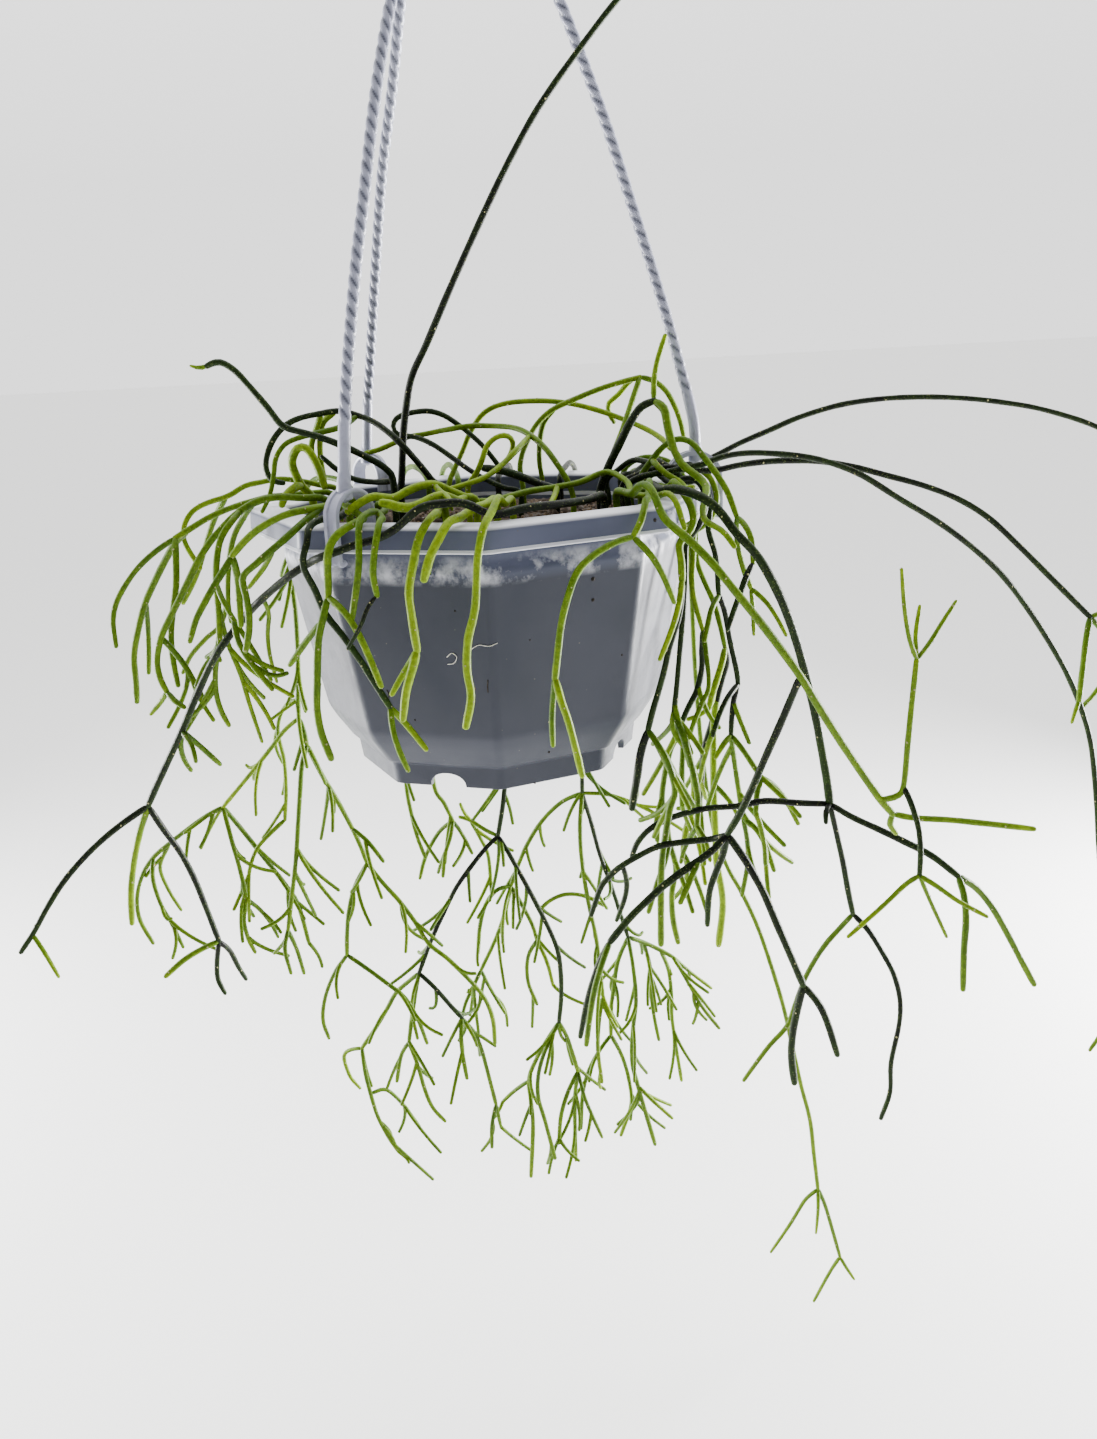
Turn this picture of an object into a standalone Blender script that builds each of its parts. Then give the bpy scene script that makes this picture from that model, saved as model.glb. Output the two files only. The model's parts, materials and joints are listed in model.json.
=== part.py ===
"""Potted rhipsalis in a hanging pot, as solid pieces.

An octagonal moulded pot with its soil, a three-armed hanger that clips over the rim and ends in a
hook, and the plant's stems, one piece for each spray. The origin is the inside top of the hook's
bend, and +Z is up. Lengths are in millimetres until the last step, which turns them into metres.
"""

import math

import bpy
import numpy as np
from mathutils import Vector

MM = 0.001

# Heights are measured from the top of the rim until everything is moved under the hook.
RIM_TO_HOOK = 355.0

# The pot: an octagon with a corner towards the front. Radii run to the corners.
CORNER_TURN = -90.0
FACE = math.cos(math.radians(22.5))
RIM_RADIUS = 113.4
RIM_DEPTH = 11.0
LIP_RADIUS = 114.2
NECK_RADIUS = 97.0
NECK_Z = -17.0
LEDGE_RADIUS = 98.8
LEDGE_Z = -21.5
INNER_TOP = 95.0
SHOULDER_Z = -26.0
SHOULDER_RADIUS = 98.0
PANEL_END_Z = -99.0
PANEL_END_RADIUS = 84.0
FOOT_TOP_Z = -117.0
FOOT_TOP_RADIUS = 70.5
FOOT_Z = -127.7
FOOT_RADIUS = 69.0
FLOOR_Z = -113.0
SOIL_EDGE_Z = -14.0
SOIL_CENTRE_Z = -10.0

# The hanger. Each arm's line is (distance from the pot's axis, height), and its turn is measured
# from the front, to the right.
ARM_WIDTH = 5.4
ARMS = {
    "arm_front_left": (-35.5, ((100.6, 14.0), (97.9, 35.0), (94.7, 51.7), (89.9, 72.0), (80.6, 106.0),
                               (71.5, 134.0), (61.0, 167.5), (50.7, 195.0), (41.3, 217.0), (27.6, 250.0),
                               (14.8, 276.0), (6.9, 292.0), (4.9, 297.0))),
    "arm_back_left": (-143.3, ((101.4, 14.0), (96.3, 42.0), (90.7, 62.7), (79.8, 103.6), (66.1, 151.7),
                               (51.4, 189.5), (38.7, 226.0), (25.8, 254.0), (15.1, 276.0), (6.9, 292.0),
                               (4.9, 297.0))),
    "arm_right": (88.0, ((103.6, 14.0), (103.2, 28.0), (100.8, 41.0), (97.8, 53.0), (92.4, 75.0),
                         (84.8, 102.0), (75.5, 133.0), (66.5, 163.0), (56.0, 193.0), (47.0, 217.0),
                         (31.0, 252.0), (16.0, 277.0), (6.5, 292.0), (4.6, 297.0))),
}
CLIP_WIDTH = 7.5
CLIP_BAND = 2.2
CLIP_ROOM = 2.2
CLIP_INSIDE_ROOM = 3.4
CLIP_SHOULDER = 4.0
HUB_Z = 291.0
HUB_HEIGHT = 13.0
HUB_RADIUS = 11.0
HOOK_RADIUS = 15.0
HOOK_WIDTH = 4.8

# The line of sight along which the stems are placed: where the eye stands in front of the pot, how
# it is turned, and how many picture units make one unit of distance.
EYE = (0.0, -684.2, 80.7)
YAW, PITCH, ROLL = 2.19, -15.95, -3.0
SIGHT_SCALE = 1402.0
SIGHT_WIDTH, SIGHT_HEIGHT = 1097.0, 1439.0

STEP = 3.5
CLEARANCE = 1.8
ROUNDS = 120
FLATNESS = 1.75
ROOT_DEPTH = 13.0
HOLE_TOP_Z = -7.5

# Every stem is traced as it hangs, seen from the front. Each point is (x, y, depth): x and y in the
# picture plane of SIGHT, and depth in millimetres in front of the pot's axis, with a minus behind it.
# A stem that begins on a point of an earlier one in its spray grows out of it there. A first stem
# begins above its own hole in the soil. The two widths are in millimetres, at the start and the end.
YOUNG, GREEN, MATURE, OLD = "young", "green", "mature", "old"

SPRAYS = {
    "stems_left_long": (
        (OLD, 4.4, 4.0, (604, 496, 40), (586, 500, 62), (552, 505, 82), (505, 509, 95), (470, 513, 102),
         (430, 518, 104), (400, 526, 104), (365, 537, 102), (330, 552, 98), (300, 568, 88), (262, 599, 71),
         (240, 623, 60), (215, 657, 54), (196, 697, 48), (181, 733, 44), (158, 783, 38), (148, 806, 36)),
        (OLD, 3.9, 3.4, (148, 806, 36), (122, 824, 40), (100, 842, 44), (80, 862, 46), (62, 884, 48),
         (47, 908, 50), (34, 932, 51), (21, 952, 52)),
        (GREEN, 1.9, 1.6, (34, 932, 51), (46, 950, 54), (60, 974, 56)),
        (GREEN, 4.2, 3.9, (148, 806, 36), (140, 832, 32), (134, 862, 30), (131, 892, 30), (132, 923, 31)),
        (OLD, 4.0, 3.6, (148, 806, 36), (164, 830, 32), (180, 852, 28), (194, 878, 26), (205, 905, 24),
         (219, 941, 22)),
        (GREEN, 2.8, 2.6, (219, 941, 22), (202, 949, 26), (184, 960, 30), (166, 976, 34)),
        (OLD, 3.6, 3.0, (219, 941, 22), (217, 962, 20), (218, 979, 20), (225, 993, 21)),
        (OLD, 3.4, 3.0, (219, 941, 22), (230, 951, 16), (238, 966, 12), (246, 979, 10)),
        (MATURE, 2.6, 2.2, (181, 733, 44), (180, 750, 40), (184, 763, 37), (190, 772, 36)),
        (MATURE, 2.4, 2.0, (181, 733, 44), (191, 748, 52), (195, 763, 54)),
        (MATURE, 2.6, 2.2, (181, 733, 44), (199, 748, 38), (219, 766, 34)),
        (GREEN, 1.8, 1.4, (262, 599, 71), (268, 614, 62), (267, 634, 56), (269, 655, 54), (276, 682, 52)),
    ),
    "stems_tall": (
        (OLD, 4.6, 3.2, (401, 496, 6), (402, 470, 6), (403, 440, 7), (406, 408, 9), (412, 376, 13),
         (426, 345, 18), (445, 300, 24), (467, 250, 28), (490, 200, 31), (512, 155, 33), (540, 105, 35),
         (580, 48, 36), (617, 0, 36), (648, -32, 36), (684, -56, 35), (722, -66, 34)),
    ),
    "stems_top_left": (
        (OLD, 4.0, 3.6, (393, 480, 22), (385, 468, 24), (370, 459, 26), (350, 449, 32), (325, 439, 35),
         (305, 433, 36), (283, 426, 36), (268, 408, 36), (250, 387, 35), (234, 370, 34), (219, 362, 33),
         (207, 366, 32)),
        (GREEN, 2.4, 1.2, (207, 366, 32), (200, 368, 32), (191, 366, 32)),
        (OLD, 3.6, 3.0, (393, 480, 22), (374, 481, 14), (354, 478, 10), (336, 468, 8), (322, 456, 7)),
    ),
    "stems_loop_left": (
        (OLD, 3.8, 3.4, (440, 489, 12), (432, 480, 14), (420, 465, 18), (404, 447, 22), (388, 432, 18),
         (372, 421, 12), (356, 415, 8), (338, 411, 8), (318, 414, 10), (300, 418, 12), (286, 425, 14),
         (275, 437, 16), (268, 452, 18), (266, 468, 20), (272, 480, 21), (283, 483, 22)),
        (MATURE, 3.6, 2.6, (356, 415, 8), (340, 426, 14), (318, 432, 18), (298, 437, 21), (283, 444, 23),
         (274, 458, 25), (272, 474, 28), (268, 494, 32), (262, 514, 35)),
        (YOUNG, 3.6, 3.4, (338, 411, 8), (325, 423, 4), (322, 442, 3), (323, 462, 4), (327, 484, 6)),
        (YOUNG, 3.6, 3.4, (318, 414, 10), (313, 430, 6), (308, 447, 4), (312, 465, 4), (319, 482, 6)),
    ),
    "stems_young_left": (
        (YOUNG, 5.2, 4.6, (312, 497, 2), (303, 488, 4), (296, 475, 6), (292, 462, 9), (297, 449, 12),
         (306, 448, 14), (314, 459, 16), (320, 472, 17), (324, 486, 18)),
        (YOUNG, 5.0, 4.6, (303, 488, 4), (296, 490, 12), (288, 499, 18), (284, 512, 22)),
    ),
    "stems_left_back": (
        (MATURE, 3.8, 3.6, (332, 494, -14), (312, 493, -10), (292, 495, -6), (270, 497, -2), (250, 502, 3),
         (228, 509, 8), (208, 518, 10), (190, 529, 12), (175, 538, 14)),
        (MATURE, 3.4, 3.2, (175, 538, 14), (155, 552, 14), (138, 568, 14), (125, 586, 14), (116, 604, 14),
         (113, 622, 15), (116, 646, 16)),
        (MATURE, 4.0, 3.6, (175, 538, 14), (176, 560, 20), (176, 585, 23), (173, 610, 24), (171, 635, 24),
         (173, 660, 24), (178, 685, 24)),
        (MATURE, 4.2, 4.0, (190, 529, 12), (178, 541, 6), (168, 558, 2), (157, 580, -1), (147, 603, -3),
         (140, 630, -4), (136, 655, -5), (138, 680, -5), (139, 700, -5)),
        (MATURE, 2.9, 2.7, (147, 603, -3), (149, 625, -10), (150, 650, -12), (150, 673, -13)),
    ),
    "stems_left_middle": (
        (MATURE, 4.0, 3.8, (326, 500, 24), (302, 498, 30), (278, 498, 33), (256, 503, 35), (238, 513, 37),
         (222, 528, 38), (208, 545, 38), (196, 565, 38), (181, 596, 36), (169, 620, 34), (161, 638, 33),
         (157, 660, 32), (160, 678, 32), (167, 692, 32)),
        (MATURE, 3.0, 2.8, (161, 638, 33), (176, 655, 29), (188, 672, 27), (205, 704, 26)),
        (MATURE, 2.6, 2.4, (167, 692, 32), (175, 701, 36), (184, 707, 38)),
        (GREEN, 2.2, 1.8, (167, 692, 32), (160, 703, 27), (151, 714, 25)),
        (MATURE, 3.8, 3.6, (238, 513, 37), (227, 526, 45), (218, 541, 48), (214, 560, 50), (213, 582, 51),
         (215, 605, 51), (217, 645, 51)),
        (MATURE, 3.0, 2.6, (217, 645, 51), (207, 665, 43), (198, 683, 41), (190, 705, 40), (187, 722, 40)),
        (MATURE, 3.0, 2.6, (217, 645, 51), (213, 668, 46), (213, 692, 44), (218, 712, 43), (226, 727, 42)),
        (MATURE, 3.4, 2.6, (213, 582, 51), (219, 598, 58), (230, 618, 61), (243, 638, 63), (268, 679, 64)),
        (MATURE, 3.2, 2.8, (230, 618, 61), (234, 638, 68), (243, 655, 72), (255, 671, 74), (268, 687, 75)),
        (GREEN, 2.2, 1.6, (215, 605, 51), (224, 640, 44), (238, 675, 41), (247, 705, 40), (259, 741, 38)),
        (MATURE, 3.6, 3.0, (256, 503, 35), (244, 515, 28), (234, 532, 24), (229, 552, 22), (227, 575, 20),
         (227, 600, 19), (230, 620, 18)),
        (GREEN, 2.2, 1.8, (227, 600, 19), (219, 625, 14), (205, 638, 11), (190, 655, 8), (182, 672, 6)),
    ),
    "stems_left_front": (
        (GREEN, 4.0, 3.8, (348, 500, 48), (338, 504, 60), (322, 507, 72), (305, 510, 79), (288, 514, 81),
         (272, 521, 81), (256, 531, 79), (243, 543, 77), (232, 556, 76)),
        (MATURE, 3.8, 3.4, (232, 556, 76), (224, 570, 77), (214, 586, 78), (205, 602, 79), (196, 620, 80),
         (190, 641, 81)),
        (MATURE, 4.2, 3.8, (232, 556, 76), (237, 575, 71), (239, 595, 69), (240, 612, 68), (241, 625, 68)),
        (MATURE, 3.8, 3.6, (322, 507, 72), (308, 520, 82), (290, 535, 88), (272, 550, 90), (256, 564, 91),
         (243, 577, 91), (246, 595, 91), (249, 613, 91), (249, 632, 91), (246, 650, 91)),
        (GREEN, 2.2, 1.8, (272, 550, 90), (263, 568, 83), (248, 588, 80)),
    ),
    "stems_left_pale": (
        (GREEN, 3.0, 2.8, (338, 490, -34), (320, 485, -28), (300, 481, -22), (280, 479, -18),
         (262, 482, -15), (245, 486, -13), (228, 496, -11), (207, 503, -10), (192, 512, -9),
         (184, 527, -8), (185, 543, -7), (200, 568, -6)),
        (GREEN, 3.0, 2.8, (228, 496, -11), (219, 512, -17), (212, 530, -21), (206, 550, -24),
         (198, 575, -26), (185, 602, -28)),
    ),
    "stems_front_left": (
        (OLD, 3.8, 3.6, (356, 504, 54), (347, 507, 68), (333, 518, 85), (319, 532, 92), (310, 550, 93),
         (309, 565, 92), (316, 590, 91), (325, 613, 91), (342, 635, 92), (360, 660, 93), (376, 685, 93),
         (390, 707, 93)),
        (GREEN, 3.2, 2.8, (390, 707, 93), (393, 730, 95), (399, 750, 96), (408, 770, 96)),
        (GREEN, 3.0, 2.6, (390, 707, 93), (404, 722, 90), (415, 735, 90), (426, 749, 90)),
    ),
    "stems_front_left_green": (
        (MATURE, 3.8, 4.2, (364, 505, 58), (354, 511, 78), (343, 527, 96), (334, 545, 101), (329, 568, 102),
         (328, 597, 103)),
        (MATURE, 4.0, 4.2, (328, 597, 103), (322, 622, 104), (318, 645, 104), (317, 690, 104),
         (317, 708, 104), (321, 732, 104), (331, 758, 104)),
        (MATURE, 3.2, 2.8, (322, 622, 104), (309, 638, 99), (299, 652, 96), (290, 665, 94)),
        (GREEN, 3.8, 3.4, (328, 597, 103), (345, 613, 109), (358, 633, 111), (370, 659, 112),
         (381, 686, 113)),
    ),
    "stems_front_short": (
        (MATURE, 3.8, 3.6, (376, 506, 58), (368, 511, 80), (361, 525, 100), (360, 545, 106),
         (359, 565, 107), (356, 590, 107), (352, 618, 107)),
        (MATURE, 3.6, 3.4, (368, 511, 80), (374, 519, 96), (370, 533, 106), (365, 553, 110),
         (363, 577, 111), (367, 598, 111)),
        (OLD, 1.5, 1.3, (367, 598, 111), (358, 610, 112), (350, 630, 113), (338, 651, 113)),
    ),
    "stems_front_a": (
        (YOUNG, 4.0, 4.4, (446, 504, 66), (440, 508, 86), (431, 518, 102), (420, 538, 109), (414, 560, 110),
         (409, 590, 111), (411, 612, 111), (417, 650, 111)),
        (YOUNG, 4.6, 4.2, (417, 650, 111), (412, 670, 111), (406, 692, 111), (403, 719, 111)),
        (GREEN, 3.2, 2.8, (417, 650, 111), (410, 663, 107), (402, 676, 106), (392, 694, 106)),
    ),
    "stems_front_b": (
        (YOUNG, 4.0, 4.6, (496, 500, 66), (484, 505, 84), (464, 512, 100), (448, 525, 112),
         (438, 541, 117), (430, 557, 118), (424, 579, 118)),
    ),
    "stems_front_c": (
        (YOUNG, 3.8, 4.4, (512, 500, 64), (504, 505, 84), (493, 513, 106), (485, 527, 116),
         (480, 545, 119), (477, 565, 120), (475, 608, 120), (468, 640, 120), (467, 670, 120),
         (471, 697, 120), (466, 726, 120)),
    ),
    "stems_rim_runner": (
        (YOUNG, 4.0, 4.4, (476, 500, 56), (465, 497, 60), (450, 491, 64), (435, 485, 68), (420, 486, 71),
         (406, 492, 73), (393, 501, 75), (380, 504, 77), (366, 502, 79), (356, 506, 82), (349, 514, 88)),
        (YOUNG, 3.2, 2.8, (435, 485, 68), (440, 498, 76), (446, 510, 86)),
        (YOUNG, 4.4, 4.8, (465, 497, 60), (448, 502, 72), (428, 506, 82), (405, 510, 89), (382, 516, 94)),
        (GREEN, 3.6, 3.2, (476, 500, 56), (492, 500, 50), (510, 495, 44), (530, 490, 38), (555, 486, 32),
         (580, 481, 26), (605, 471, 22), (622, 477, 32), (640, 490, 48), (655, 502, 62), (668, 514, 74),
         (681, 530, 84)),
        (YOUNG, 2.6, 2.2, (555, 486, 32), (552, 496, 44), (548, 504, 54)),
    ),
    "stems_arch_back": (
        (MATURE, 3.4, 3.4, (523, 486, -10), (520, 470, -12), (522, 455, -14), (528, 440, -16),
         (537, 424, -18), (552, 410, -20), (575, 399, -22), (605, 387, -24), (640, 377, -26)),
        (MATURE, 3.2, 3.0, (640, 377, -26), (654, 381, -28), (666, 391, -30), (675, 407, -32),
         (681, 424, -33), (684, 438, -34)),
        (GREEN, 3.0, 2.4, (640, 377, -26), (630, 381, -32), (618, 395, -36), (609, 403, -38),
         (609, 413, -39), (614, 422, -40)),
        (MATURE, 3.2, 3.0, (640, 377, -26), (632, 401, -20), (623, 428, -12), (612, 456, -4),
         (604, 476, 2)),
        (MATURE, 3.0, 2.8, (552, 410, -20), (541, 424, -30), (537, 445, -34), (537, 465, -36),
         (540, 482, -38)),
    ),
    "stems_arch_wide": (
        (MATURE, 3.2, 3.0, (573, 496, 24), (567, 480, 24), (557, 464, 20), (545, 448, 14), (530, 435, 6),
         (515, 428, -2), (495, 426, -10), (470, 426, -16), (445, 430, -20), (425, 434, -23),
         (408, 437, -26), (392, 444, -30), (378, 450, -32), (366, 453, -33)),
        (GREEN, 3.4, 3.0, (530, 435, 6), (516, 450, 18), (501, 465, 28), (486, 476, 36), (468, 483, 42),
         (448, 489, 46)),
    ),
    "stems_loop_back": (
        (OLD, 3.4, 3.2, (520, 492, 12), (505, 488, 10), (485, 479, 6), (468, 469, 2), (450, 456, -4),
         (432, 444, -8), (415, 437, -12), (400, 435, -14), (393, 428, -15), (397, 418, -16),
         (410, 413, -17), (428, 411, -18), (443, 415, -18), (456, 423, -18), (470, 434, -18),
         (482, 445, -18), (492, 457, -18), (502, 470, -18)),
    ),
    "stems_small_loop": (
        (GREEN, 3.2, 2.8, (468, 488, 22), (476, 474, 24), (482, 460, 24), (487, 446, 22), (497, 437, 20),
         (508, 436, 17), (513, 444, 14), (509, 457, 12), (500, 467, 10)),
    ),
    "stems_arch_centre": (
        (GREEN, 3.4, 3.4, (449, 484, -30), (455, 468, -34), (463, 450, -36), (471, 431, -36),
         (484, 413, -36), (503, 404, -36), (530, 401, -36), (560, 402, -35), (590, 408, -32),
         (620, 418, -26), (648, 430, -14), (664, 441, -4), (675, 455, 4)),
    ),
    "stems_bark": (
        (OLD, 3.6, 5.0, (556, 490, 6), (540, 484, 2), (522, 477, -2), (504, 471, -6), (484, 468, -10)),
    ),
    "stems_dark_arch": (
        (OLD, 4.8, 4.6, (600, 493, 8), (604, 478, 10), (611, 461, 14), (620, 443, 18), (630, 423, 22),
         (641, 407, 24), (654, 401, 26)),
        (GREEN, 5.2, 3.0, (654, 401, 26), (664, 409, 30), (668, 428, 34), (673, 447, 38), (681, 466, 44),
         (688, 485, 54), (698, 502, 66), (712, 517, 76), (724, 532, 82), (734, 547, 86)),
        (GREEN, 2.8, 2.4, (654, 401, 26), (654, 382, 22), (657, 362, 18), (665, 336, 14)),
    ),
    "stems_right_arch": (
        (MATURE, 3.2, 3.2, (640, 483, 14), (643, 473, 18), (652, 460, 22), (664, 446, 26), (678, 439, 30),
         (692, 443, 34), (703, 456, 38), (715, 472, 43), (727, 491, 48), (737, 517, 52)),
        (MATURE, 3.2, 3.0, (737, 517, 52), (737, 535, 47), (739, 552, 45), (744, 570, 44), (751, 588, 43)),
        (GREEN, 1.9, 1.6, (751, 588, 43), (753, 610, 40), (754, 634, 39)),
        (GREEN, 1.9, 1.6, (751, 588, 43), (766, 602, 48), (777, 618, 50), (786, 635, 51)),
        (MATURE, 3.2, 3.0, (737, 517, 52), (746, 527, 60), (752, 542, 64), (753, 563, 66)),
        (OLD, 2.8, 2.4, (753, 563, 66), (746, 577, 69), (740, 594, 71), (733, 613, 72), (728, 629, 73)),
        (GREEN, 3.0, 2.8, (652, 460, 22), (661, 476, 34), (674, 488, 46), (686, 499, 56)),
    ),
    "stems_right_long": (
        (MATURE, 4.2, 4.4, (616, 493, 44), (630, 494, 62), (645, 503, 80), (658, 514, 92), (672, 526, 99),
         (690, 541, 104), (712, 563, 108), (735, 591, 110), (757, 618, 110), (780, 648, 108),
         (800, 676, 106), (822, 712, 102), (845, 748, 97), (868, 782, 93), (881, 800, 91),
         (893, 814, 89)),
        (GREEN, 2.9, 2.7, (893, 814, 89), (915, 818, 90), (950, 820, 92), (990, 824, 94), (1034, 829, 96)),
        (GREEN, 3.8, 3.2, (893, 814, 89), (890, 824, 86), (896, 833, 84)),
        (GREEN, 3.0, 2.8, (881, 800, 91), (892, 798, 94), (903, 790, 96), (908, 745, 98), (911, 715, 99),
         (917, 660, 100)),
        (GREEN, 1.8, 1.4, (917, 660, 100), (910, 640, 103), (905, 610, 105), (902, 570, 107)),
        (GREEN, 1.8, 1.4, (917, 660, 100), (916, 635, 98), (920, 607, 97)),
        (GREEN, 1.8, 1.4, (917, 660, 100), (930, 643, 96), (943, 622, 93), (956, 602, 91)),
        (OLD, 3.0, 2.8, (903, 790, 96), (911, 808, 99), (918, 832, 102), (920, 855, 104), (919, 879, 105)),
        (GREEN, 2.0, 1.6, (919, 879, 105), (905, 888, 108), (885, 907, 110), (865, 925, 112),
         (848, 940, 113)),
        (GREEN, 1.8, 1.4, (919, 879, 105), (930, 905, 102), (946, 940, 100)),
        (GREEN, 2.0, 1.6, (919, 879, 105), (938, 891, 109), (958, 905, 111), (986, 920, 113)),
        (OLD, 4.2, 4.2, (800, 676, 106), (790, 700, 100), (778, 728, 95), (765, 757, 91), (752, 787, 88),
         (740, 812, 86), (727, 834, 84)),
        (OLD, 3.8, 3.4, (727, 834, 84), (714, 838, 78), (698, 840, 75), (672, 843, 72), (655, 847, 70),
         (625, 863, 68), (610, 875, 66), (600, 888, 65), (591, 914, 64)),
        (OLD, 3.4, 3.0, (625, 863, 68), (629, 880, 64), (627, 896, 62), (619, 918, 60)),
        (OLD, 4.2, 4.4, (727, 834, 84), (713, 849, 86), (700, 859, 87), (685, 869, 88), (665, 884, 89),
         (645, 902, 90), (628, 919, 91), (610, 941, 92)),
        (OLD, 3.8, 3.4, (610, 941, 92), (600, 960, 88), (592, 982, 85), (586, 1005, 83), (580, 1036, 82)),
        (MATURE, 3.6, 3.4, (610, 941, 92), (602, 962, 96), (594, 990, 98), (589, 1020, 99), (586, 1044, 99)),
        (MATURE, 3.8, 3.6, (700, 859, 87), (693, 874, 91), (687, 888, 93), (681, 901, 94)),
        (OLD, 4.2, 3.6, (727, 834, 84), (723, 853, 80), (715, 873, 78), (709, 893, 77), (707, 924, 76)),
        (OLD, 4.4, 4.2, (727, 834, 84), (745, 860, 88), (762, 890, 90), (775, 920, 91), (788, 950, 92),
         (803, 985, 92)),
        (OLD, 4.4, 4.4, (803, 985, 92), (798, 1005, 90), (793, 1030, 89), (791, 1055, 88), (794, 1082, 88)),
        (OLD, 4.2, 4.0, (803, 985, 92), (818, 1003, 94), (827, 1022, 95), (837, 1054, 96)),
    ),
    "stems_right_thick": (
        (OLD, 4.8, 5.0, (645, 487, 28), (657, 488, 42), (673, 492, 56), (692, 501, 67), (712, 514, 74),
         (735, 533, 79), (755, 553, 80), (770, 577, 80), (784, 606, 78), (796, 640, 74), (805, 672, 70),
         (814, 708, 67), (821, 745, 65), (827, 780, 64), (830, 804, 64)),
        (OLD, 3.8, 3.6, (830, 804, 64), (800, 803, 62), (765, 801, 60), (738, 806, 56), (710, 808, 52),
         (690, 812, 50), (668, 819, 48), (650, 829, 47), (638, 842, 46), (632, 856, 45)),
        (OLD, 3.8, 4.0, (830, 804, 64), (852, 817, 70), (880, 830, 74), (905, 842, 78), (932, 856, 82),
         (958, 876, 86)),
        (MATURE, 4.2, 4.0, (958, 876, 86), (964, 895, 90), (966, 920, 92), (964, 950, 93), (963, 989, 94)),
        (MATURE, 4.0, 4.0, (958, 876, 86), (976, 888, 82), (992, 907, 80), (1007, 933, 78),
         (1020, 958, 77), (1034, 984, 76)),
        (OLD, 3.6, 3.2, (830, 804, 64), (826, 812, 70), (826, 822, 72)),
        (OLD, 3.6, 3.8, (830, 804, 64), (837, 835, 60), (843, 862, 58), (848, 890, 56), (853, 914, 55)),
        (MATURE, 3.2, 2.8, (853, 914, 55), (840, 928, 52), (825, 945, 50), (812, 965, 48), (803, 983, 47),
         (795, 1005, 46), (787, 1026, 45), (770, 1045, 44), (757, 1062, 43), (744, 1080, 42)),
        (OLD, 3.4, 3.2, (853, 914, 55), (868, 930, 59), (882, 952, 61), (894, 975, 63), (900, 1000, 64),
         (899, 1025, 65), (891, 1063, 66), (890, 1092, 66), (881, 1118, 66)),
    ),
    "stems_far_right": (
        (MATURE, 3.0, 2.8, (630, 474, -32), (648, 466, -46), (668, 470, -62), (682, 490, -74),
         (689, 530, -82), (692, 600, -86), (696, 680, -88), (703, 760, -90), (714, 830, -91),
         (728, 868, -92), (742, 893, -92), (757, 925, -92), (770, 962, -92), (783, 1005, -92),
         (792, 1045, -92), (801, 1085, -92), (810, 1120, -92), (814, 1155, -92), (818, 1189, -92)),
        (GREEN, 2.4, 1.8, (818, 1189, -92), (806, 1199, -94), (797, 1213, -95), (789, 1226, -96),
         (771, 1252, -97)),
        (GREEN, 2.2, 1.6, (818, 1189, -92), (818, 1210, -88), (816, 1233, -87)),
        (MATURE, 2.8, 2.4, (818, 1189, -92), (825, 1205, -93), (833, 1232, -94), (840, 1257, -94)),
        (GREEN, 2.2, 1.8, (840, 1257, -94), (830, 1272, -96), (814, 1301, -97)),
        (GREEN, 2.0, 1.6, (840, 1257, -94), (846, 1267, -92), (854, 1279, -91)),
    ),
    "stems_arc_high": (
        (OLD, 3.8, 3.2, (622, 474, -14), (645, 468, -22), (675, 466, -27), (700, 462, -30),
         (717, 455, -31), (740, 443, -32), (770, 430, -33), (800, 417, -33), (840, 405, -34),
         (880, 399, -34), (920, 397, -34), (960, 398, -34), (1000, 402, -34), (1045, 410, -34),
         (1097, 427, -34), (1130, 450, -34), (1152, 484, -34), (1163, 528, -34)),
        (MATURE, 3.0, 2.8, (1163, 528, -34), (1160, 560, -38), (1152, 594, -41), (1148, 628, -42)),
        (MATURE, 2.8, 2.6, (1163, 528, -34), (1172, 556, -30), (1178, 590, -28)),
    ),
    "stems_arc_low": (
        (OLD, 3.8, 3.6, (624, 482, 4), (645, 476, 10), (668, 477, 15), (690, 478, 18), (712, 472, 19),
         (740, 465, 18), (775, 461, 16), (815, 461, 14), (850, 466, 13), (885, 475, 12), (925, 486, 12),
         (960, 500, 12), (990, 519, 12), (1020, 547, 12), (1050, 577, 12), (1090, 617, 12)),
        (MATURE, 3.8, 3.8, (1090, 617, 12), (1086, 640, 17), (1083, 665, 20), (1079, 700, 22)),
        (GREEN, 2.0, 1.6, (1079, 700, 22), (1072, 722, 24)),
        (GREEN, 2.2, 1.8, (1090, 617, 12), (1108, 612, 8), (1128, 618, 5), (1144, 634, 3)),
        (MATURE, 3.0, 2.6, (1090, 617, 12), (1104, 634, 9), (1115, 660, 8), (1121, 694, 7)),
    ),
    "stems_arc_middle": (
        (OLD, 3.6, 3.6, (628, 486, 24), (650, 477, 28), (675, 472, 31), (700, 466, 33), (722, 457, 33),
         (748, 453, 31), (780, 454, 29), (812, 458, 27), (840, 466, 25), (865, 477, 23), (900, 499, 20),
         (935, 520, 16), (968, 544, 12), (1000, 573, 7), (1025, 605, 2), (1048, 640, -2),
         (1067, 674, -5), (1081, 708, -7), (1091, 745, -8), (1096, 795, -9), (1099, 850, -9),
         (1104, 905, -9), (1110, 955, -9)),
        (GREEN, 2.2, 1.8, (1081, 708, -7), (1091, 698, -12), (1104, 680, -15)),
        (MATURE, 2.8, 2.2, (1110, 955, -9), (1107, 995, -12), (1102, 1030, -14), (1090, 1050, -15)),
        (MATURE, 2.8, 2.6, (1110, 955, -9), (1120, 990, -6), (1124, 1040, -4)),
    ),
    "stems_right_front": (
        (MATURE, 3.8, 3.8, (652, 491, 44), (650, 500, 64), (643, 515, 84), (632, 537, 94)),
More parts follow.
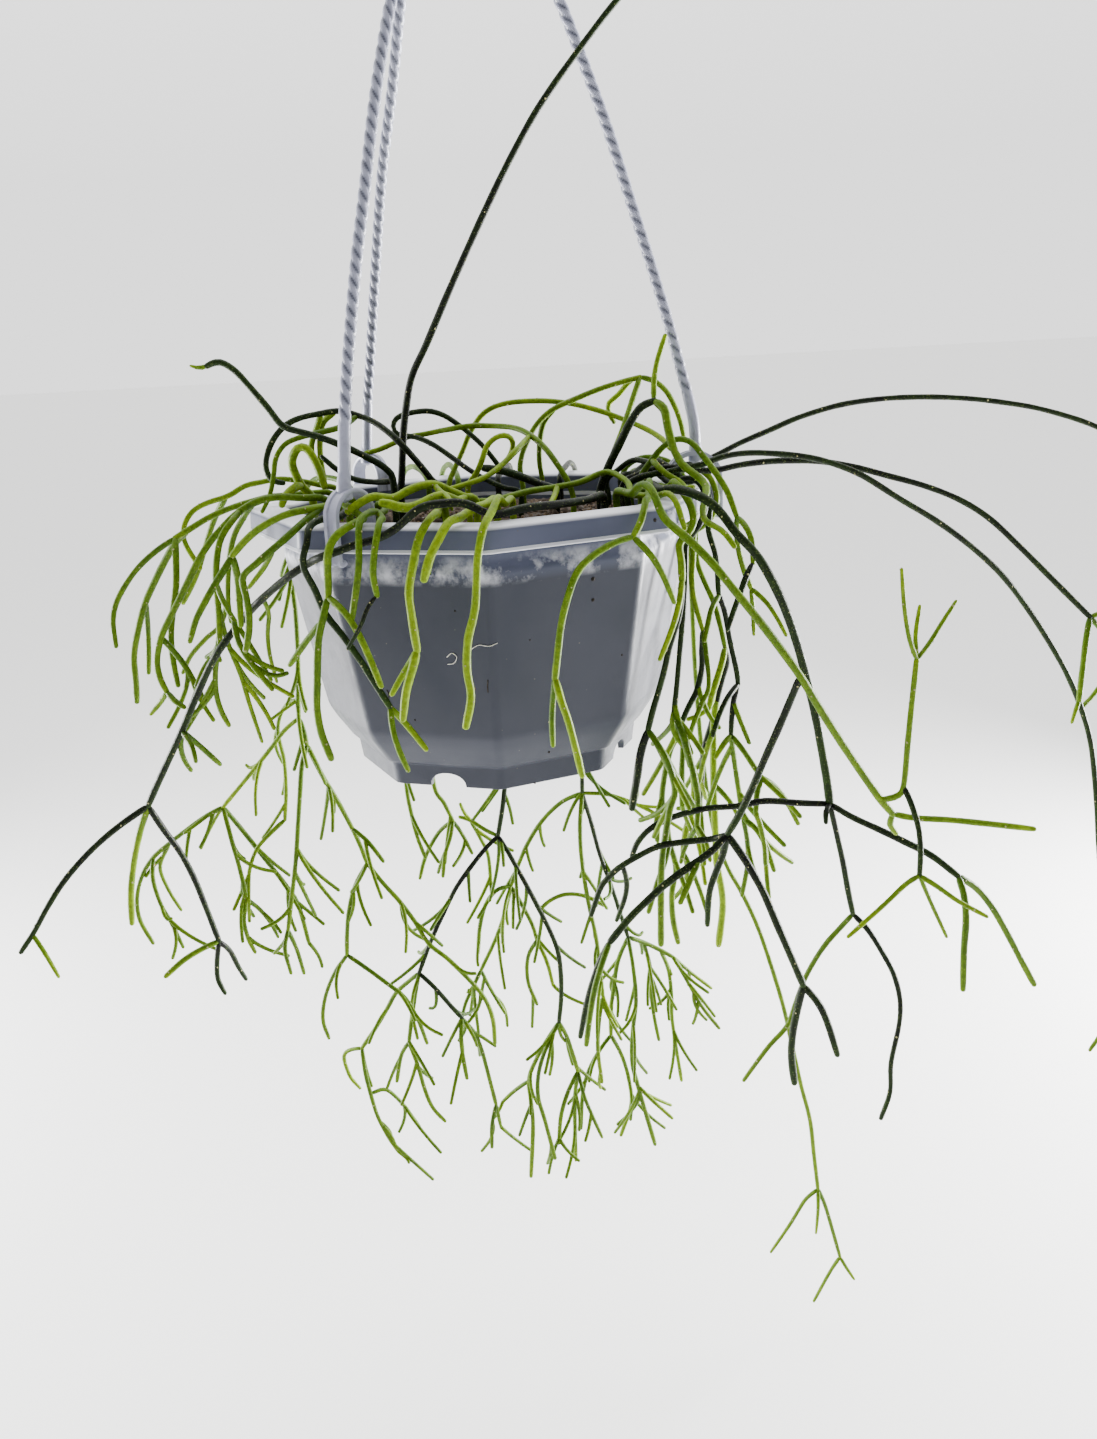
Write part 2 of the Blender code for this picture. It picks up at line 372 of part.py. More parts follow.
        (MATURE, 3.6, 4.0, (632, 537, 94), (618, 541, 98), (602, 549, 101), (588, 559, 103),
         (577, 571, 105), (569, 590, 106), (561, 620, 106), (557, 650, 106), (554, 678, 106)),
        (MATURE, 3.2, 2.8, (554, 678, 106), (552, 700, 102), (551, 722, 101), (552, 745, 100)),
        (YOUNG, 4.0, 3.8, (554, 678, 106), (560, 700, 109), (567, 720, 110), (574, 746, 110),
         (581, 775, 110)),
        (MATURE, 3.6, 3.2, (632, 537, 94), (645, 550, 96), (655, 563, 96), (664, 580, 95), (673, 602, 94)),
    ),
    "stems_cluster_front": (
        (MATURE, 4.0, 4.2, (652, 482, 10), (662, 490, 32), (668, 505, 50), (673, 522, 60), (677, 541, 66),
         (681, 560, 68), (682, 580, 69)),
        (YOUNG, 4.0, 2.8, (682, 580, 69), (680, 598, 75), (676, 616, 78), (669, 637, 80), (660, 659, 81)),
        (OLD, 3.6, 3.8, (682, 580, 69), (681, 601, 63), (677, 622, 60), (670, 645, 58), (665, 668, 57),
         (659, 690, 56), (653, 710, 56), (648, 730, 56)),
        (OLD, 4.6, 4.8, (648, 730, 56), (641, 752, 54), (637, 778, 53), (632, 808, 52)),
        (MATURE, 3.8, 4.2, (648, 730, 56), (658, 745, 62), (668, 763, 65), (675, 790, 66), (670, 808, 66),
         (666, 832, 66), (662, 860, 66), (661, 890, 66), (661, 944, 66)),
    ),
    "stems_cluster_dark": (
        (OLD, 3.4, 3.4, (640, 478, -10), (660, 472, 4), (674, 482, 20), (682, 505, 32), (685, 545, 38),
         (685, 580, 40), (683, 615, 41), (680, 650, 41), (677, 685, 41), (674, 712, 41)),
        (MATURE, 3.8, 3.8, (674, 712, 41), (678, 732, 34), (671, 748, 30), (666, 768, 28), (662, 798, 28),
         (666, 818, 28), (669, 840, 28), (676, 868, 28), (672, 892, 28), (673, 918, 28), (678, 942, 28)),
        (MATURE, 3.6, 3.4, (669, 840, 28), (664, 860, 34), (656, 882, 37), (648, 909, 38)),
        (MATURE, 4.0, 3.8, (674, 712, 41), (682, 732, 46), (688, 752, 48), (694, 776, 49), (698, 800, 49),
         (697, 826, 49)),
        (MATURE, 3.2, 2.8, (697, 826, 49), (690, 838, 44), (684, 850, 42), (681, 862, 42)),
        (GREEN, 3.0, 2.6, (697, 826, 49), (706, 842, 53), (710, 860, 55)),
    ),
    "stems_cluster_middle": (
        (GREEN, 3.6, 3.6, (646, 474, -24), (664, 464, -16), (681, 474, -6), (690, 498, 4), (693, 530, 10),
         (693, 560, 12), (692, 580, 13), (695, 602, 13), (703, 630, 13)),
        (OLD, 3.8, 3.8, (703, 630, 13), (702, 650, 7), (702, 668, 5), (697, 690, 4), (688, 708, 4),
         (681, 724, 4)),
        (MATURE, 3.4, 3.2, (703, 630, 13), (706, 650, 19), (709, 685, 22), (702, 703, 22), (694, 722, 22),
         (689, 738, 22)),
        (MATURE, 3.8, 3.8, (681, 724, 4), (683, 745, 11), (682, 770, 14), (682, 803, 15)),
        (YOUNG, 4.0, 4.2, (681, 724, 4), (687, 741, -2), (691, 762, -4), (694, 785, -5), (692, 810, -5),
         (686, 830, -5), (683, 852, -5)),
        (MATURE, 3.4, 3.2, (683, 852, -5), (692, 870, -2), (701, 893, -1), (708, 915, 0)),
    ),
    "stems_cluster_back": (
        (MATURE, 3.6, 3.6, (626, 468, -46), (648, 459, -42), (672, 464, -38), (688, 488, -32),
         (695, 525, -26), (697, 560, -22), (705, 583, -20), (714, 603, -18), (721, 628, -16),
         (725, 647, -16)),
        (YOUNG, 4.2, 4.0, (725, 647, -16), (722, 662, -12), (716, 682, -10), (712, 695, -10),
         (709, 708, -10)),
        (OLD, 3.8, 3.8, (725, 647, -16), (727, 662, -22), (722, 680, -25), (717, 700, -26),
         (712, 722, -26), (705, 745, -26), (702, 770, -26), (700, 800, -26)),
        (YOUNG, 4.6, 4.8, (717, 700, -26), (714, 722, -18), (714, 750, -14), (714, 780, -13),
         (715, 810, -13), (716, 832, -13), (717, 860, -14), (722, 888, -15), (723, 908, -16),
         (719, 943, -16)),
        (GREEN, 3.0, 2.6, (714, 780, -13), (723, 789, -8), (732, 800, -6), (738, 812, -5)),
    ),
    "stems_cluster_right": (
        (OLD, 3.4, 3.6, (608, 478, -28), (636, 466, -18), (664, 464, 0), (686, 480, 18), (699, 508, 30),
         (709, 535, 34), (716, 558, 36), (719, 595, 37)),
        (OLD, 3.6, 3.6, (719, 595, 37), (725, 612, 34), (730, 640, 32), (737, 672, 31), (738, 684, 31)),
        (OLD, 3.4, 3.4, (738, 684, 31), (733, 705, 29), (731, 735, 28)),
        (GREEN, 2.6, 2.4, (731, 735, 28), (723, 745, 33), (716, 757, 36)),
        (MATURE, 3.2, 3.2, (731, 735, 28), (734, 758, 22), (738, 785, 19), (743, 818, 17)),
        (MATURE, 3.2, 3.0, (743, 818, 17), (747, 838, 14), (748, 862, 12), (742, 895, 11)),
        (MATURE, 3.0, 2.8, (743, 818, 17), (756, 829, 21), (766, 846, 23), (774, 870, 24)),
        (MATURE, 2.6, 2.6, (731, 735, 28), (743, 750, 32), (753, 765, 34), (761, 777, 35)),
        (MATURE, 2.8, 2.8, (761, 777, 35), (757, 795, 40), (756, 813, 42)),
        (MATURE, 2.8, 2.8, (761, 777, 35), (775, 787, 31), (787, 802, 29), (798, 823, 28)),
        (OLD, 3.4, 3.2, (738, 684, 31), (728, 697, 38), (720, 713, 42), (713, 735, 44)),
        (MATURE, 3.0, 2.6, (719, 595, 37), (712, 608, 44), (708, 624, 48), (705, 640, 50)),
    ),
    "stems_behind_left": (
        (MATURE, 2.8, 2.6, (350, 487, -44), (332, 478, -54), (314, 480, -64), (300, 500, -70),
         (293, 540, -72), (292, 580, -72), (296, 620, -72), (298, 665, -72), (298, 702, -72),
         (299, 718, -72)),
        (GREEN, 2.0, 2.0, (299, 718, -72), (284, 731, -75), (268, 752, -78), (247, 778, -81),
         (223, 807, -84)),
        (MATURE, 2.4, 2.2, (223, 807, -84), (205, 817, -86), (188, 829, -88), (170, 843, -90),
         (153, 858, -92), (142, 876, -93), (137, 898, -94), (140, 920, -94), (153, 943, -94)),
        (MATURE, 2.4, 2.0, (153, 858, -92), (153, 880, -87), (161, 905, -85), (172, 924, -84),
         (183, 947, -84)),
        (GREEN, 2.2, 1.8, (170, 843, -90), (161, 866, -96), (170, 890, -99), (182, 909, -100)),
        (MATURE, 2.4, 2.2, (223, 807, -84), (231, 838, -79), (240, 870, -77), (246, 899, -76),
         (244, 920, -76), (248, 938, -76), (255, 952, -76)),
        (MATURE, 2.2, 1.8, (246, 899, -76), (260, 910, -80), (271, 924, -82), (278, 937, -83)),
        (MATURE, 2.6, 2.4, (223, 807, -84), (243, 831, -90), (266, 860, -93), (288, 888, -95),
         (299, 907, -96), (309, 943, -96)),
        (MATURE, 2.6, 2.4, (299, 718, -72), (304, 732, -70), (307, 745, -70)),
        (MATURE, 2.6, 2.4, (307, 745, -70), (302, 765, -66), (300, 792, -64), (298, 825, -63),
         (296, 858, -62), (292, 895, -61), (288, 930, -60)),
        (MATURE, 2.2, 2.0, (288, 930, -60), (285, 949, -57), (291, 973, -56)),
        (MATURE, 2.2, 2.0, (288, 930, -60), (297, 950, -64), (304, 973, -66)),
        (GREEN, 1.9, 1.9, (298, 702, -72), (288, 706, -79), (280, 718, -82), (278, 736, -84),
         (284, 762, -86), (286, 792, -87), (285, 822, -88)),
        (GREEN, 2.2, 1.9, (285, 822, -88), (271, 835, -87), (257, 851, -87), (250, 870, -86),
         (248, 888, -86)),
        (MATURE, 2.6, 2.4, (307, 745, -70), (322, 775, -78), (337, 800, -84), (352, 828, -88),
         (360, 845, -90), (367, 863, -91)),
        (MATURE, 2.4, 2.2, (352, 828, -88), (368, 842, -84), (383, 861, -82)),
        (MATURE, 2.4, 2.4, (367, 863, -91), (355, 886, -94), (349, 910, -95), (347, 935, -96),
         (347, 955, -96)),
        (MATURE, 2.2, 2.0, (347, 955, -96), (334, 974, -98), (325, 998, -99), (323, 1020, -99),
         (329, 1038, -99)),
        (MATURE, 2.4, 2.2, (347, 955, -96), (366, 968, -92), (385, 982, -89), (405, 998, -87),
         (418, 1020, -86), (427, 1043, -86)),
        (MATURE, 2.4, 2.4, (367, 863, -91), (382, 882, -88), (400, 902, -86), (415, 922, -84),
         (429, 944, -82), (449, 960, -80), (473, 984, -79), (486, 1001, -78), (493, 1020, -78),
         (495, 1043, -78)),
    ),
    "stems_behind_a": (
        (MATURE, 2.8, 2.4, (428, 481, -52), (420, 470, -74), (410, 467, -96), (402, 480, -112),
         (398, 530, -120), (397, 620, -122), (400, 710, -122), (406, 783, -122), (411, 812, -122),
         (417, 836, -122), (425, 857, -122)),
    ),
    "stems_behind_b": (
        (MATURE, 2.8, 2.6, (458, 479, -50), (453, 468, -74), (447, 465, -98), (441, 478, -114),
         (434, 530, -122), (428, 630, -124), (427, 720, -124), (434, 785, -124), (444, 803, -124),
         (453, 821, -124)),
        (MATURE, 2.4, 2.2, (453, 821, -124), (441, 830, -128), (431, 845, -130), (424, 861, -131),
         (420, 878, -131)),
        (MATURE, 2.4, 2.2, (453, 821, -124), (450, 838, -120), (445, 855, -119), (443, 876, -118)),
        (MATURE, 2.2, 2.0, (453, 821, -124), (462, 834, -128), (472, 853, -130)),
    ),
    "stems_behind_c": (
        (OLD, 2.8, 2.8, (498, 478, -46), (503, 469, -70), (507, 466, -94), (510, 480, -112),
         (512, 540, -120), (511, 640, -122), (508, 740, -122), (504, 795, -122), (498, 836, -122)),
        (GREEN, 2.2, 2.2, (498, 836, -122), (484, 829, -128), (470, 820, -131), (460, 817, -133)),
        (GREEN, 2.2, 2.0, (470, 820, -131), (480, 838, -135), (488, 856, -137), (491, 892, -138)),
        (OLD, 2.8, 2.8, (498, 836, -122), (485, 849, -118), (470, 868, -116), (456, 888, -115),
         (446, 908, -114), (437, 927, -113), (429, 946, -112), (419, 973, -112)),
        (MATURE, 2.6, 2.6, (419, 973, -112), (408, 982, -115), (396, 993, -117), (387, 1009, -118),
         (375, 1029, -119), (362, 1048, -120)),
        (MATURE, 2.4, 2.2, (362, 1048, -120), (365, 1071, -117), (371, 1095, -116), (378, 1117, -115),
         (388, 1136, -115), (398, 1151, -115)),
        (GREEN, 2.2, 2.0, (362, 1048, -120), (350, 1050, -125), (344, 1057, -127), (350, 1076, -128),
         (360, 1088, -129)),
        (MATURE, 2.2, 2.0, (371, 1095, -116), (386, 1091, -121), (401, 1103, -123), (412, 1117, -124),
         (420, 1128, -124)),
        (MATURE, 2.4, 2.4, (419, 973, -112), (415, 996, -108), (412, 1017, -107), (409, 1042, -106)),
        (MATURE, 2.4, 2.2, (409, 1042, -106), (401, 1056, -109), (397, 1081, -110)),
        (MATURE, 2.4, 2.2, (409, 1042, -106), (418, 1066, -103), (425, 1090, -102), (433, 1108, -101),
         (445, 1121, -101)),
        (OLD, 2.6, 2.6, (419, 973, -112), (435, 988, -109), (450, 1005, -108), (462, 1018, -107)),
        (MATURE, 2.4, 2.4, (462, 1018, -107), (461, 1037, -103), (463, 1056, -102), (467, 1078, -101)),
        (MATURE, 2.4, 2.4, (462, 1018, -107), (475, 1034, -111), (482, 1051, -113), (488, 1073, -114),
         (496, 1104, -115)),
        (MATURE, 2.4, 2.2, (496, 1104, -115), (492, 1125, -112), (492, 1147, -111)),
        (MATURE, 2.2, 2.0, (496, 1104, -115), (501, 1127, -119)),
        (OLD, 2.6, 2.8, (498, 836, -122), (508, 852, -118), (518, 870, -115), (529, 890, -113),
         (540, 911, -112), (550, 931, -111), (558, 952, -110), (561, 977, -110), (561, 1000, -110),
         (559, 1022, -110)),
        (MATURE, 2.4, 2.6, (559, 1022, -110), (547, 1040, -114), (536, 1060, -116), (529, 1079, -117),
         (531, 1102, -118), (533, 1126, -118), (531, 1176, -118)),
        (MATURE, 2.2, 2.2, (529, 1079, -117), (515, 1089, -122), (503, 1100, -124)),
        (MATURE, 2.4, 2.4, (559, 1022, -110), (547, 1046, -105), (539, 1071, -103), (538, 1096, -102),
         (545, 1121, -101), (555, 1158, -101)),
        (MATURE, 2.4, 2.6, (559, 1022, -110), (567, 1037, -113), (573, 1055, -115), (578, 1071, -116)),
        (MATURE, 2.6, 2.4, (578, 1071, -116), (575, 1096, -120), (575, 1126, -122), (576, 1160, -123)),
        (MATURE, 2.2, 2.0, (578, 1071, -116), (584, 1095, -111), (592, 1115, -109), (602, 1137, -108)),
        (MATURE, 3.0, 2.8, (578, 1071, -116), (568, 1092, -111), (561, 1116, -109), (559, 1143, -108)),
        (GREEN, 2.2, 2.2, (540, 911, -112), (551, 901, -118), (567, 895, -121), (586, 897, -123),
         (604, 906, -124)),
    ),
    "stems_behind_d": (
        (OLD, 2.6, 2.4, (560, 476, -42), (566, 466, -68), (571, 463, -94), (576, 477, -112),
         (580, 540, -122), (582, 640, -124), (582, 740, -124), (582, 793, -124)),
        (MATURE, 2.4, 2.4, (582, 793, -124), (562, 802, -129), (543, 820, -132), (528, 843, -134),
         (518, 866, -135), (511, 886, -136)),
        (MATURE, 2.6, 2.4, (511, 886, -136), (497, 890, -132), (486, 904, -130), (480, 926, -129),
         (478, 953, -128)),
        (MATURE, 2.4, 2.4, (511, 886, -136), (505, 912, -139), (496, 938, -141), (481, 970, -142)),
        (MATURE, 2.2, 2.0, (481, 970, -142), (474, 985, -139), (465, 1005, -137), (461, 1028, -136),
         (463, 1052, -136)),
        (MATURE, 2.2, 2.0, (481, 970, -142), (490, 988, -146), (505, 1013, -148)),
        (MATURE, 2.4, 2.4, (511, 886, -136), (522, 905, -132), (532, 924, -130), (537, 940, -129)),
        (MATURE, 2.4, 2.2, (537, 940, -129), (528, 957, -132), (528, 981, -133), (537, 1004, -134)),
        (GREEN, 2.4, 2.2, (537, 940, -129), (547, 962, -126), (553, 985, -125)),
        (GREEN, 2.0, 1.8, (582, 793, -124), (610, 795, -128), (640, 806, -131), (670, 822, -133),
         (700, 842, -135)),
        (MATURE, 2.4, 2.4, (582, 793, -124), (580, 828, -119), (582, 862, -117), (588, 900, -116),
         (596, 937, -115), (600, 970, -115), (603, 996, -115)),
        (GREEN, 2.4, 2.2, (603, 996, -115), (599, 1022, -111), (598, 1050, -109), (602, 1082, -108)),
        (OLD, 2.6, 2.6, (582, 793, -124), (591, 822, -130), (600, 855, -133), (612, 888, -135),
         (628, 937, -137)),
        (MATURE, 2.6, 2.6, (628, 937, -137), (618, 961, -140), (614, 986, -141), (611, 1010, -142),
         (611, 1035, -142)),
        (MATURE, 2.4, 2.4, (611, 1035, -142), (600, 1050, -138), (590, 1068, -136), (583, 1092, -135),
         (581, 1128, -135)),
        (MATURE, 2.6, 2.4, (611, 1035, -142), (622, 1056, -145), (629, 1080, -146), (631, 1105, -147),
         (621, 1135, -147)),
        (MATURE, 2.6, 2.8, (628, 937, -137), (633, 966, -132), (636, 1000, -130), (633, 1030, -129),
         (632, 1060, -129), (638, 1086, -129), (655, 1144, -129)),
        (GREEN, 2.4, 2.2, (638, 1086, -129), (653, 1101, -125), (672, 1118, -123)),
        (MATURE, 2.6, 2.6, (628, 937, -137), (645, 943, -142), (660, 950, -144), (673, 957, -145)),
        (MATURE, 2.4, 2.2, (673, 957, -145), (683, 973, -142), (693, 991, -141), (703, 1008, -140),
         (719, 1028, -140)),
        (GREEN, 2.2, 2.0, (673, 957, -145), (690, 972, -149), (711, 988, -151)),
        (MATURE, 2.4, 2.2, (645, 943, -142), (651, 966, -146), (652, 991, -148), (655, 1015, -149),
         (660, 1040, -149)),
        (MATURE, 2.4, 2.2, (660, 950, -144), (668, 970, -152), (671, 995, -154), (672, 1022, -155),
         (681, 1080, -156)),
    ),
}


def sight_axes():
    """The eye's forward, right and up directions."""
    yaw, pitch, roll = (math.radians(angle) for angle in (YAW, PITCH, ROLL))
    forward = np.array([math.sin(yaw) * math.cos(pitch), math.cos(yaw) * math.cos(pitch), math.sin(pitch)])
    flat = np.array([math.cos(yaw), -math.sin(yaw), 0.0])
    upright = np.cross(flat, forward)
    right = math.cos(roll) * flat + math.sin(roll) * upright
    up = math.cos(roll) * upright - math.sin(roll) * flat
    return forward, right, up


def on_sight_line(x, y, depth):
    """The point of the line of sight through (x, y) that stands `depth` in front of the pot's axis."""
    forward, right, up = sight_axes()
    ray = forward * SIGHT_SCALE + (x - SIGHT_WIDTH / 2) * right + (SIGHT_HEIGHT / 2 - y) * up
    eye = np.array(EYE)
    return eye + ray * (-depth - eye[1]) / ray[1]


def smooth_line(points, step):
    """Points about `step` apart along a smooth curve through the given ones."""
    points = np.asarray(points, float)
    ends = np.vstack([2 * points[0] - points[1], points, 2 * points[-1] - points[-2]])
    line = []
    for index in range(1, len(ends) - 2):
        before, start, end, after = ends[index - 1 : index + 3]
        for part in np.linspace(0, 1, 13)[:-1]:
            line.append(0.5 * (2 * start + (end - before) * part
                               + (2 * before - 5 * start + 4 * end - after) * part**2
                               + (3 * start - before - 3 * end + after) * part**3))
    line.append(points[-1])
    return spaced(np.array(line), step)


def spaced(line, step):
    """The same line with its points evenly spaced."""
    along = np.concatenate([[0], np.cumsum(np.linalg.norm(np.diff(line, axis=0), axis=1))])
    count = max(2, int(round(along[-1] / step)) + 1)
    marks = np.linspace(0, along[-1], count)
    return np.stack([np.interp(marks, along, line[:, axis]) for axis in range(3)], axis=1)


def face_normals():
    """The eight outward directions of the pot's faces."""
    turns = [math.radians(CORNER_TURN + 22.5 + 45 * index) for index in range(8)]
    return np.array([[math.cos(turn), math.sin(turn)] for turn in turns])


def wall_reach(height):
    """How far the pot's body stands from its axis at this height, at a face's middle."""
    heights = (FOOT_Z, FOOT_TOP_Z, PANEL_END_Z, SHOULDER_Z, LEDGE_Z, NECK_Z, -RIM_DEPTH)
    radii = (FOOT_RADIUS, FOOT_TOP_RADIUS, PANEL_END_RADIUS, SHOULDER_RADIUS, LEDGE_RADIUS, NECK_RADIUS,
             NECK_RADIUS)
    return np.interp(height, heights, radii) * FACE


def clear_of_pot(places, reach):
    """Moves that take points standing nearer than `reach` to the pot away from it."""
    normals = face_normals()
    facing = places[:, :2] @ normals.T
    nearest = facing.argmax(axis=1)
    out = facing.max(axis=1)
    height = places[:, 2]
    outward = np.concatenate([normals[nearest], np.zeros((len(places), 1))], axis=1)
    moves = np.zeros_like(places)

    body = (height < -RIM_DEPTH + 1) & (height > FOOT_Z - 6) & (out < wall_reach(height) + reach)
    body &= (height < SOIL_EDGE_Z - 20) | (out > INNER_TOP * FACE - 2)
    moves[body] += outward[body] * (wall_reach(height) + reach - out)[body, None]

    sunk = (height < SOIL_CENTRE_Z + reach) & (height > SOIL_EDGE_Z - 20) & (out < INNER_TOP * FACE - 2)
    moves[sunk, 2] += (SOIL_CENTRE_Z + reach - height)[sunk]

    inner, outer = INNER_TOP * FACE, LIP_RADIUS * FACE
    sideways = out - np.clip(out, inner, outer)
    upward = height - np.clip(height, -RIM_DEPTH, 0.0)
    distance = np.hypot(sideways, upward)
    within = (distance < 1e-6) & (height > -RIM_DEPTH)
    beside = (distance < reach) & ~within
    scale = (reach - distance) / np.maximum(distance, 1e-6)
    moves[beside] += outward[beside] * (sideways * scale)[beside, None]
    moves[beside, 2] += (upward * scale)[beside]
    lift = within & (height > -5)
    moves[lift, 2] += (reach - height)[lift]
    push = within & (height <= -5)
    moves[push] += outward[push] * (outer + reach - out)[push, None]
    return moves


def clip_line(outer, inner):
    """The clip's centre line in its own plane: (distance from the axis, height)."""
    middle, half = (outer + inner) / 2, (outer - inner) / 2
    line = [(outer - 3.2, -14.6), (outer - 1.0, -15.4), (outer, -13.6), (outer, CLIP_SHOULDER)]
    for index in range(1, 8):
        angle = math.pi * index / 8
        line.append((middle + half * math.cos(angle), CLIP_SHOULDER + half * 0.9 * math.sin(angle)))
    return line + [(inner, CLIP_SHOULDER), (inner, -3.0)]


def rim_span(turn):
    """How far the rim's outer and inner edges stand from the axis at this turn from the front."""
    slant = math.cos(math.radians(turn % 45.0 - 22.5))
    return LIP_RADIUS * FACE / slant, INNER_TOP * FACE / slant


def turned(turn, out, height):
    """A point `out` from the axis at this turn from the front."""
    angle = math.radians(turn)
    return (out * math.sin(angle), -out * math.cos(angle), height)


def clip_points(turn):
    """The clip's centre line in space."""
    outer, inner = rim_span(turn)
    return [turned(turn, out, height) for out, height in clip_line(outer + CLIP_ROOM, inner - CLIP_INSIDE_ROOM)]


def hanger_points():
    """Points along the hanger with the room each one needs, for the stems to keep clear of."""
    places, rooms = [], []
    for turn, line in ARMS.values():
        arm = smooth_line([turned(turn, out, height) for out, height in line], STEP)
        places.append(arm)
        rooms.append(np.full(len(arm), ARM_WIDTH / 2))
        clip = spaced(np.array(clip_points(turn)), 2.0)
        angle = math.radians(turn)
        side = np.array([math.cos(angle), math.sin(angle), 0.0])
        for shift in (-2.4, 0.0, 2.4):
            places.append(clip + side * shift)
            rooms.append(np.full(len(clip), 1.9))
    return np.concatenate(places), np.concatenate(rooms)


class Branch:
    """One stem of a spray: its points, widths, and the point of an earlier stem that it grows from."""

    def __init__(self, tone, start, end, points):
        self.tone = tone
        self.start, self.end = start, end
        self.points = points
        self.parent = None
        self.knot = 0
        self.marks = {}
        self.line = None
        self.held = 0
        self.within = FLATNESS
        self.spray = 0

    def widths(self):
        """The width at each point of the line."""
        return np.linspace(self.start, self.end, len(self.line))


def standing_points():
    """Where each spray stands in the soil: below its first point, but inside the pot and apart."""
    points = np.array([on_sight_line(*spray[0][3])[:2] for spray in SPRAYS.values()])
    room = np.array([spray[0][1] / 2 for spray in SPRAYS.values()])
    normals = face_normals()
    for _ in range(200):
        facing = points @ normals.T
        beyond = facing.max(axis=1) - (INNER_TOP * FACE - 3.0 - room)
        points -= normals[facing.argmax(axis=1)] * np.maximum(beyond, 0)[:, None]
        apart = points[:, None] - points[None]
        distance = np.linalg.norm(apart, axis=2) + np.eye(len(points)) * 99
        short = np.maximum(room[:, None] + room[None] + 2.6 - distance, 0)
        points += (apart / distance[..., None] * short[..., None] * 0.25).sum(axis=1)
    return dict(zip(SPRAYS, points))


def traced(spray, root):
    """The branches of a spray, placed in space and tied to the stems they grow from."""
    branches = []
    for tone, start, end, *points in spray:
        branch = Branch(tone, start, end, points)
        places = [on_sight_line(*point) for point in points]
        for earlier in branches:
            if points[0] in earlier.marks:
                branch.parent, branch.knot = earlier, earlier.marks[points[0]]
        below = []
        if branch.parent is None:
            below = [(*root, height) for height in (SOIL_EDGE_Z - ROOT_DEPTH, SOIL_EDGE_Z - 4, HOLE_TOP_Z)]
        branch.line = smooth_line(below + places, STEP)
        if below:
            branch.held = int(np.argmax(branch.line[:, 2] > HOLE_TOP_Z))
            branch.line[: branch.held, :2] = root
        for point, place in zip(points, places):
            branch.marks[point] = int(np.linalg.norm(branch.line - place, axis=1).argmin())
        branches.append(branch)
    return branches


def follow_parents(branches):
    """Moves each stem along with the point that it grows from."""
    for branch in branches:
        if branch.parent is not None:
            branch.line += branch.parent.line[branch.knot] - branch.line[0]


def bend_clear(sprays):
    """Bends the stems, mostly along the line of sight, until sprays pass each other and the pot."""
    branches = [branch for spray in sprays.values() for branch in spray]
    owner = np.concatenate([np.full(len(b.line), n) for n, s in enumerate(sprays.values()) for b in s])
    room = np.concatenate([branch.widths() / 2 for branch in branches])
    held = np.concatenate([np.arange(len(b.line)) < b.held for b in branches])
    bounds = np.cumsum([0] + [len(branch.line) for branch in branches])
    fixed, fixed_room = hanger_points()
    eye = np.array(EYE)
    for turn in range(ROUNDS):
        places = np.concatenate([branch.line for branch in branches])
        view = places - eye
        view /= np.linalg.norm(view, axis=1)[:, None]
        if turn % 10 == 0:
            pairs = near_pairs(places, owner)
            posts = near_posts(places, fixed)
        moves = clear_of_pot(places, room + 1.0)
        one, two = pairs
        apart = places[one] - places[two]
        need = room[one] + room[two] + CLEARANCE + 0.7
        touching = np.linalg.norm(apart, axis=1) < need
        one, two, apart, need = one[touching], two[touching], apart[touching], need[touching]
        along = passing_direction(places, one, two, view, heading(branches))
        deep = np.einsum("ij,ij->i", apart, along)
        across = np.sqrt(np.maximum(np.einsum("ij,ij->i", apart, apart) - deep**2, 0))
        wanted = np.sqrt(np.maximum(need**2 - across**2, 0)) - np.abs(deep)
        side = np.where(np.abs(deep) > 0.05, np.sign(deep), np.where(owner[one] < owner[two], 1.0, -1.0))
        push = along * (side * wanted * 0.5)[:, None]
        np.add.at(moves, one, push * 0.5)
        np.add.at(moves, two, -push * 0.5)
        one, post = posts
        apart = places[one] - fixed[post]
        need = room[one] + fixed_room[post] + CLEARANCE + 0.7
        distance = np.linalg.norm(apart, axis=1)
        close = distance < need
        push = apart[close] * ((need - distance) / np.maximum(distance, 0.1))[close, None]
        np.add.at(moves, one[close], push * 0.4)
        length = np.linalg.norm(moves, axis=1)
        moves *= (np.minimum(length, 3.0) / np.maximum(length, 1e-9))[:, None]
        moves[held] = 0
        for start, end, branch in zip(bounds[:-1], bounds[1:], branches):
            part = moves[start:end]
            for _ in range(5):
                padded = np.vstack([part[:1], part, part[-1:]])
                part = 0.25 * padded[:-2] + 0.5 * padded[1:-1] + 0.25 * padded[2:]
                part[: branch.held] = 0
            branch.line = branch.line + part * 1.5
        follow_parents(branches)


def heading(branches):
    """The direction of every stem at each of its points."""
    tangents = np.concatenate([np.gradient(branch.line, axis=0) for branch in branches])
    return tangents / np.linalg.norm(tangents, axis=1)[:, None]


def passing_direction(places, one, two, view, tangents):
    """The direction in which two stems pass each other: over and under on the rim, else in depth."""
    between = np.cross(tangents[one], tangents[two])
    size = np.linalg.norm(between, axis=1)
    at = places[one]
    on_rim = (size > 0.3) & (np.abs(at[:, 2]) < 22) & (np.hypot(at[:, 0], at[:, 1]) > 55)
    along = view[one].copy()
    over = between[on_rim] / size[on_rim][:, None]
    along[on_rim] = over * np.where(over[:, 2] < 0, -1.0, 1.0)[:, None]
    return along


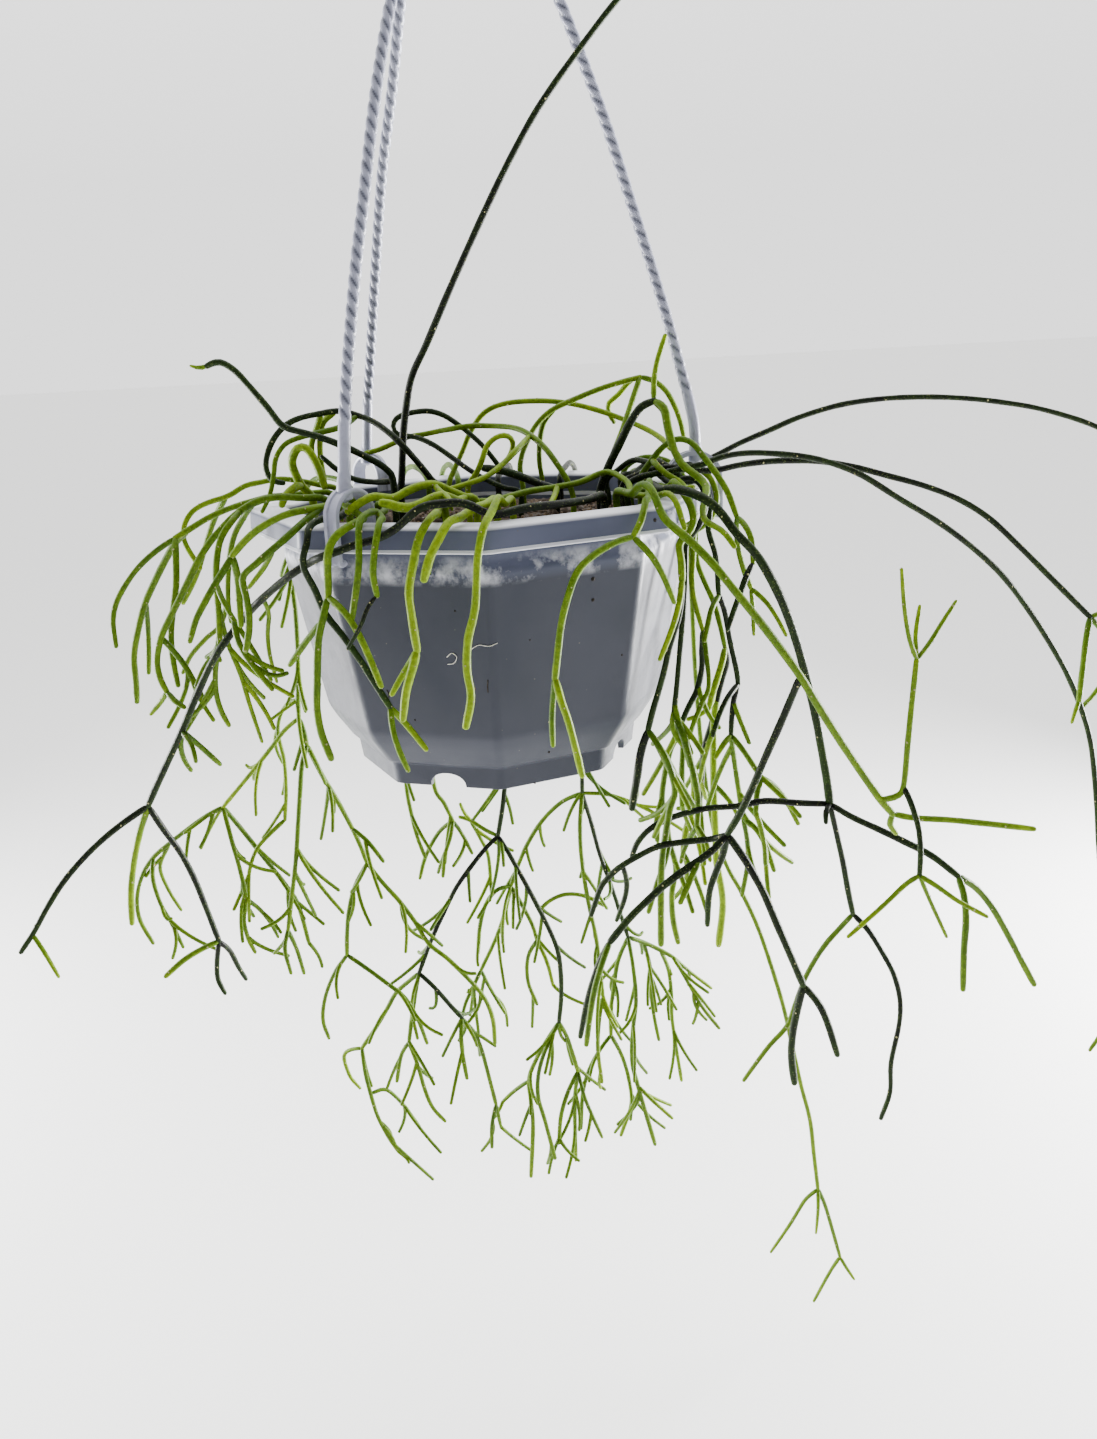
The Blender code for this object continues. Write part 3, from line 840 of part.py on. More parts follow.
def near_pairs(places, owner, reach=16.0):
    """Index pairs of points from different sprays that stand within `reach`."""
    size = np.einsum("ij,ij->i", places, places)
    ones, twos = [], []
    for start in range(0, len(places), 500):
        block = places[start : start + 500]
        after = places[start:]
        squared = size[start : start + 500, None] + size[None, start:] - 2 * block @ after.T
        one, two = np.nonzero(squared < reach**2)
        one, two = one + start, two + start
        keep = (one < two) & (owner[one] != owner[two])
        ones.append(one[keep])
        twos.append(two[keep])
    return np.concatenate(ones), np.concatenate(twos)


def near_posts(places, fixed, reach=18.0):
    """Index pairs of a stem's point and a hanger's point within `reach`."""
    squared = ((places**2).sum(axis=1)[:, None] + (fixed**2).sum(axis=1)[None] - 2 * places @ fixed.T)
    return np.nonzero(squared < reach**2)


def set_coarseness(branches):
    """Gives each stem the coarsest line that still passes the others, the pot and the hanger."""
    fixed, fixed_room = hanger_points()
    for _ in range(4):
        lines = [spaced(branch.line[kept_points(branch)], 1.5) for branch in branches]
        places = np.concatenate(lines)
        room = np.concatenate([np.linspace(b.start, b.end, len(l)) / 2 for b, l in zip(branches, lines)])
        number = np.concatenate([np.full(len(line), n) for n, line in enumerate(lines)])
        spray = np.concatenate([np.full(len(line), b.spray) for b, line in zip(branches, lines)])
        one, two = near_pairs(places, spray, 6.5)
        distance = np.linalg.norm(places[one] - places[two], axis=1)
        close = distance < room[one] + room[two] + 0.55
        tight = set(number[one[close]]) | set(number[two[close]])
        outside = places[:, 2] > -RIM_DEPTH + 8
        outside |= np.hypot(places[:, 0], places[:, 1]) > INNER_TOP
        hits = np.linalg.norm(clear_of_pot(places, room + 0.4), axis=1) > 0.01
        tight |= set(number[hits & outside])
        one, post = near_posts(places, fixed, 7.0)
        distance = np.linalg.norm(places[one] - fixed[post], axis=1)
        tight |= set(number[one[distance < room[one] + fixed_room[post] + 0.4]])
        for index in tight:
            branches[index].within *= 0.5


def kept_points(branch):
    """The points of a stem's line that its solid keeps, with the part in its hole left straight."""
    if branch.held < 2:
        return thinned(branch.line, branch.within)
    above = branch.held - 1
    return [0] + [above + index for index in thinned(branch.line[above:], branch.within)]


def thinned(line, within):
    """The fewest points of a line that keep it within this distance."""
    keep = {0, len(line) - 1}
    spans = [(0, len(line) - 1)]
    while spans:
        start, end = spans.pop()
        if end - start < 2:
            continue
        chord = line[end] - line[start]
        length = np.linalg.norm(chord)
        inner = line[start + 1 : end] - line[start]
        if length < 1e-9:
            distance = np.linalg.norm(inner, axis=1)
        else:
            distance = np.linalg.norm(np.cross(inner, chord / length), axis=1)
        worst = int(distance.argmax())
        if distance[worst] > within:
            middle = start + 1 + worst
            keep.add(middle)
            spans += [(start, middle), (middle, end)]
    return sorted(keep)


def tube_mesh(name, line, radii, sides):
    """A closed tube round a line, with flat ends."""
    line = np.asarray(line, float)
    tangents = np.gradient(line, axis=0)
    tangents /= np.linalg.norm(tangents, axis=1)[:, None]
    across = np.cross(tangents[0], (0.31, 0.87, 0.38))
    across /= np.linalg.norm(across)
    points, faces = [], []
    for index, (centre, tangent) in enumerate(zip(line, tangents)):
        across = across - tangent * (across @ tangent)
        across /= np.linalg.norm(across)
        other = np.cross(tangent, across)
        for side in range(sides):
            angle = 2 * math.pi * side / sides
            points.append(centre + radii[index] * (math.cos(angle) * across + math.sin(angle) * other))
    for ring in range(len(line) - 1):
        for side in range(sides):
            after = (side + 1) % sides
            faces.append((ring * sides + side, ring * sides + after,
                          (ring + 1) * sides + after, (ring + 1) * sides + side))
    faces.append(tuple(range(sides - 1, -1, -1)))
    faces.append(tuple(range((len(line) - 1) * sides, len(line) * sides)))
    return new_object(name, points, faces)


def new_object(name, points, faces):
    """An object of the scene from points in millimetres and faces."""
    mesh = bpy.data.meshes.new(name)
    mesh.from_pydata([Vector(point) * MM for point in points], [], faces)
    mesh.update()
    made = bpy.data.objects.new(name, mesh)
    bpy.context.scene.collection.objects.link(made)
    return made


def loft(name, rings):
    """A closed solid through rings of equal length. The first and last ring are filled."""
    count = len(rings[0])
    points = [point for ring in rings for point in ring]
    faces = []
    for ring in range(len(rings) - 1):
        for side in range(count):
            after = (side + 1) % count
            faces.append((ring * count + side, ring * count + after,
                          (ring + 1) * count + after, (ring + 1) * count + side))
    faces.append(tuple(range(count - 1, -1, -1)))
    faces.append(tuple(range((len(rings) - 1) * count, len(rings) * count)))
    return new_object(name, points, faces)


def octagon(radius, height, rounding=0.0, cuts=1):
    """A ring of the pot: an octagon with its corners rounded."""
    ring = []
    for index in range(8):
        corner = math.radians(CORNER_TURN + 45 * index)
        if rounding <= 0:
            ring.append((radius * math.cos(corner), radius * math.sin(corner), height))
            continue
        centre = radius - rounding / FACE
        for cut in range(cuts + 1):
            angle = corner + math.radians(45.0 * (cut / cuts - 0.5))
            ring.append((centre * math.cos(corner) + rounding * math.cos(angle),
                         centre * math.sin(corner) + rounding * math.sin(angle), height))
    return ring


def boolean(target, others, operation, solver="MANIFOLD"):
    """Adds or cuts the other objects, applies it, and removes them."""
    group = bpy.data.collections.new(target.name + "_tools")
    bpy.context.scene.collection.children.link(group)
    for other in others:
        bpy.context.scene.collection.objects.unlink(other)
        group.objects.link(other)
    modifier = target.modifiers.new("shape", "BOOLEAN")
    modifier.operation = operation
    modifier.solver = solver
    modifier.operand_type = "COLLECTION"
    modifier.collection = group
    bpy.context.view_layer.update()
    evaluated = target.evaluated_get(bpy.context.evaluated_depsgraph_get())
    mesh = bpy.data.meshes.new_from_object(evaluated)
    target.modifiers.remove(modifier)
    old, target.data = target.data, mesh
    bpy.data.meshes.remove(old)
    for other in list(others):
        bpy.data.objects.remove(other)
    bpy.data.collections.remove(group)


def material(name, colour, roughness):
    """A plain material with its own principled shader."""
    made = bpy.data.materials.new(name)
    made.use_nodes = True
    shader = made.node_tree.nodes["Principled BSDF"]
    shader.inputs["Base Color"].default_value = (*colour, 1.0)
    shader.inputs["Roughness"].default_value = roughness
    made.diffuse_color = (*colour, 1.0)
    return made


def dressed(target, finish):
    """The object with this material alone."""
    target.data.materials.clear()
    target.data.materials.append(finish)
    return target


def make_pot():
    """The pot: rim with a hanging skirt and lip, panelled body, chamfer, and a foot with four notches."""
    soft, cuts = 7.0, 1
    outline = (
        (FOOT_RADIUS - 3.0, FOOT_Z), (FOOT_RADIUS, FOOT_Z), (FOOT_TOP_RADIUS, FOOT_TOP_Z),
        (FOOT_TOP_RADIUS + 2.6, FOOT_TOP_Z + 1.2), (PANEL_END_RADIUS - 3.4, PANEL_END_Z - 6.0),
        (PANEL_END_RADIUS, PANEL_END_Z), (SHOULDER_RADIUS, SHOULDER_Z), (LEDGE_RADIUS, LEDGE_Z),
        (NECK_RADIUS, NECK_Z), (NECK_RADIUS, -3.0),
        (RIM_RADIUS - 2.2, -3.0), (RIM_RADIUS - 2.2, -RIM_DEPTH), (LIP_RADIUS - 0.6, -RIM_DEPTH),
        (LIP_RADIUS, -RIM_DEPTH + 0.6), (LIP_RADIUS - 0.7, -RIM_DEPTH + 1.6),
        (RIM_RADIUS, -RIM_DEPTH + 2.2), (RIM_RADIUS - 0.6, -1.6), (RIM_RADIUS - 2.0, 0.0),
        (INNER_TOP + 1.4, 0.0), (INNER_TOP, -1.4), (SHOULDER_RADIUS - 3.4, SHOULDER_Z),
        (PANEL_END_RADIUS - 2.6, PANEL_END_Z), (FOOT_TOP_RADIUS - 1.0, FLOOR_Z),
    )
    pot = loft("pot", [octagon(radius, height, soft, cuts) for radius, height in outline])
    hollow = loft("foot_hollow", [octagon(FOOT_RADIUS - 3.0, FOOT_Z - 4.0, 6.0, 2),
                                  octagon(FOOT_RADIUS - 3.4, FOOT_TOP_Z + 0.6, 6.0, 2)])
    tools = [hollow]
    for index in range(4):
        turn = math.radians(CORNER_TURN - 22.5 + 90 * index)
        tools.append(notch(turn))
    boolean(pot, tools, "DIFFERENCE")
    return dressed(pot, material("moulded_pot", (0.72, 0.73, 0.80), 0.42))


def notch(turn):
    """A cutter for one arched notch in the foot."""
    reach = FOOT_RADIUS * FACE
    out = np.array([math.cos(turn), math.sin(turn), 0.0])
    side = np.array([-out[1], out[0], 0.0])
    section = [(-9.0, -4.0), (9.0, -4.0), (9.0, 0.0), (7.6, 3.0), (4.6, 5.6), (0.0, 6.8), (-4.6, 5.6),
               (-7.6, 3.0), (-9.0, 0.0)]
    rings = []
    for depth in (reach - 9.0, reach + 5.0):
        rings.append([out * depth + side * across + np.array([0, 0, FOOT_Z + rise])
                      for across, rise in section])
    return loft("notch", rings)


def make_soil(sprays):
    """The soil, low and slightly heaped, with a plain hole for each stem that stands in it."""
    top = [octagon(fraction * (SHOULDER_RADIUS - 3.9), height, 6.0, 1)
           for fraction, height in ((1.0, SOIL_EDGE_Z), (0.72, -12.2), (0.3, SOIL_CENTRE_Z))]
    low = [octagon(FOOT_TOP_RADIUS - 4.0, FLOOR_Z + 1.0, 6.0, 1),
           octagon(PANEL_END_RADIUS - 4.6, PANEL_END_Z + 1.0, 6.0, 1),
           octagon(SHOULDER_RADIUS - 4.4, SHOULDER_Z, 6.0, 1)]
    soil = loft("soil", low + top)
    holes = []
    for spray in sprays.values():
        stem = spray[0]
        base = stem.line[0]
        radius = (stem.start / 2 + 0.35) / math.cos(math.pi / 5)
        line = [(base[0], base[1], base[2] - 0.6), (base[0], base[1], 12.0)]
        holes.append(tube_mesh("hole", line, (radius, radius), 5))
    boolean(soil, holes, "DIFFERENCE")
    return dressed(soil, material("potting_soil", (0.06, 0.045, 0.035), 0.95))


def strip_mesh(name, line, side, width, band):
    """A flat strip bent along a line in a plane, `width` wide across the plane."""
    line = np.asarray(line, float)
    tangents = np.gradient(line, axis=0)
    tangents /= np.linalg.norm(tangents, axis=1)[:, None]
    rings = []
    for centre, tangent in zip(line, tangents):
        out = np.cross(side, tangent)
        rings.append([centre + side * width / 2 + out * band / 2, centre + side * width / 2 - out * band / 2,
                      centre - side * width / 2 - out * band / 2, centre - side * width / 2 + out * band / 2])
    return loft(name, rings)


def make_arms(finish):
    """The three arms, each with the clip that holds the rim."""
    for name, (turn, line) in ARMS.items():
        angle = math.radians(turn)
        side = np.array([math.cos(angle), math.sin(angle), 0.0])
        path = smooth_line([turned(turn, out, height) for out, height in line], 3.0)
        keep = thinned(path, 0.25)
        path = path[keep]
        rise = (path[:, 2] - path[0, 2]) / (path[-1, 2] - path[0, 2])
        radii = ARM_WIDTH / 2 * np.clip(0.72 + 6.0 * np.minimum(rise, 1 - rise), 0.72, 1.0)
        arm = tube_mesh(name, path, radii, 6)
        clip = strip_mesh("clip", clip_points(turn), side, CLIP_WIDTH, CLIP_BAND)
        base = path[0] - np.array([0, 0, 2.0])
        boss = tube_mesh("boss", [base - np.array([0, 0, 0.6]), base + np.array([0, 0, 5.5])], (3.4, 2.2), 6)
        boolean(arm, [clip, boss], "UNION")
        dressed(arm, finish)


def make_hub(finish):
    """The hub that the arms end in, with the hook above it."""
    rings = []
    for radius, height in ((6.5, 0.0), (HUB_RADIUS, 3.0), (HUB_RADIUS, HUB_HEIGHT - 3.0),
                           (5.0, HUB_HEIGHT)):
        rings.append([(radius * math.cos(2 * math.pi * step / 12), radius * math.sin(2 * math.pi * step / 12),
                       HUB_Z + height) for step in range(12)])
    hub = loft("hanger_hub", rings)
    centre = RIM_TO_HOOK - HOOK_RADIUS + HOOK_WIDTH / 2
    low = centre - HOOK_RADIUS
    line = [(0, 0, HUB_Z + HUB_HEIGHT - 3), (0, 0, low - 14.0), (1.2, 0, low - 8.4), (4.4, 0, low - 3.2),
            (8.4, 0, low + 1.4)]
    for step in range(11):
        angle = math.radians(-38 + 24.0 * step)
        line.append((HOOK_RADIUS * math.cos(angle), 0, centre + HOOK_RADIUS * math.sin(angle)))
    hook = tube_mesh("hook", line, [HOOK_WIDTH / 2] * len(line), 8)
    boolean(hub, [hook], "UNION")
    sockets = []
    for turn, arm in ARMS.values():
        path = smooth_line([turned(turn, out, height) for out, height in arm], 3.0)
        path = path[thinned(path, 0.25)]
        start, end = path[-3], path[-1]
        along = (end - start) / np.linalg.norm(end - start)
        sockets.append(tube_mesh("socket", [start - along * 2, start, end + along * 0.5],
                                 [ARM_WIDTH * 0.36 + 0.95] * 3, 6))
    boolean(hub, sockets, "DIFFERENCE")
    return dressed(hub, finish)


def make_spray(name, branches, finishes):
    """One spray: its stems as tubes, joined where they grow from each other."""
    tubes = []
    for index, branch in enumerate(branches):
        keep = kept_points(branch)
        line = branch.line[keep]
        radii = branch.widths()[keep] / 2
        first = line[0] - line[1]
        last = line[-1] - line[-2]
        if branch.parent is not None:
            line[0] = line[0] + first / np.linalg.norm(first) * 0.7
        line[-1] = line[-1] + last / np.linalg.norm(last) * 0.5
        sides = 3 + (branch.start > 3.0) + (branch.start > 4.6)
        tubes.append(tube_mesh(f"{name}_{index}", line, radii, sides))
    whole = tubes[0]
    whole.name = name
    if len(tubes) > 1:
        boolean(whole, tubes[1:], "UNION")
    return dressed(whole, finishes[branches[0].tone])


def main():
    """Builds every piece and moves it under the hook."""
    for item in list(bpy.data.objects):
        bpy.data.objects.remove(item)
    bpy.context.scene.unit_settings.system = "METRIC"
    bpy.context.scene.unit_settings.scale_length = 1.0
    roots = standing_points()
    sprays = {name: traced(spray, roots[name]) for name, spray in SPRAYS.items()}
    for number, branches in enumerate(sprays.values()):
        for branch in branches:
            branch.spray = number
    bend_clear(sprays)
    set_coarseness([branch for branches in sprays.values() for branch in branches])
    make_pot()
    make_soil(sprays)
    hanger = material("moulded_hanger", (0.80, 0.80, 0.85), 0.35)
    make_arms(hanger)
    make_hub(hanger)
    finishes = {
        YOUNG: material("young_stem", (0.42, 0.58, 0.06), 0.45),
        GREEN: material("green_stem", (0.25, 0.38, 0.05), 0.45),
        MATURE: material("mature_stem", (0.10, 0.20, 0.03), 0.5),
        OLD: material("old_stem", (0.03, 0.05, 0.015), 0.6),
    }
    for name, branches in sprays.items():
        make_spray(name, branches, finishes)
    for item in bpy.context.scene.collection.objects:
        item.location.z = -RIM_TO_HOOK * MM


main()
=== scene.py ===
"""The looks of a potted rhipsalis in a hanging pot.

A moulded octagonal pot, its soil, a three-armed hanger with a rope pattern, and the trailing stems
of the plant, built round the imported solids. Everything is in metres in the frame of the solids, with
the origin at the inside top of the hook's bend. Sizes are named in millimetres from the top of the
rim, and MM and HOOK_DROP take them into that frame.
"""

from __future__ import annotations

import json
import logging
import math
from dataclasses import dataclass, field
from enum import Enum
from typing import Any

import bpy
import numpy as np
from mathutils import Matrix, Vector

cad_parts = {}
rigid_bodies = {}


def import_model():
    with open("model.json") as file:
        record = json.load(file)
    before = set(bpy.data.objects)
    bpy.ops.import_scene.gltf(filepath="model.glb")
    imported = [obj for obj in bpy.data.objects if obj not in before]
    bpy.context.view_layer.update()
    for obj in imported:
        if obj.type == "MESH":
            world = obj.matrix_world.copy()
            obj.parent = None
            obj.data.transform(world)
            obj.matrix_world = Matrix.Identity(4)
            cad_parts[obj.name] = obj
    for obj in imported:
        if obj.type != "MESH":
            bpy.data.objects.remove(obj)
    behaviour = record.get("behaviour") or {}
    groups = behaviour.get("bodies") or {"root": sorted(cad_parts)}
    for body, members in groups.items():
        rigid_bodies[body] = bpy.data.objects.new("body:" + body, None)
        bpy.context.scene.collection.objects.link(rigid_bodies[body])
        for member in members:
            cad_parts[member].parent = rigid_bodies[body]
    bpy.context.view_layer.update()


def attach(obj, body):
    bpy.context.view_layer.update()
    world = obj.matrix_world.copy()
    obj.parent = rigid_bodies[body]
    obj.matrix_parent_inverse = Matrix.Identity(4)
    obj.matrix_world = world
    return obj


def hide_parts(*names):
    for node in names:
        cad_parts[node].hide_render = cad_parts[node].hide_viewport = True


LOG = logging.getLogger("potted_rhipsalis")
MM = 0.001
RIM_TO_HOOK = 355.0
HOOK_DROP = np.array([0.0, 0.0, -RIM_TO_HOOK])
BODY = "root"
CORNERS = 8
OCTANT = 45.0
CURVE_PARTS = 12


class Tone(Enum):
    """How old a stem is: the slot of its skin, and its age from 0 to 1."""

    YOUNG = ("young_stem", 0.08)
    GREEN = ("green_stem", 0.22)
    MATURE = ("mature_stem", 0.36)
    OLD = ("old_stem", 0.93)

    @property
    def slot(self) -> str:
        """Gives the slot of the skin."""
        return self.value[0]

    @property
    def age(self) -> float:
        """Gives the age that colours the skin."""
        return self.value[1]


YOUNG, GREEN, MATURE, OLD = Tone
StemPoint = tuple[float, float, float]
StemRoute = tuple[Any, ...]

# Every stem is traced as it hangs, seen from the front. Each point is (x, y, depth): x and y in the
# picture plane of SightLine, and depth in millimetres in front of the pot's axis, or behind it with a
# minus. A stem that begins on a point of an earlier one in its spray grows out of it there. A first
# stem begins above its own hole in the soil. The two widths are in millimetres, at its start and end.

SPRAYS: dict[str, tuple[StemRoute, ...]] = {
    "stems_left_long": (
        (OLD, 4.4, 4.0, (604, 496, 40), (586, 500, 62), (552, 505, 82), (505, 509, 95), (470, 513, 102),
         (430, 518, 104), (400, 526, 104), (365, 537, 102), (330, 552, 98), (300, 568, 88), (262, 599, 71),
         (240, 623, 60), (215, 657, 54), (196, 697, 48), (181, 733, 44), (158, 783, 38), (148, 806, 36)),
        (OLD, 3.9, 3.4, (148, 806, 36), (122, 824, 40), (100, 842, 44), (80, 862, 46), (62, 884, 48),
         (47, 908, 50), (34, 932, 51), (21, 952, 52)),
        (GREEN, 1.9, 1.6, (34, 932, 51), (46, 950, 54), (60, 974, 56)),
        (GREEN, 4.2, 3.9, (148, 806, 36), (140, 832, 32), (134, 862, 30), (131, 892, 30), (132, 923, 31)),
        (OLD, 4.0, 3.6, (148, 806, 36), (164, 830, 32), (180, 852, 28), (194, 878, 26), (205, 905, 24),
         (219, 941, 22)),
        (GREEN, 2.8, 2.6, (219, 941, 22), (202, 949, 26), (184, 960, 30), (166, 976, 34)),
        (OLD, 3.6, 3.0, (219, 941, 22), (217, 962, 20), (218, 979, 20), (225, 993, 21)),
        (OLD, 3.4, 3.0, (219, 941, 22), (230, 951, 16), (238, 966, 12), (246, 979, 10)),
        (MATURE, 2.6, 2.2, (181, 733, 44), (180, 750, 40), (184, 763, 37), (190, 772, 36)),
        (MATURE, 2.4, 2.0, (181, 733, 44), (191, 748, 52), (195, 763, 54)),
        (MATURE, 2.6, 2.2, (181, 733, 44), (199, 748, 38), (219, 766, 34)),
        (GREEN, 1.8, 1.4, (262, 599, 71), (268, 614, 62), (267, 634, 56), (269, 655, 54), (276, 682, 52)),
    ),
    "stems_tall": (
        (OLD, 4.6, 3.2, (401, 496, 6), (402, 470, 6), (403, 440, 7), (406, 408, 9), (412, 376, 13),
         (426, 345, 18), (445, 300, 24), (467, 250, 28), (490, 200, 31), (512, 155, 33), (540, 105, 35),
         (580, 48, 36), (617, 0, 36), (648, -32, 36), (684, -56, 35), (722, -66, 34)),
    ),
    "stems_top_left": (
        (OLD, 4.0, 3.6, (393, 480, 22), (385, 468, 24), (370, 459, 26), (350, 449, 32), (325, 439, 35),
         (305, 433, 36), (283, 426, 36), (268, 408, 36), (250, 387, 35), (234, 370, 34), (219, 362, 33),
         (207, 366, 32)),
        (GREEN, 2.4, 1.2, (207, 366, 32), (200, 368, 32), (191, 366, 32)),
        (OLD, 3.6, 3.0, (393, 480, 22), (374, 481, 14), (354, 478, 10), (336, 468, 8), (322, 456, 7)),
    ),
    "stems_loop_left": (
        (OLD, 3.8, 3.4, (440, 489, 12), (432, 480, 14), (420, 465, 18), (404, 447, 22), (388, 432, 18),
         (372, 421, 12), (356, 415, 8), (338, 411, 8), (318, 414, 10), (300, 418, 12), (286, 425, 14),
         (275, 437, 16), (268, 452, 18), (266, 468, 20), (272, 480, 21), (283, 483, 22)),
        (MATURE, 3.6, 2.6, (356, 415, 8), (340, 426, 14), (318, 432, 18), (298, 437, 21), (283, 444, 23),
         (274, 458, 25), (272, 474, 28), (268, 494, 32), (262, 514, 35)),
        (YOUNG, 3.6, 3.4, (338, 411, 8), (325, 423, 4), (322, 442, 3), (323, 462, 4), (327, 484, 6)),
        (YOUNG, 3.6, 3.4, (318, 414, 10), (313, 430, 6), (308, 447, 4), (312, 465, 4), (319, 482, 6)),
    ),
    "stems_young_left": (
        (YOUNG, 5.2, 4.6, (312, 497, 2), (303, 488, 4), (296, 475, 6), (292, 462, 9), (297, 449, 12),
         (306, 448, 14), (314, 459, 16), (320, 472, 17), (324, 486, 18)),
        (YOUNG, 5.0, 4.6, (303, 488, 4), (296, 490, 12), (288, 499, 18), (284, 512, 22)),
    ),
    "stems_left_back": (
        (MATURE, 3.8, 3.6, (332, 494, -14), (312, 493, -10), (292, 495, -6), (270, 497, -2), (250, 502, 3),
         (228, 509, 8), (208, 518, 10), (190, 529, 12), (175, 538, 14)),
        (MATURE, 3.4, 3.2, (175, 538, 14), (155, 552, 14), (138, 568, 14), (125, 586, 14), (116, 604, 14),
         (113, 622, 15), (116, 646, 16)),
        (MATURE, 4.0, 3.6, (175, 538, 14), (176, 560, 20), (176, 585, 23), (173, 610, 24), (171, 635, 24),
         (173, 660, 24), (178, 685, 24)),
        (MATURE, 4.2, 4.0, (190, 529, 12), (178, 541, 6), (168, 558, 2), (157, 580, -1), (147, 603, -3),
         (140, 630, -4), (136, 655, -5), (138, 680, -5), (139, 700, -5)),
        (MATURE, 2.9, 2.7, (147, 603, -3), (149, 625, -10), (150, 650, -12), (150, 673, -13)),
    ),
    "stems_left_middle": (
        (MATURE, 4.0, 3.8, (326, 500, 24), (302, 498, 30), (278, 498, 33), (256, 503, 35), (238, 513, 37),
         (222, 528, 38), (208, 545, 38), (196, 565, 38), (181, 596, 36), (169, 620, 34), (161, 638, 33),
         (157, 660, 32), (160, 678, 32), (167, 692, 32)),
        (MATURE, 3.0, 2.8, (161, 638, 33), (176, 655, 29), (188, 672, 27), (205, 704, 26)),
        (MATURE, 2.6, 2.4, (167, 692, 32), (175, 701, 36), (184, 707, 38)),
        (GREEN, 2.2, 1.8, (167, 692, 32), (160, 703, 27), (151, 714, 25)),
        (MATURE, 3.8, 3.6, (238, 513, 37), (227, 526, 45), (218, 541, 48), (214, 560, 50), (213, 582, 51),
         (215, 605, 51), (217, 645, 51)),
        (MATURE, 3.0, 2.6, (217, 645, 51), (207, 665, 43), (198, 683, 41), (190, 705, 40), (187, 722, 40)),
        (MATURE, 3.0, 2.6, (217, 645, 51), (213, 668, 46), (213, 692, 44), (218, 712, 43), (226, 727, 42)),
        (MATURE, 3.4, 2.6, (213, 582, 51), (219, 598, 58), (230, 618, 61), (243, 638, 63), (268, 679, 64)),
        (MATURE, 3.2, 2.8, (230, 618, 61), (234, 638, 68), (243, 655, 72), (255, 671, 74), (268, 687, 75)),
        (GREEN, 2.2, 1.6, (215, 605, 51), (224, 640, 44), (238, 675, 41), (247, 705, 40), (259, 741, 38)),
        (MATURE, 3.6, 3.0, (256, 503, 35), (244, 515, 28), (234, 532, 24), (229, 552, 22), (227, 575, 20),
         (227, 600, 19), (230, 620, 18)),
        (GREEN, 2.2, 1.8, (227, 600, 19), (219, 625, 14), (205, 638, 11), (190, 655, 8), (182, 672, 6)),
    ),
    "stems_left_front": (
        (GREEN, 4.0, 3.8, (348, 500, 48), (338, 504, 60), (322, 507, 72), (305, 510, 79), (288, 514, 81),
         (272, 521, 81), (256, 531, 79), (243, 543, 77), (232, 556, 76)),
        (MATURE, 3.8, 3.4, (232, 556, 76), (224, 570, 77), (214, 586, 78), (205, 602, 79), (196, 620, 80),
         (190, 641, 81)),
        (MATURE, 4.2, 3.8, (232, 556, 76), (237, 575, 71), (239, 595, 69), (240, 612, 68), (241, 625, 68)),
        (MATURE, 3.8, 3.6, (322, 507, 72), (308, 520, 82), (290, 535, 88), (272, 550, 90), (256, 564, 91),
         (243, 577, 91), (246, 595, 91), (249, 613, 91), (249, 632, 91), (246, 650, 91)),
        (GREEN, 2.2, 1.8, (272, 550, 90), (263, 568, 83), (248, 588, 80)),
    ),
    "stems_left_pale": (
        (GREEN, 3.0, 2.8, (338, 490, -34), (320, 485, -28), (300, 481, -22), (280, 479, -18),
         (262, 482, -15), (245, 486, -13), (228, 496, -11), (207, 503, -10), (192, 512, -9),
         (184, 527, -8), (185, 543, -7), (200, 568, -6)),
        (GREEN, 3.0, 2.8, (228, 496, -11), (219, 512, -17), (212, 530, -21), (206, 550, -24),
         (198, 575, -26), (185, 602, -28)),
    ),
    "stems_front_left": (
        (OLD, 3.8, 3.6, (356, 504, 54), (347, 507, 68), (333, 518, 85), (319, 532, 92), (310, 550, 93),
         (309, 565, 92), (316, 590, 91), (325, 613, 91), (342, 635, 92), (360, 660, 93), (376, 685, 93),
         (390, 707, 93)),
        (GREEN, 3.2, 2.8, (390, 707, 93), (393, 730, 95), (399, 750, 96), (408, 770, 96)),
        (GREEN, 3.0, 2.6, (390, 707, 93), (404, 722, 90), (415, 735, 90), (426, 749, 90)),
    ),
    "stems_front_left_green": (
        (MATURE, 3.8, 4.2, (364, 505, 58), (354, 511, 78), (343, 527, 96), (334, 545, 101), (329, 568, 102),
         (328, 597, 103)),
        (MATURE, 4.0, 4.2, (328, 597, 103), (322, 622, 104), (318, 645, 104), (317, 690, 104),
         (317, 708, 104), (321, 732, 104), (331, 758, 104)),
        (MATURE, 3.2, 2.8, (322, 622, 104), (309, 638, 99), (299, 652, 96), (290, 665, 94)),
        (GREEN, 3.8, 3.4, (328, 597, 103), (345, 613, 109), (358, 633, 111), (370, 659, 112),
         (381, 686, 113)),
    ),
    "stems_front_short": (
        (MATURE, 3.8, 3.6, (376, 506, 58), (368, 511, 80), (361, 525, 100), (360, 545, 106),
         (359, 565, 107), (356, 590, 107), (352, 618, 107)),
        (MATURE, 3.6, 3.4, (368, 511, 80), (374, 519, 96), (370, 533, 106), (365, 553, 110),
         (363, 577, 111), (367, 598, 111)),
        (OLD, 1.5, 1.3, (367, 598, 111), (358, 610, 112), (350, 630, 113), (338, 651, 113)),
    ),
    "stems_front_a": (
        (YOUNG, 4.0, 4.4, (446, 504, 66), (440, 508, 86), (431, 518, 102), (420, 538, 109), (414, 560, 110),
         (409, 590, 111), (411, 612, 111), (417, 650, 111)),
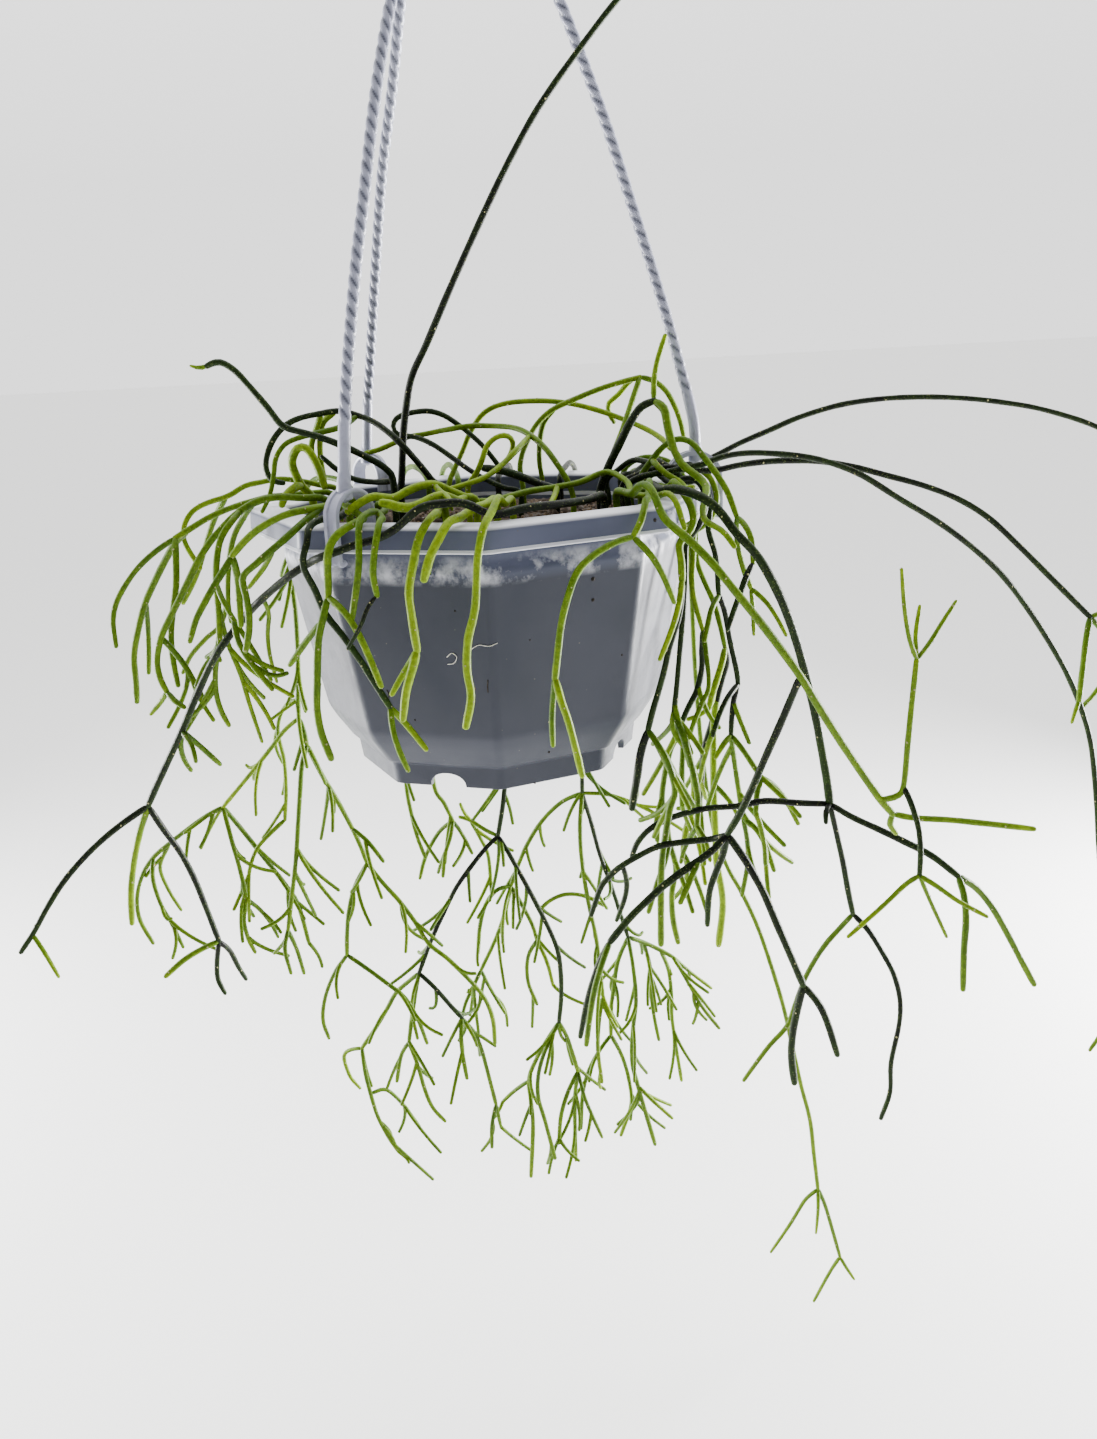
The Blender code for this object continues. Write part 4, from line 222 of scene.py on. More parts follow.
        (YOUNG, 4.6, 4.2, (417, 650, 111), (412, 670, 111), (406, 692, 111), (403, 719, 111)),
        (GREEN, 3.2, 2.8, (417, 650, 111), (410, 663, 107), (402, 676, 106), (392, 694, 106)),
    ),
    "stems_front_b": (
        (YOUNG, 4.0, 4.6, (496, 500, 66), (484, 505, 84), (464, 512, 100), (448, 525, 112),
         (438, 541, 117), (430, 557, 118), (424, 579, 118)),
    ),
    "stems_front_c": (
        (YOUNG, 3.8, 4.4, (512, 500, 64), (504, 505, 84), (493, 513, 106), (485, 527, 116),
         (480, 545, 119), (477, 565, 120), (475, 608, 120), (468, 640, 120), (467, 670, 120),
         (471, 697, 120), (466, 726, 120)),
    ),
    "stems_rim_runner": (
        (YOUNG, 4.0, 4.4, (476, 500, 56), (465, 497, 60), (450, 491, 64), (435, 485, 68), (420, 486, 71),
         (406, 492, 73), (393, 501, 75), (380, 504, 77), (366, 502, 79), (356, 506, 82), (349, 514, 88)),
        (YOUNG, 3.2, 2.8, (435, 485, 68), (440, 498, 76), (446, 510, 86)),
        (YOUNG, 4.4, 4.8, (465, 497, 60), (448, 502, 72), (428, 506, 82), (405, 510, 89), (382, 516, 94)),
        (GREEN, 3.6, 3.2, (476, 500, 56), (492, 500, 50), (510, 495, 44), (530, 490, 38), (555, 486, 32),
         (580, 481, 26), (605, 471, 22), (622, 477, 32), (640, 490, 48), (655, 502, 62), (668, 514, 74),
         (681, 530, 84)),
        (YOUNG, 2.6, 2.2, (555, 486, 32), (552, 496, 44), (548, 504, 54)),
    ),
    "stems_arch_back": (
        (GREEN, 3.4, 3.4, (523, 486, -10), (520, 470, -12), (522, 455, -14), (528, 440, -16),
         (537, 424, -18), (552, 410, -20), (575, 399, -22), (605, 387, -24), (640, 377, -26)),
        (GREEN, 3.2, 3.0, (640, 377, -26), (654, 381, -28), (666, 391, -30), (675, 407, -32),
         (681, 424, -33), (684, 438, -34)),
        (YOUNG, 3.0, 2.4, (640, 377, -26), (630, 381, -32), (618, 395, -36), (609, 403, -38),
         (609, 413, -39), (614, 422, -40)),
        (GREEN, 3.2, 3.0, (640, 377, -26), (632, 401, -20), (623, 428, -12), (612, 456, -4),
         (604, 476, 2)),
        (GREEN, 3.0, 2.8, (552, 410, -20), (541, 424, -30), (537, 445, -34), (537, 465, -36),
         (540, 482, -38)),
    ),
    "stems_arch_wide": (
        (GREEN, 3.2, 3.0, (573, 496, 24), (567, 480, 24), (557, 464, 20), (545, 448, 14), (530, 435, 6),
         (515, 428, -2), (495, 426, -10), (470, 426, -16), (445, 430, -20), (425, 434, -23),
         (408, 437, -26), (392, 444, -30), (378, 450, -32), (366, 453, -33)),
        (YOUNG, 3.4, 3.0, (530, 435, 6), (516, 450, 18), (501, 465, 28), (486, 476, 36), (468, 483, 42),
         (448, 489, 46)),
    ),
    "stems_loop_back": (
        (OLD, 3.4, 3.2, (520, 492, 12), (505, 488, 10), (485, 479, 6), (468, 469, 2), (450, 456, -4),
         (432, 444, -8), (415, 437, -12), (400, 435, -14), (393, 428, -15), (397, 418, -16),
         (410, 413, -17), (428, 411, -18), (443, 415, -18), (456, 423, -18), (470, 434, -18),
         (482, 445, -18), (492, 457, -18), (502, 470, -18)),
    ),
    "stems_small_loop": (
        (YOUNG, 3.2, 2.8, (468, 488, 22), (476, 474, 24), (482, 460, 24), (487, 446, 22), (497, 437, 20),
         (508, 436, 17), (513, 444, 14), (509, 457, 12), (500, 467, 10)),
    ),
    "stems_arch_centre": (
        (YOUNG, 3.4, 3.4, (449, 484, -30), (455, 468, -34), (463, 450, -36), (471, 431, -36),
         (484, 413, -36), (503, 404, -36), (530, 401, -36), (560, 402, -35), (590, 408, -32),
         (620, 418, -26), (648, 430, -14), (664, 441, -4), (675, 455, 4)),
    ),
    "stems_bark": (
        (OLD, 3.6, 5.0, (556, 490, 6), (540, 484, 2), (522, 477, -2), (504, 471, -6), (484, 468, -10)),
    ),
    "stems_dark_arch": (
        (OLD, 4.8, 4.6, (600, 493, 8), (604, 478, 10), (611, 461, 14), (620, 443, 18), (630, 423, 22),
         (641, 407, 24), (654, 401, 26)),
        (GREEN, 5.2, 3.0, (654, 401, 26), (664, 409, 30), (668, 428, 34), (673, 447, 38), (681, 466, 44),
         (688, 485, 54), (698, 502, 66), (712, 517, 76), (724, 532, 82), (734, 547, 86)),
        (GREEN, 2.8, 2.4, (654, 401, 26), (654, 382, 22), (657, 362, 18), (665, 336, 14)),
    ),
    "stems_right_arch": (
        (MATURE, 3.2, 3.2, (640, 483, 14), (643, 473, 18), (652, 460, 22), (664, 446, 26), (678, 439, 30),
         (692, 443, 34), (703, 456, 38), (715, 472, 43), (727, 491, 48), (737, 517, 52)),
        (MATURE, 3.2, 3.0, (737, 517, 52), (737, 535, 47), (739, 552, 45), (744, 570, 44), (751, 588, 43)),
        (GREEN, 1.9, 1.6, (751, 588, 43), (753, 610, 40), (754, 634, 39)),
        (GREEN, 1.9, 1.6, (751, 588, 43), (766, 602, 48), (777, 618, 50), (786, 635, 51)),
        (MATURE, 3.2, 3.0, (737, 517, 52), (746, 527, 60), (752, 542, 64), (753, 563, 66)),
        (OLD, 2.8, 2.4, (753, 563, 66), (746, 577, 69), (740, 594, 71), (733, 613, 72), (728, 629, 73)),
        (GREEN, 3.0, 2.8, (652, 460, 22), (661, 476, 34), (674, 488, 46), (686, 499, 56)),
    ),
    "stems_right_long": (
        (MATURE, 4.2, 4.4, (616, 493, 44), (630, 494, 62), (645, 503, 80), (658, 514, 92), (672, 526, 99),
         (690, 541, 104), (712, 563, 108), (735, 591, 110), (757, 618, 110), (780, 648, 108),
         (800, 676, 106), (822, 712, 102), (845, 748, 97), (868, 782, 93), (881, 800, 91),
         (893, 814, 89)),
        (GREEN, 2.9, 2.7, (893, 814, 89), (915, 818, 90), (950, 820, 92), (990, 824, 94), (1034, 829, 96)),
        (GREEN, 3.8, 3.2, (893, 814, 89), (890, 824, 86), (896, 833, 84)),
        (GREEN, 3.0, 2.8, (881, 800, 91), (892, 798, 94), (903, 790, 96), (908, 745, 98), (911, 715, 99),
         (917, 660, 100)),
        (GREEN, 1.8, 1.4, (917, 660, 100), (910, 640, 103), (905, 610, 105), (902, 570, 107)),
        (GREEN, 1.8, 1.4, (917, 660, 100), (916, 635, 98), (920, 607, 97)),
        (GREEN, 1.8, 1.4, (917, 660, 100), (930, 643, 96), (943, 622, 93), (956, 602, 91)),
        (OLD, 3.0, 2.8, (903, 790, 96), (911, 808, 99), (918, 832, 102), (920, 855, 104), (919, 879, 105)),
        (GREEN, 2.0, 1.6, (919, 879, 105), (905, 888, 108), (885, 907, 110), (865, 925, 112),
         (848, 940, 113)),
        (GREEN, 1.8, 1.4, (919, 879, 105), (930, 905, 102), (946, 940, 100)),
        (GREEN, 2.0, 1.6, (919, 879, 105), (938, 891, 109), (958, 905, 111), (986, 920, 113)),
        (OLD, 4.2, 4.2, (800, 676, 106), (790, 700, 100), (778, 728, 95), (765, 757, 91), (752, 787, 88),
         (740, 812, 86), (727, 834, 84)),
        (OLD, 3.8, 3.4, (727, 834, 84), (714, 838, 78), (698, 840, 75), (672, 843, 72), (655, 847, 70),
         (625, 863, 68), (610, 875, 66), (600, 888, 65), (591, 914, 64)),
        (OLD, 3.4, 3.0, (625, 863, 68), (629, 880, 64), (627, 896, 62), (619, 918, 60)),
        (OLD, 4.2, 4.4, (727, 834, 84), (713, 849, 86), (700, 859, 87), (685, 869, 88), (665, 884, 89),
         (645, 902, 90), (628, 919, 91), (610, 941, 92)),
        (OLD, 3.8, 3.4, (610, 941, 92), (600, 960, 88), (592, 982, 85), (586, 1005, 83), (580, 1036, 82)),
        (MATURE, 3.6, 3.4, (610, 941, 92), (602, 962, 96), (594, 990, 98), (589, 1020, 99), (586, 1044, 99)),
        (MATURE, 3.8, 3.6, (700, 859, 87), (693, 874, 91), (687, 888, 93), (681, 901, 94)),
        (OLD, 4.2, 3.6, (727, 834, 84), (723, 853, 80), (715, 873, 78), (709, 893, 77), (707, 924, 76)),
        (OLD, 4.4, 4.2, (727, 834, 84), (745, 860, 88), (762, 890, 90), (775, 920, 91), (788, 950, 92),
         (803, 985, 92)),
        (OLD, 4.4, 4.4, (803, 985, 92), (798, 1005, 90), (793, 1030, 89), (791, 1055, 88), (794, 1082, 88)),
        (OLD, 4.2, 4.0, (803, 985, 92), (818, 1003, 94), (827, 1022, 95), (837, 1054, 96)),
    ),
    "stems_right_thick": (
        (OLD, 4.8, 5.0, (645, 487, 28), (657, 488, 42), (673, 492, 56), (692, 501, 67), (712, 514, 74),
         (735, 533, 79), (755, 553, 80), (770, 577, 80), (784, 606, 78), (796, 640, 74), (805, 672, 70),
         (814, 708, 67), (821, 745, 65), (827, 780, 64), (830, 804, 64)),
        (OLD, 3.8, 3.6, (830, 804, 64), (800, 803, 62), (765, 801, 60), (738, 806, 56), (710, 808, 52),
         (690, 812, 50), (668, 819, 48), (650, 829, 47), (638, 842, 46), (632, 856, 45)),
        (OLD, 3.8, 4.0, (830, 804, 64), (852, 817, 70), (880, 830, 74), (905, 842, 78), (932, 856, 82),
         (958, 876, 86)),
        (MATURE, 4.2, 4.0, (958, 876, 86), (964, 895, 90), (966, 920, 92), (964, 950, 93), (963, 989, 94)),
        (MATURE, 4.0, 4.0, (958, 876, 86), (976, 888, 82), (992, 907, 80), (1007, 933, 78),
         (1020, 958, 77), (1034, 984, 76)),
        (OLD, 3.6, 3.2, (830, 804, 64), (826, 812, 70), (826, 822, 72)),
        (OLD, 3.6, 3.8, (830, 804, 64), (837, 835, 60), (843, 862, 58), (848, 890, 56), (853, 914, 55)),
        (MATURE, 3.2, 2.8, (853, 914, 55), (840, 928, 52), (825, 945, 50), (812, 965, 48), (803, 983, 47),
         (795, 1005, 46), (787, 1026, 45), (770, 1045, 44), (757, 1062, 43), (744, 1080, 42)),
        (OLD, 3.4, 3.2, (853, 914, 55), (868, 930, 59), (882, 952, 61), (894, 975, 63), (900, 1000, 64),
         (899, 1025, 65), (891, 1063, 66), (890, 1092, 66), (881, 1118, 66)),
    ),
    "stems_far_right": (
        (MATURE, 3.0, 2.8, (630, 474, -32), (648, 466, -46), (668, 470, -62), (682, 490, -74),
         (689, 530, -82), (692, 600, -86), (696, 680, -88), (703, 760, -90), (714, 830, -91),
         (728, 868, -92), (742, 893, -92), (757, 925, -92), (770, 962, -92), (783, 1005, -92),
         (792, 1045, -92), (801, 1085, -92), (810, 1120, -92), (814, 1155, -92), (818, 1189, -92)),
        (GREEN, 2.4, 1.8, (818, 1189, -92), (806, 1199, -94), (797, 1213, -95), (789, 1226, -96),
         (771, 1252, -97)),
        (GREEN, 2.2, 1.6, (818, 1189, -92), (818, 1210, -88), (816, 1233, -87)),
        (MATURE, 2.8, 2.4, (818, 1189, -92), (825, 1205, -93), (833, 1232, -94), (840, 1257, -94)),
        (GREEN, 2.2, 1.8, (840, 1257, -94), (830, 1272, -96), (814, 1301, -97)),
        (GREEN, 2.0, 1.6, (840, 1257, -94), (846, 1267, -92), (854, 1279, -91)),
    ),
    "stems_arc_high": (
        (OLD, 3.8, 3.2, (622, 474, -14), (645, 468, -22), (675, 466, -27), (700, 462, -30),
         (717, 455, -31), (740, 443, -32), (770, 430, -33), (800, 417, -33), (840, 405, -34),
         (880, 399, -34), (920, 397, -34), (960, 398, -34), (1000, 402, -34), (1045, 410, -34),
         (1097, 427, -34), (1130, 450, -34), (1152, 484, -34), (1163, 528, -34)),
        (MATURE, 3.0, 2.8, (1163, 528, -34), (1160, 560, -38), (1152, 594, -41), (1148, 628, -42)),
        (MATURE, 2.8, 2.6, (1163, 528, -34), (1172, 556, -30), (1178, 590, -28)),
    ),
    "stems_arc_low": (
        (OLD, 3.8, 3.6, (624, 482, 4), (645, 476, 10), (668, 477, 15), (690, 478, 18), (712, 472, 19),
         (740, 465, 18), (775, 461, 16), (815, 461, 14), (850, 466, 13), (885, 475, 12), (925, 486, 12),
         (960, 500, 12), (990, 519, 12), (1020, 547, 12), (1050, 577, 12), (1090, 617, 12)),
        (MATURE, 3.8, 3.8, (1090, 617, 12), (1086, 640, 17), (1083, 665, 20), (1079, 700, 22)),
        (GREEN, 2.0, 1.6, (1079, 700, 22), (1072, 722, 24)),
        (GREEN, 2.2, 1.8, (1090, 617, 12), (1108, 612, 8), (1128, 618, 5), (1144, 634, 3)),
        (MATURE, 3.0, 2.6, (1090, 617, 12), (1104, 634, 9), (1115, 660, 8), (1121, 694, 7)),
    ),
    "stems_arc_middle": (
        (OLD, 3.6, 3.6, (628, 486, 24), (650, 477, 28), (675, 472, 31), (700, 466, 33), (722, 457, 33),
         (748, 453, 31), (780, 454, 29), (812, 458, 27), (840, 466, 25), (865, 477, 23), (900, 499, 20),
         (935, 520, 16), (968, 544, 12), (1000, 573, 7), (1025, 605, 2), (1048, 640, -2),
         (1067, 674, -5), (1081, 708, -7), (1091, 745, -8), (1096, 795, -9), (1099, 850, -9),
         (1104, 905, -9), (1110, 955, -9)),
        (GREEN, 2.2, 1.8, (1081, 708, -7), (1091, 698, -12), (1104, 680, -15)),
        (MATURE, 2.8, 2.2, (1110, 955, -9), (1107, 995, -12), (1102, 1030, -14), (1090, 1050, -15)),
        (MATURE, 2.8, 2.6, (1110, 955, -9), (1120, 990, -6), (1124, 1040, -4)),
    ),
    "stems_right_front": (
        (MATURE, 3.8, 3.8, (652, 491, 44), (650, 500, 64), (643, 515, 84), (632, 537, 94)),
        (MATURE, 3.6, 4.0, (632, 537, 94), (618, 541, 98), (602, 549, 101), (588, 559, 103),
         (577, 571, 105), (569, 590, 106), (561, 620, 106), (557, 650, 106), (554, 678, 106)),
        (MATURE, 3.2, 2.8, (554, 678, 106), (552, 700, 102), (551, 722, 101), (552, 745, 100)),
        (YOUNG, 4.0, 3.8, (554, 678, 106), (560, 700, 109), (567, 720, 110), (574, 746, 110),
         (581, 775, 110)),
        (MATURE, 3.6, 3.2, (632, 537, 94), (645, 550, 96), (655, 563, 96), (664, 580, 95), (673, 602, 94)),
    ),
    "stems_cluster_front": (
        (MATURE, 4.0, 4.2, (652, 482, 10), (662, 490, 32), (668, 505, 50), (673, 522, 60), (677, 541, 66),
         (681, 560, 68), (682, 580, 69)),
        (YOUNG, 4.0, 2.8, (682, 580, 69), (680, 598, 75), (676, 616, 78), (669, 637, 80), (660, 659, 81)),
        (OLD, 3.6, 3.8, (682, 580, 69), (681, 601, 63), (677, 622, 60), (670, 645, 58), (665, 668, 57),
         (659, 690, 56), (653, 710, 56), (648, 730, 56)),
        (OLD, 4.6, 4.8, (648, 730, 56), (641, 752, 54), (637, 778, 53), (632, 808, 52)),
        (MATURE, 3.8, 4.2, (648, 730, 56), (658, 745, 62), (668, 763, 65), (675, 790, 66), (670, 808, 66),
         (666, 832, 66), (662, 860, 66), (661, 890, 66), (661, 944, 66)),
    ),
    "stems_cluster_dark": (
        (OLD, 3.4, 3.4, (640, 478, -10), (660, 472, 4), (674, 482, 20), (682, 505, 32), (685, 545, 38),
         (685, 580, 40), (683, 615, 41), (680, 650, 41), (677, 685, 41), (674, 712, 41)),
        (MATURE, 3.8, 3.8, (674, 712, 41), (678, 732, 34), (671, 748, 30), (666, 768, 28), (662, 798, 28),
         (666, 818, 28), (669, 840, 28), (676, 868, 28), (672, 892, 28), (673, 918, 28), (678, 942, 28)),
        (MATURE, 3.6, 3.4, (669, 840, 28), (664, 860, 34), (656, 882, 37), (648, 909, 38)),
        (MATURE, 4.0, 3.8, (674, 712, 41), (682, 732, 46), (688, 752, 48), (694, 776, 49), (698, 800, 49),
         (697, 826, 49)),
        (MATURE, 3.2, 2.8, (697, 826, 49), (690, 838, 44), (684, 850, 42), (681, 862, 42)),
        (GREEN, 3.0, 2.6, (697, 826, 49), (706, 842, 53), (710, 860, 55)),
    ),
    "stems_cluster_middle": (
        (GREEN, 3.6, 3.6, (646, 474, -24), (664, 464, -16), (681, 474, -6), (690, 498, 4), (693, 530, 10),
         (693, 560, 12), (692, 580, 13), (695, 602, 13), (703, 630, 13)),
        (OLD, 3.8, 3.8, (703, 630, 13), (702, 650, 7), (702, 668, 5), (697, 690, 4), (688, 708, 4),
         (681, 724, 4)),
        (MATURE, 3.4, 3.2, (703, 630, 13), (706, 650, 19), (709, 685, 22), (702, 703, 22), (694, 722, 22),
         (689, 738, 22)),
        (MATURE, 3.8, 3.8, (681, 724, 4), (683, 745, 11), (682, 770, 14), (682, 803, 15)),
        (YOUNG, 4.0, 4.2, (681, 724, 4), (687, 741, -2), (691, 762, -4), (694, 785, -5), (692, 810, -5),
         (686, 830, -5), (683, 852, -5)),
        (MATURE, 3.4, 3.2, (683, 852, -5), (692, 870, -2), (701, 893, -1), (708, 915, 0)),
    ),
    "stems_cluster_back": (
        (MATURE, 3.6, 3.6, (626, 468, -46), (648, 459, -42), (672, 464, -38), (688, 488, -32),
         (695, 525, -26), (697, 560, -22), (705, 583, -20), (714, 603, -18), (721, 628, -16),
         (725, 647, -16)),
        (YOUNG, 4.2, 4.0, (725, 647, -16), (722, 662, -12), (716, 682, -10), (712, 695, -10),
         (709, 708, -10)),
        (OLD, 3.8, 3.8, (725, 647, -16), (727, 662, -22), (722, 680, -25), (717, 700, -26),
         (712, 722, -26), (705, 745, -26), (702, 770, -26), (700, 800, -26)),
        (YOUNG, 4.6, 4.8, (717, 700, -26), (714, 722, -18), (714, 750, -14), (714, 780, -13),
         (715, 810, -13), (716, 832, -13), (717, 860, -14), (722, 888, -15), (723, 908, -16),
         (719, 943, -16)),
        (GREEN, 3.0, 2.6, (714, 780, -13), (723, 789, -8), (732, 800, -6), (738, 812, -5)),
    ),
    "stems_cluster_right": (
        (OLD, 3.4, 3.6, (608, 478, -28), (636, 466, -18), (664, 464, 0), (686, 480, 18), (699, 508, 30),
         (709, 535, 34), (716, 558, 36), (719, 595, 37)),
        (OLD, 3.6, 3.6, (719, 595, 37), (725, 612, 34), (730, 640, 32), (737, 672, 31), (738, 684, 31)),
        (OLD, 3.4, 3.4, (738, 684, 31), (733, 705, 29), (731, 735, 28)),
        (GREEN, 2.6, 2.4, (731, 735, 28), (723, 745, 33), (716, 757, 36)),
        (MATURE, 3.2, 3.2, (731, 735, 28), (734, 758, 22), (738, 785, 19), (743, 818, 17)),
        (MATURE, 3.2, 3.0, (743, 818, 17), (747, 838, 14), (748, 862, 12), (742, 895, 11)),
        (MATURE, 3.0, 2.8, (743, 818, 17), (756, 829, 21), (766, 846, 23), (774, 870, 24)),
        (MATURE, 2.6, 2.6, (731, 735, 28), (743, 750, 32), (753, 765, 34), (761, 777, 35)),
        (MATURE, 2.8, 2.8, (761, 777, 35), (757, 795, 40), (756, 813, 42)),
        (MATURE, 2.8, 2.8, (761, 777, 35), (775, 787, 31), (787, 802, 29), (798, 823, 28)),
        (OLD, 3.4, 3.2, (738, 684, 31), (728, 697, 38), (720, 713, 42), (713, 735, 44)),
        (MATURE, 3.0, 2.6, (719, 595, 37), (712, 608, 44), (708, 624, 48), (705, 640, 50)),
    ),
    "stems_behind_left": (
        (MATURE, 2.8, 2.6, (350, 487, -44), (332, 478, -54), (314, 480, -64), (300, 500, -70),
         (293, 540, -72), (292, 580, -72), (296, 620, -72), (298, 665, -72), (298, 702, -72),
         (299, 718, -72)),
        (GREEN, 2.0, 2.0, (299, 718, -72), (284, 731, -75), (268, 752, -78), (247, 778, -81),
         (223, 807, -84)),
        (MATURE, 2.4, 2.2, (223, 807, -84), (205, 817, -86), (188, 829, -88), (170, 843, -90),
         (153, 858, -92), (142, 876, -93), (137, 898, -94), (140, 920, -94), (153, 943, -94)),
        (MATURE, 2.4, 2.0, (153, 858, -92), (153, 880, -87), (161, 905, -85), (172, 924, -84),
         (183, 947, -84)),
        (GREEN, 2.2, 1.8, (170, 843, -90), (161, 866, -96), (170, 890, -99), (182, 909, -100)),
        (MATURE, 2.4, 2.2, (223, 807, -84), (231, 838, -79), (240, 870, -77), (246, 899, -76),
         (244, 920, -76), (248, 938, -76), (255, 952, -76)),
        (MATURE, 2.2, 1.8, (246, 899, -76), (260, 910, -80), (271, 924, -82), (278, 937, -83)),
        (MATURE, 2.6, 2.4, (223, 807, -84), (243, 831, -90), (266, 860, -93), (288, 888, -95),
         (299, 907, -96), (309, 943, -96)),
        (MATURE, 2.6, 2.4, (299, 718, -72), (304, 732, -70), (307, 745, -70)),
        (MATURE, 2.6, 2.4, (307, 745, -70), (302, 765, -66), (300, 792, -64), (298, 825, -63),
         (296, 858, -62), (292, 895, -61), (288, 930, -60)),
        (MATURE, 2.2, 2.0, (288, 930, -60), (285, 949, -57), (291, 973, -56)),
        (MATURE, 2.2, 2.0, (288, 930, -60), (297, 950, -64), (304, 973, -66)),
        (GREEN, 1.9, 1.9, (298, 702, -72), (288, 706, -79), (280, 718, -82), (278, 736, -84),
         (284, 762, -86), (286, 792, -87), (285, 822, -88)),
        (GREEN, 2.2, 1.9, (285, 822, -88), (271, 835, -87), (257, 851, -87), (250, 870, -86),
         (248, 888, -86)),
        (MATURE, 2.6, 2.4, (307, 745, -70), (322, 775, -78), (337, 800, -84), (352, 828, -88),
         (360, 845, -90), (367, 863, -91)),
        (MATURE, 2.4, 2.2, (352, 828, -88), (368, 842, -84), (383, 861, -82)),
        (MATURE, 2.4, 2.4, (367, 863, -91), (355, 886, -94), (349, 910, -95), (347, 935, -96),
         (347, 955, -96)),
        (MATURE, 2.2, 2.0, (347, 955, -96), (334, 974, -98), (325, 998, -99), (323, 1020, -99),
         (329, 1038, -99)),
        (MATURE, 2.4, 2.2, (347, 955, -96), (366, 968, -92), (385, 982, -89), (405, 998, -87),
         (418, 1020, -86), (427, 1043, -86)),
        (MATURE, 2.4, 2.4, (367, 863, -91), (382, 882, -88), (400, 902, -86), (415, 922, -84),
         (429, 944, -82), (449, 960, -80), (473, 984, -79), (486, 1001, -78), (493, 1020, -78),
         (495, 1043, -78)),
    ),
    "stems_behind_a": (
        (MATURE, 2.8, 2.4, (428, 481, -52), (420, 470, -74), (410, 467, -96), (402, 480, -112),
         (398, 530, -120), (397, 620, -122), (400, 710, -122), (406, 783, -122), (411, 812, -122),
         (417, 836, -122), (425, 857, -122)),
    ),
    "stems_behind_b": (
        (MATURE, 2.8, 2.6, (458, 479, -50), (453, 468, -74), (447, 465, -98), (441, 478, -114),
         (434, 530, -122), (428, 630, -124), (427, 720, -124), (434, 785, -124), (444, 803, -124),
         (453, 821, -124)),
        (MATURE, 2.4, 2.2, (453, 821, -124), (441, 830, -128), (431, 845, -130), (424, 861, -131),
         (420, 878, -131)),
        (MATURE, 2.4, 2.2, (453, 821, -124), (450, 838, -120), (445, 855, -119), (443, 876, -118)),
        (MATURE, 2.2, 2.0, (453, 821, -124), (462, 834, -128), (472, 853, -130)),
    ),
    "stems_behind_c": (
        (OLD, 2.8, 2.8, (498, 478, -46), (503, 469, -70), (507, 466, -94), (510, 480, -112),
         (512, 540, -120), (511, 640, -122), (508, 740, -122), (504, 795, -122), (498, 836, -122)),
        (GREEN, 2.2, 2.2, (498, 836, -122), (484, 829, -128), (470, 820, -131), (460, 817, -133)),
        (GREEN, 2.2, 2.0, (470, 820, -131), (480, 838, -135), (488, 856, -137), (491, 892, -138)),
        (OLD, 2.8, 2.8, (498, 836, -122), (485, 849, -118), (470, 868, -116), (456, 888, -115),
         (446, 908, -114), (437, 927, -113), (429, 946, -112), (419, 973, -112)),
        (MATURE, 2.6, 2.6, (419, 973, -112), (408, 982, -115), (396, 993, -117), (387, 1009, -118),
         (375, 1029, -119), (362, 1048, -120)),
        (MATURE, 2.4, 2.2, (362, 1048, -120), (365, 1071, -117), (371, 1095, -116), (378, 1117, -115),
         (388, 1136, -115), (398, 1151, -115)),
        (GREEN, 2.2, 2.0, (362, 1048, -120), (350, 1050, -125), (344, 1057, -127), (350, 1076, -128),
         (360, 1088, -129)),
        (MATURE, 2.2, 2.0, (371, 1095, -116), (386, 1091, -121), (401, 1103, -123), (412, 1117, -124),
         (420, 1128, -124)),
        (MATURE, 2.4, 2.4, (419, 973, -112), (415, 996, -108), (412, 1017, -107), (409, 1042, -106)),
        (MATURE, 2.4, 2.2, (409, 1042, -106), (401, 1056, -109), (397, 1081, -110)),
        (MATURE, 2.4, 2.2, (409, 1042, -106), (418, 1066, -103), (425, 1090, -102), (433, 1108, -101),
         (445, 1121, -101)),
        (OLD, 2.6, 2.6, (419, 973, -112), (435, 988, -109), (450, 1005, -108), (462, 1018, -107)),
        (MATURE, 2.4, 2.4, (462, 1018, -107), (461, 1037, -103), (463, 1056, -102), (467, 1078, -101)),
        (MATURE, 2.4, 2.4, (462, 1018, -107), (475, 1034, -111), (482, 1051, -113), (488, 1073, -114),
         (496, 1104, -115)),
        (MATURE, 2.4, 2.2, (496, 1104, -115), (492, 1125, -112), (492, 1147, -111)),
        (MATURE, 2.2, 2.0, (496, 1104, -115), (501, 1127, -119)),
        (OLD, 2.6, 2.8, (498, 836, -122), (508, 852, -118), (518, 870, -115), (529, 890, -113),
         (540, 911, -112), (550, 931, -111), (558, 952, -110), (561, 977, -110), (561, 1000, -110),
         (559, 1022, -110)),
        (MATURE, 2.4, 2.6, (559, 1022, -110), (547, 1040, -114), (536, 1060, -116), (529, 1079, -117),
         (531, 1102, -118), (533, 1126, -118), (531, 1176, -118)),
        (MATURE, 2.2, 2.2, (529, 1079, -117), (515, 1089, -122), (503, 1100, -124)),
        (MATURE, 2.4, 2.4, (559, 1022, -110), (547, 1046, -105), (539, 1071, -103), (538, 1096, -102),
         (545, 1121, -101), (555, 1158, -101)),
        (MATURE, 2.4, 2.6, (559, 1022, -110), (567, 1037, -113), (573, 1055, -115), (578, 1071, -116)),
        (MATURE, 2.6, 2.4, (578, 1071, -116), (575, 1096, -120), (575, 1126, -122), (576, 1160, -123)),
        (MATURE, 2.2, 2.0, (578, 1071, -116), (584, 1095, -111), (592, 1115, -109), (602, 1137, -108)),
        (MATURE, 3.0, 2.8, (578, 1071, -116), (568, 1092, -111), (561, 1116, -109), (559, 1143, -108)),
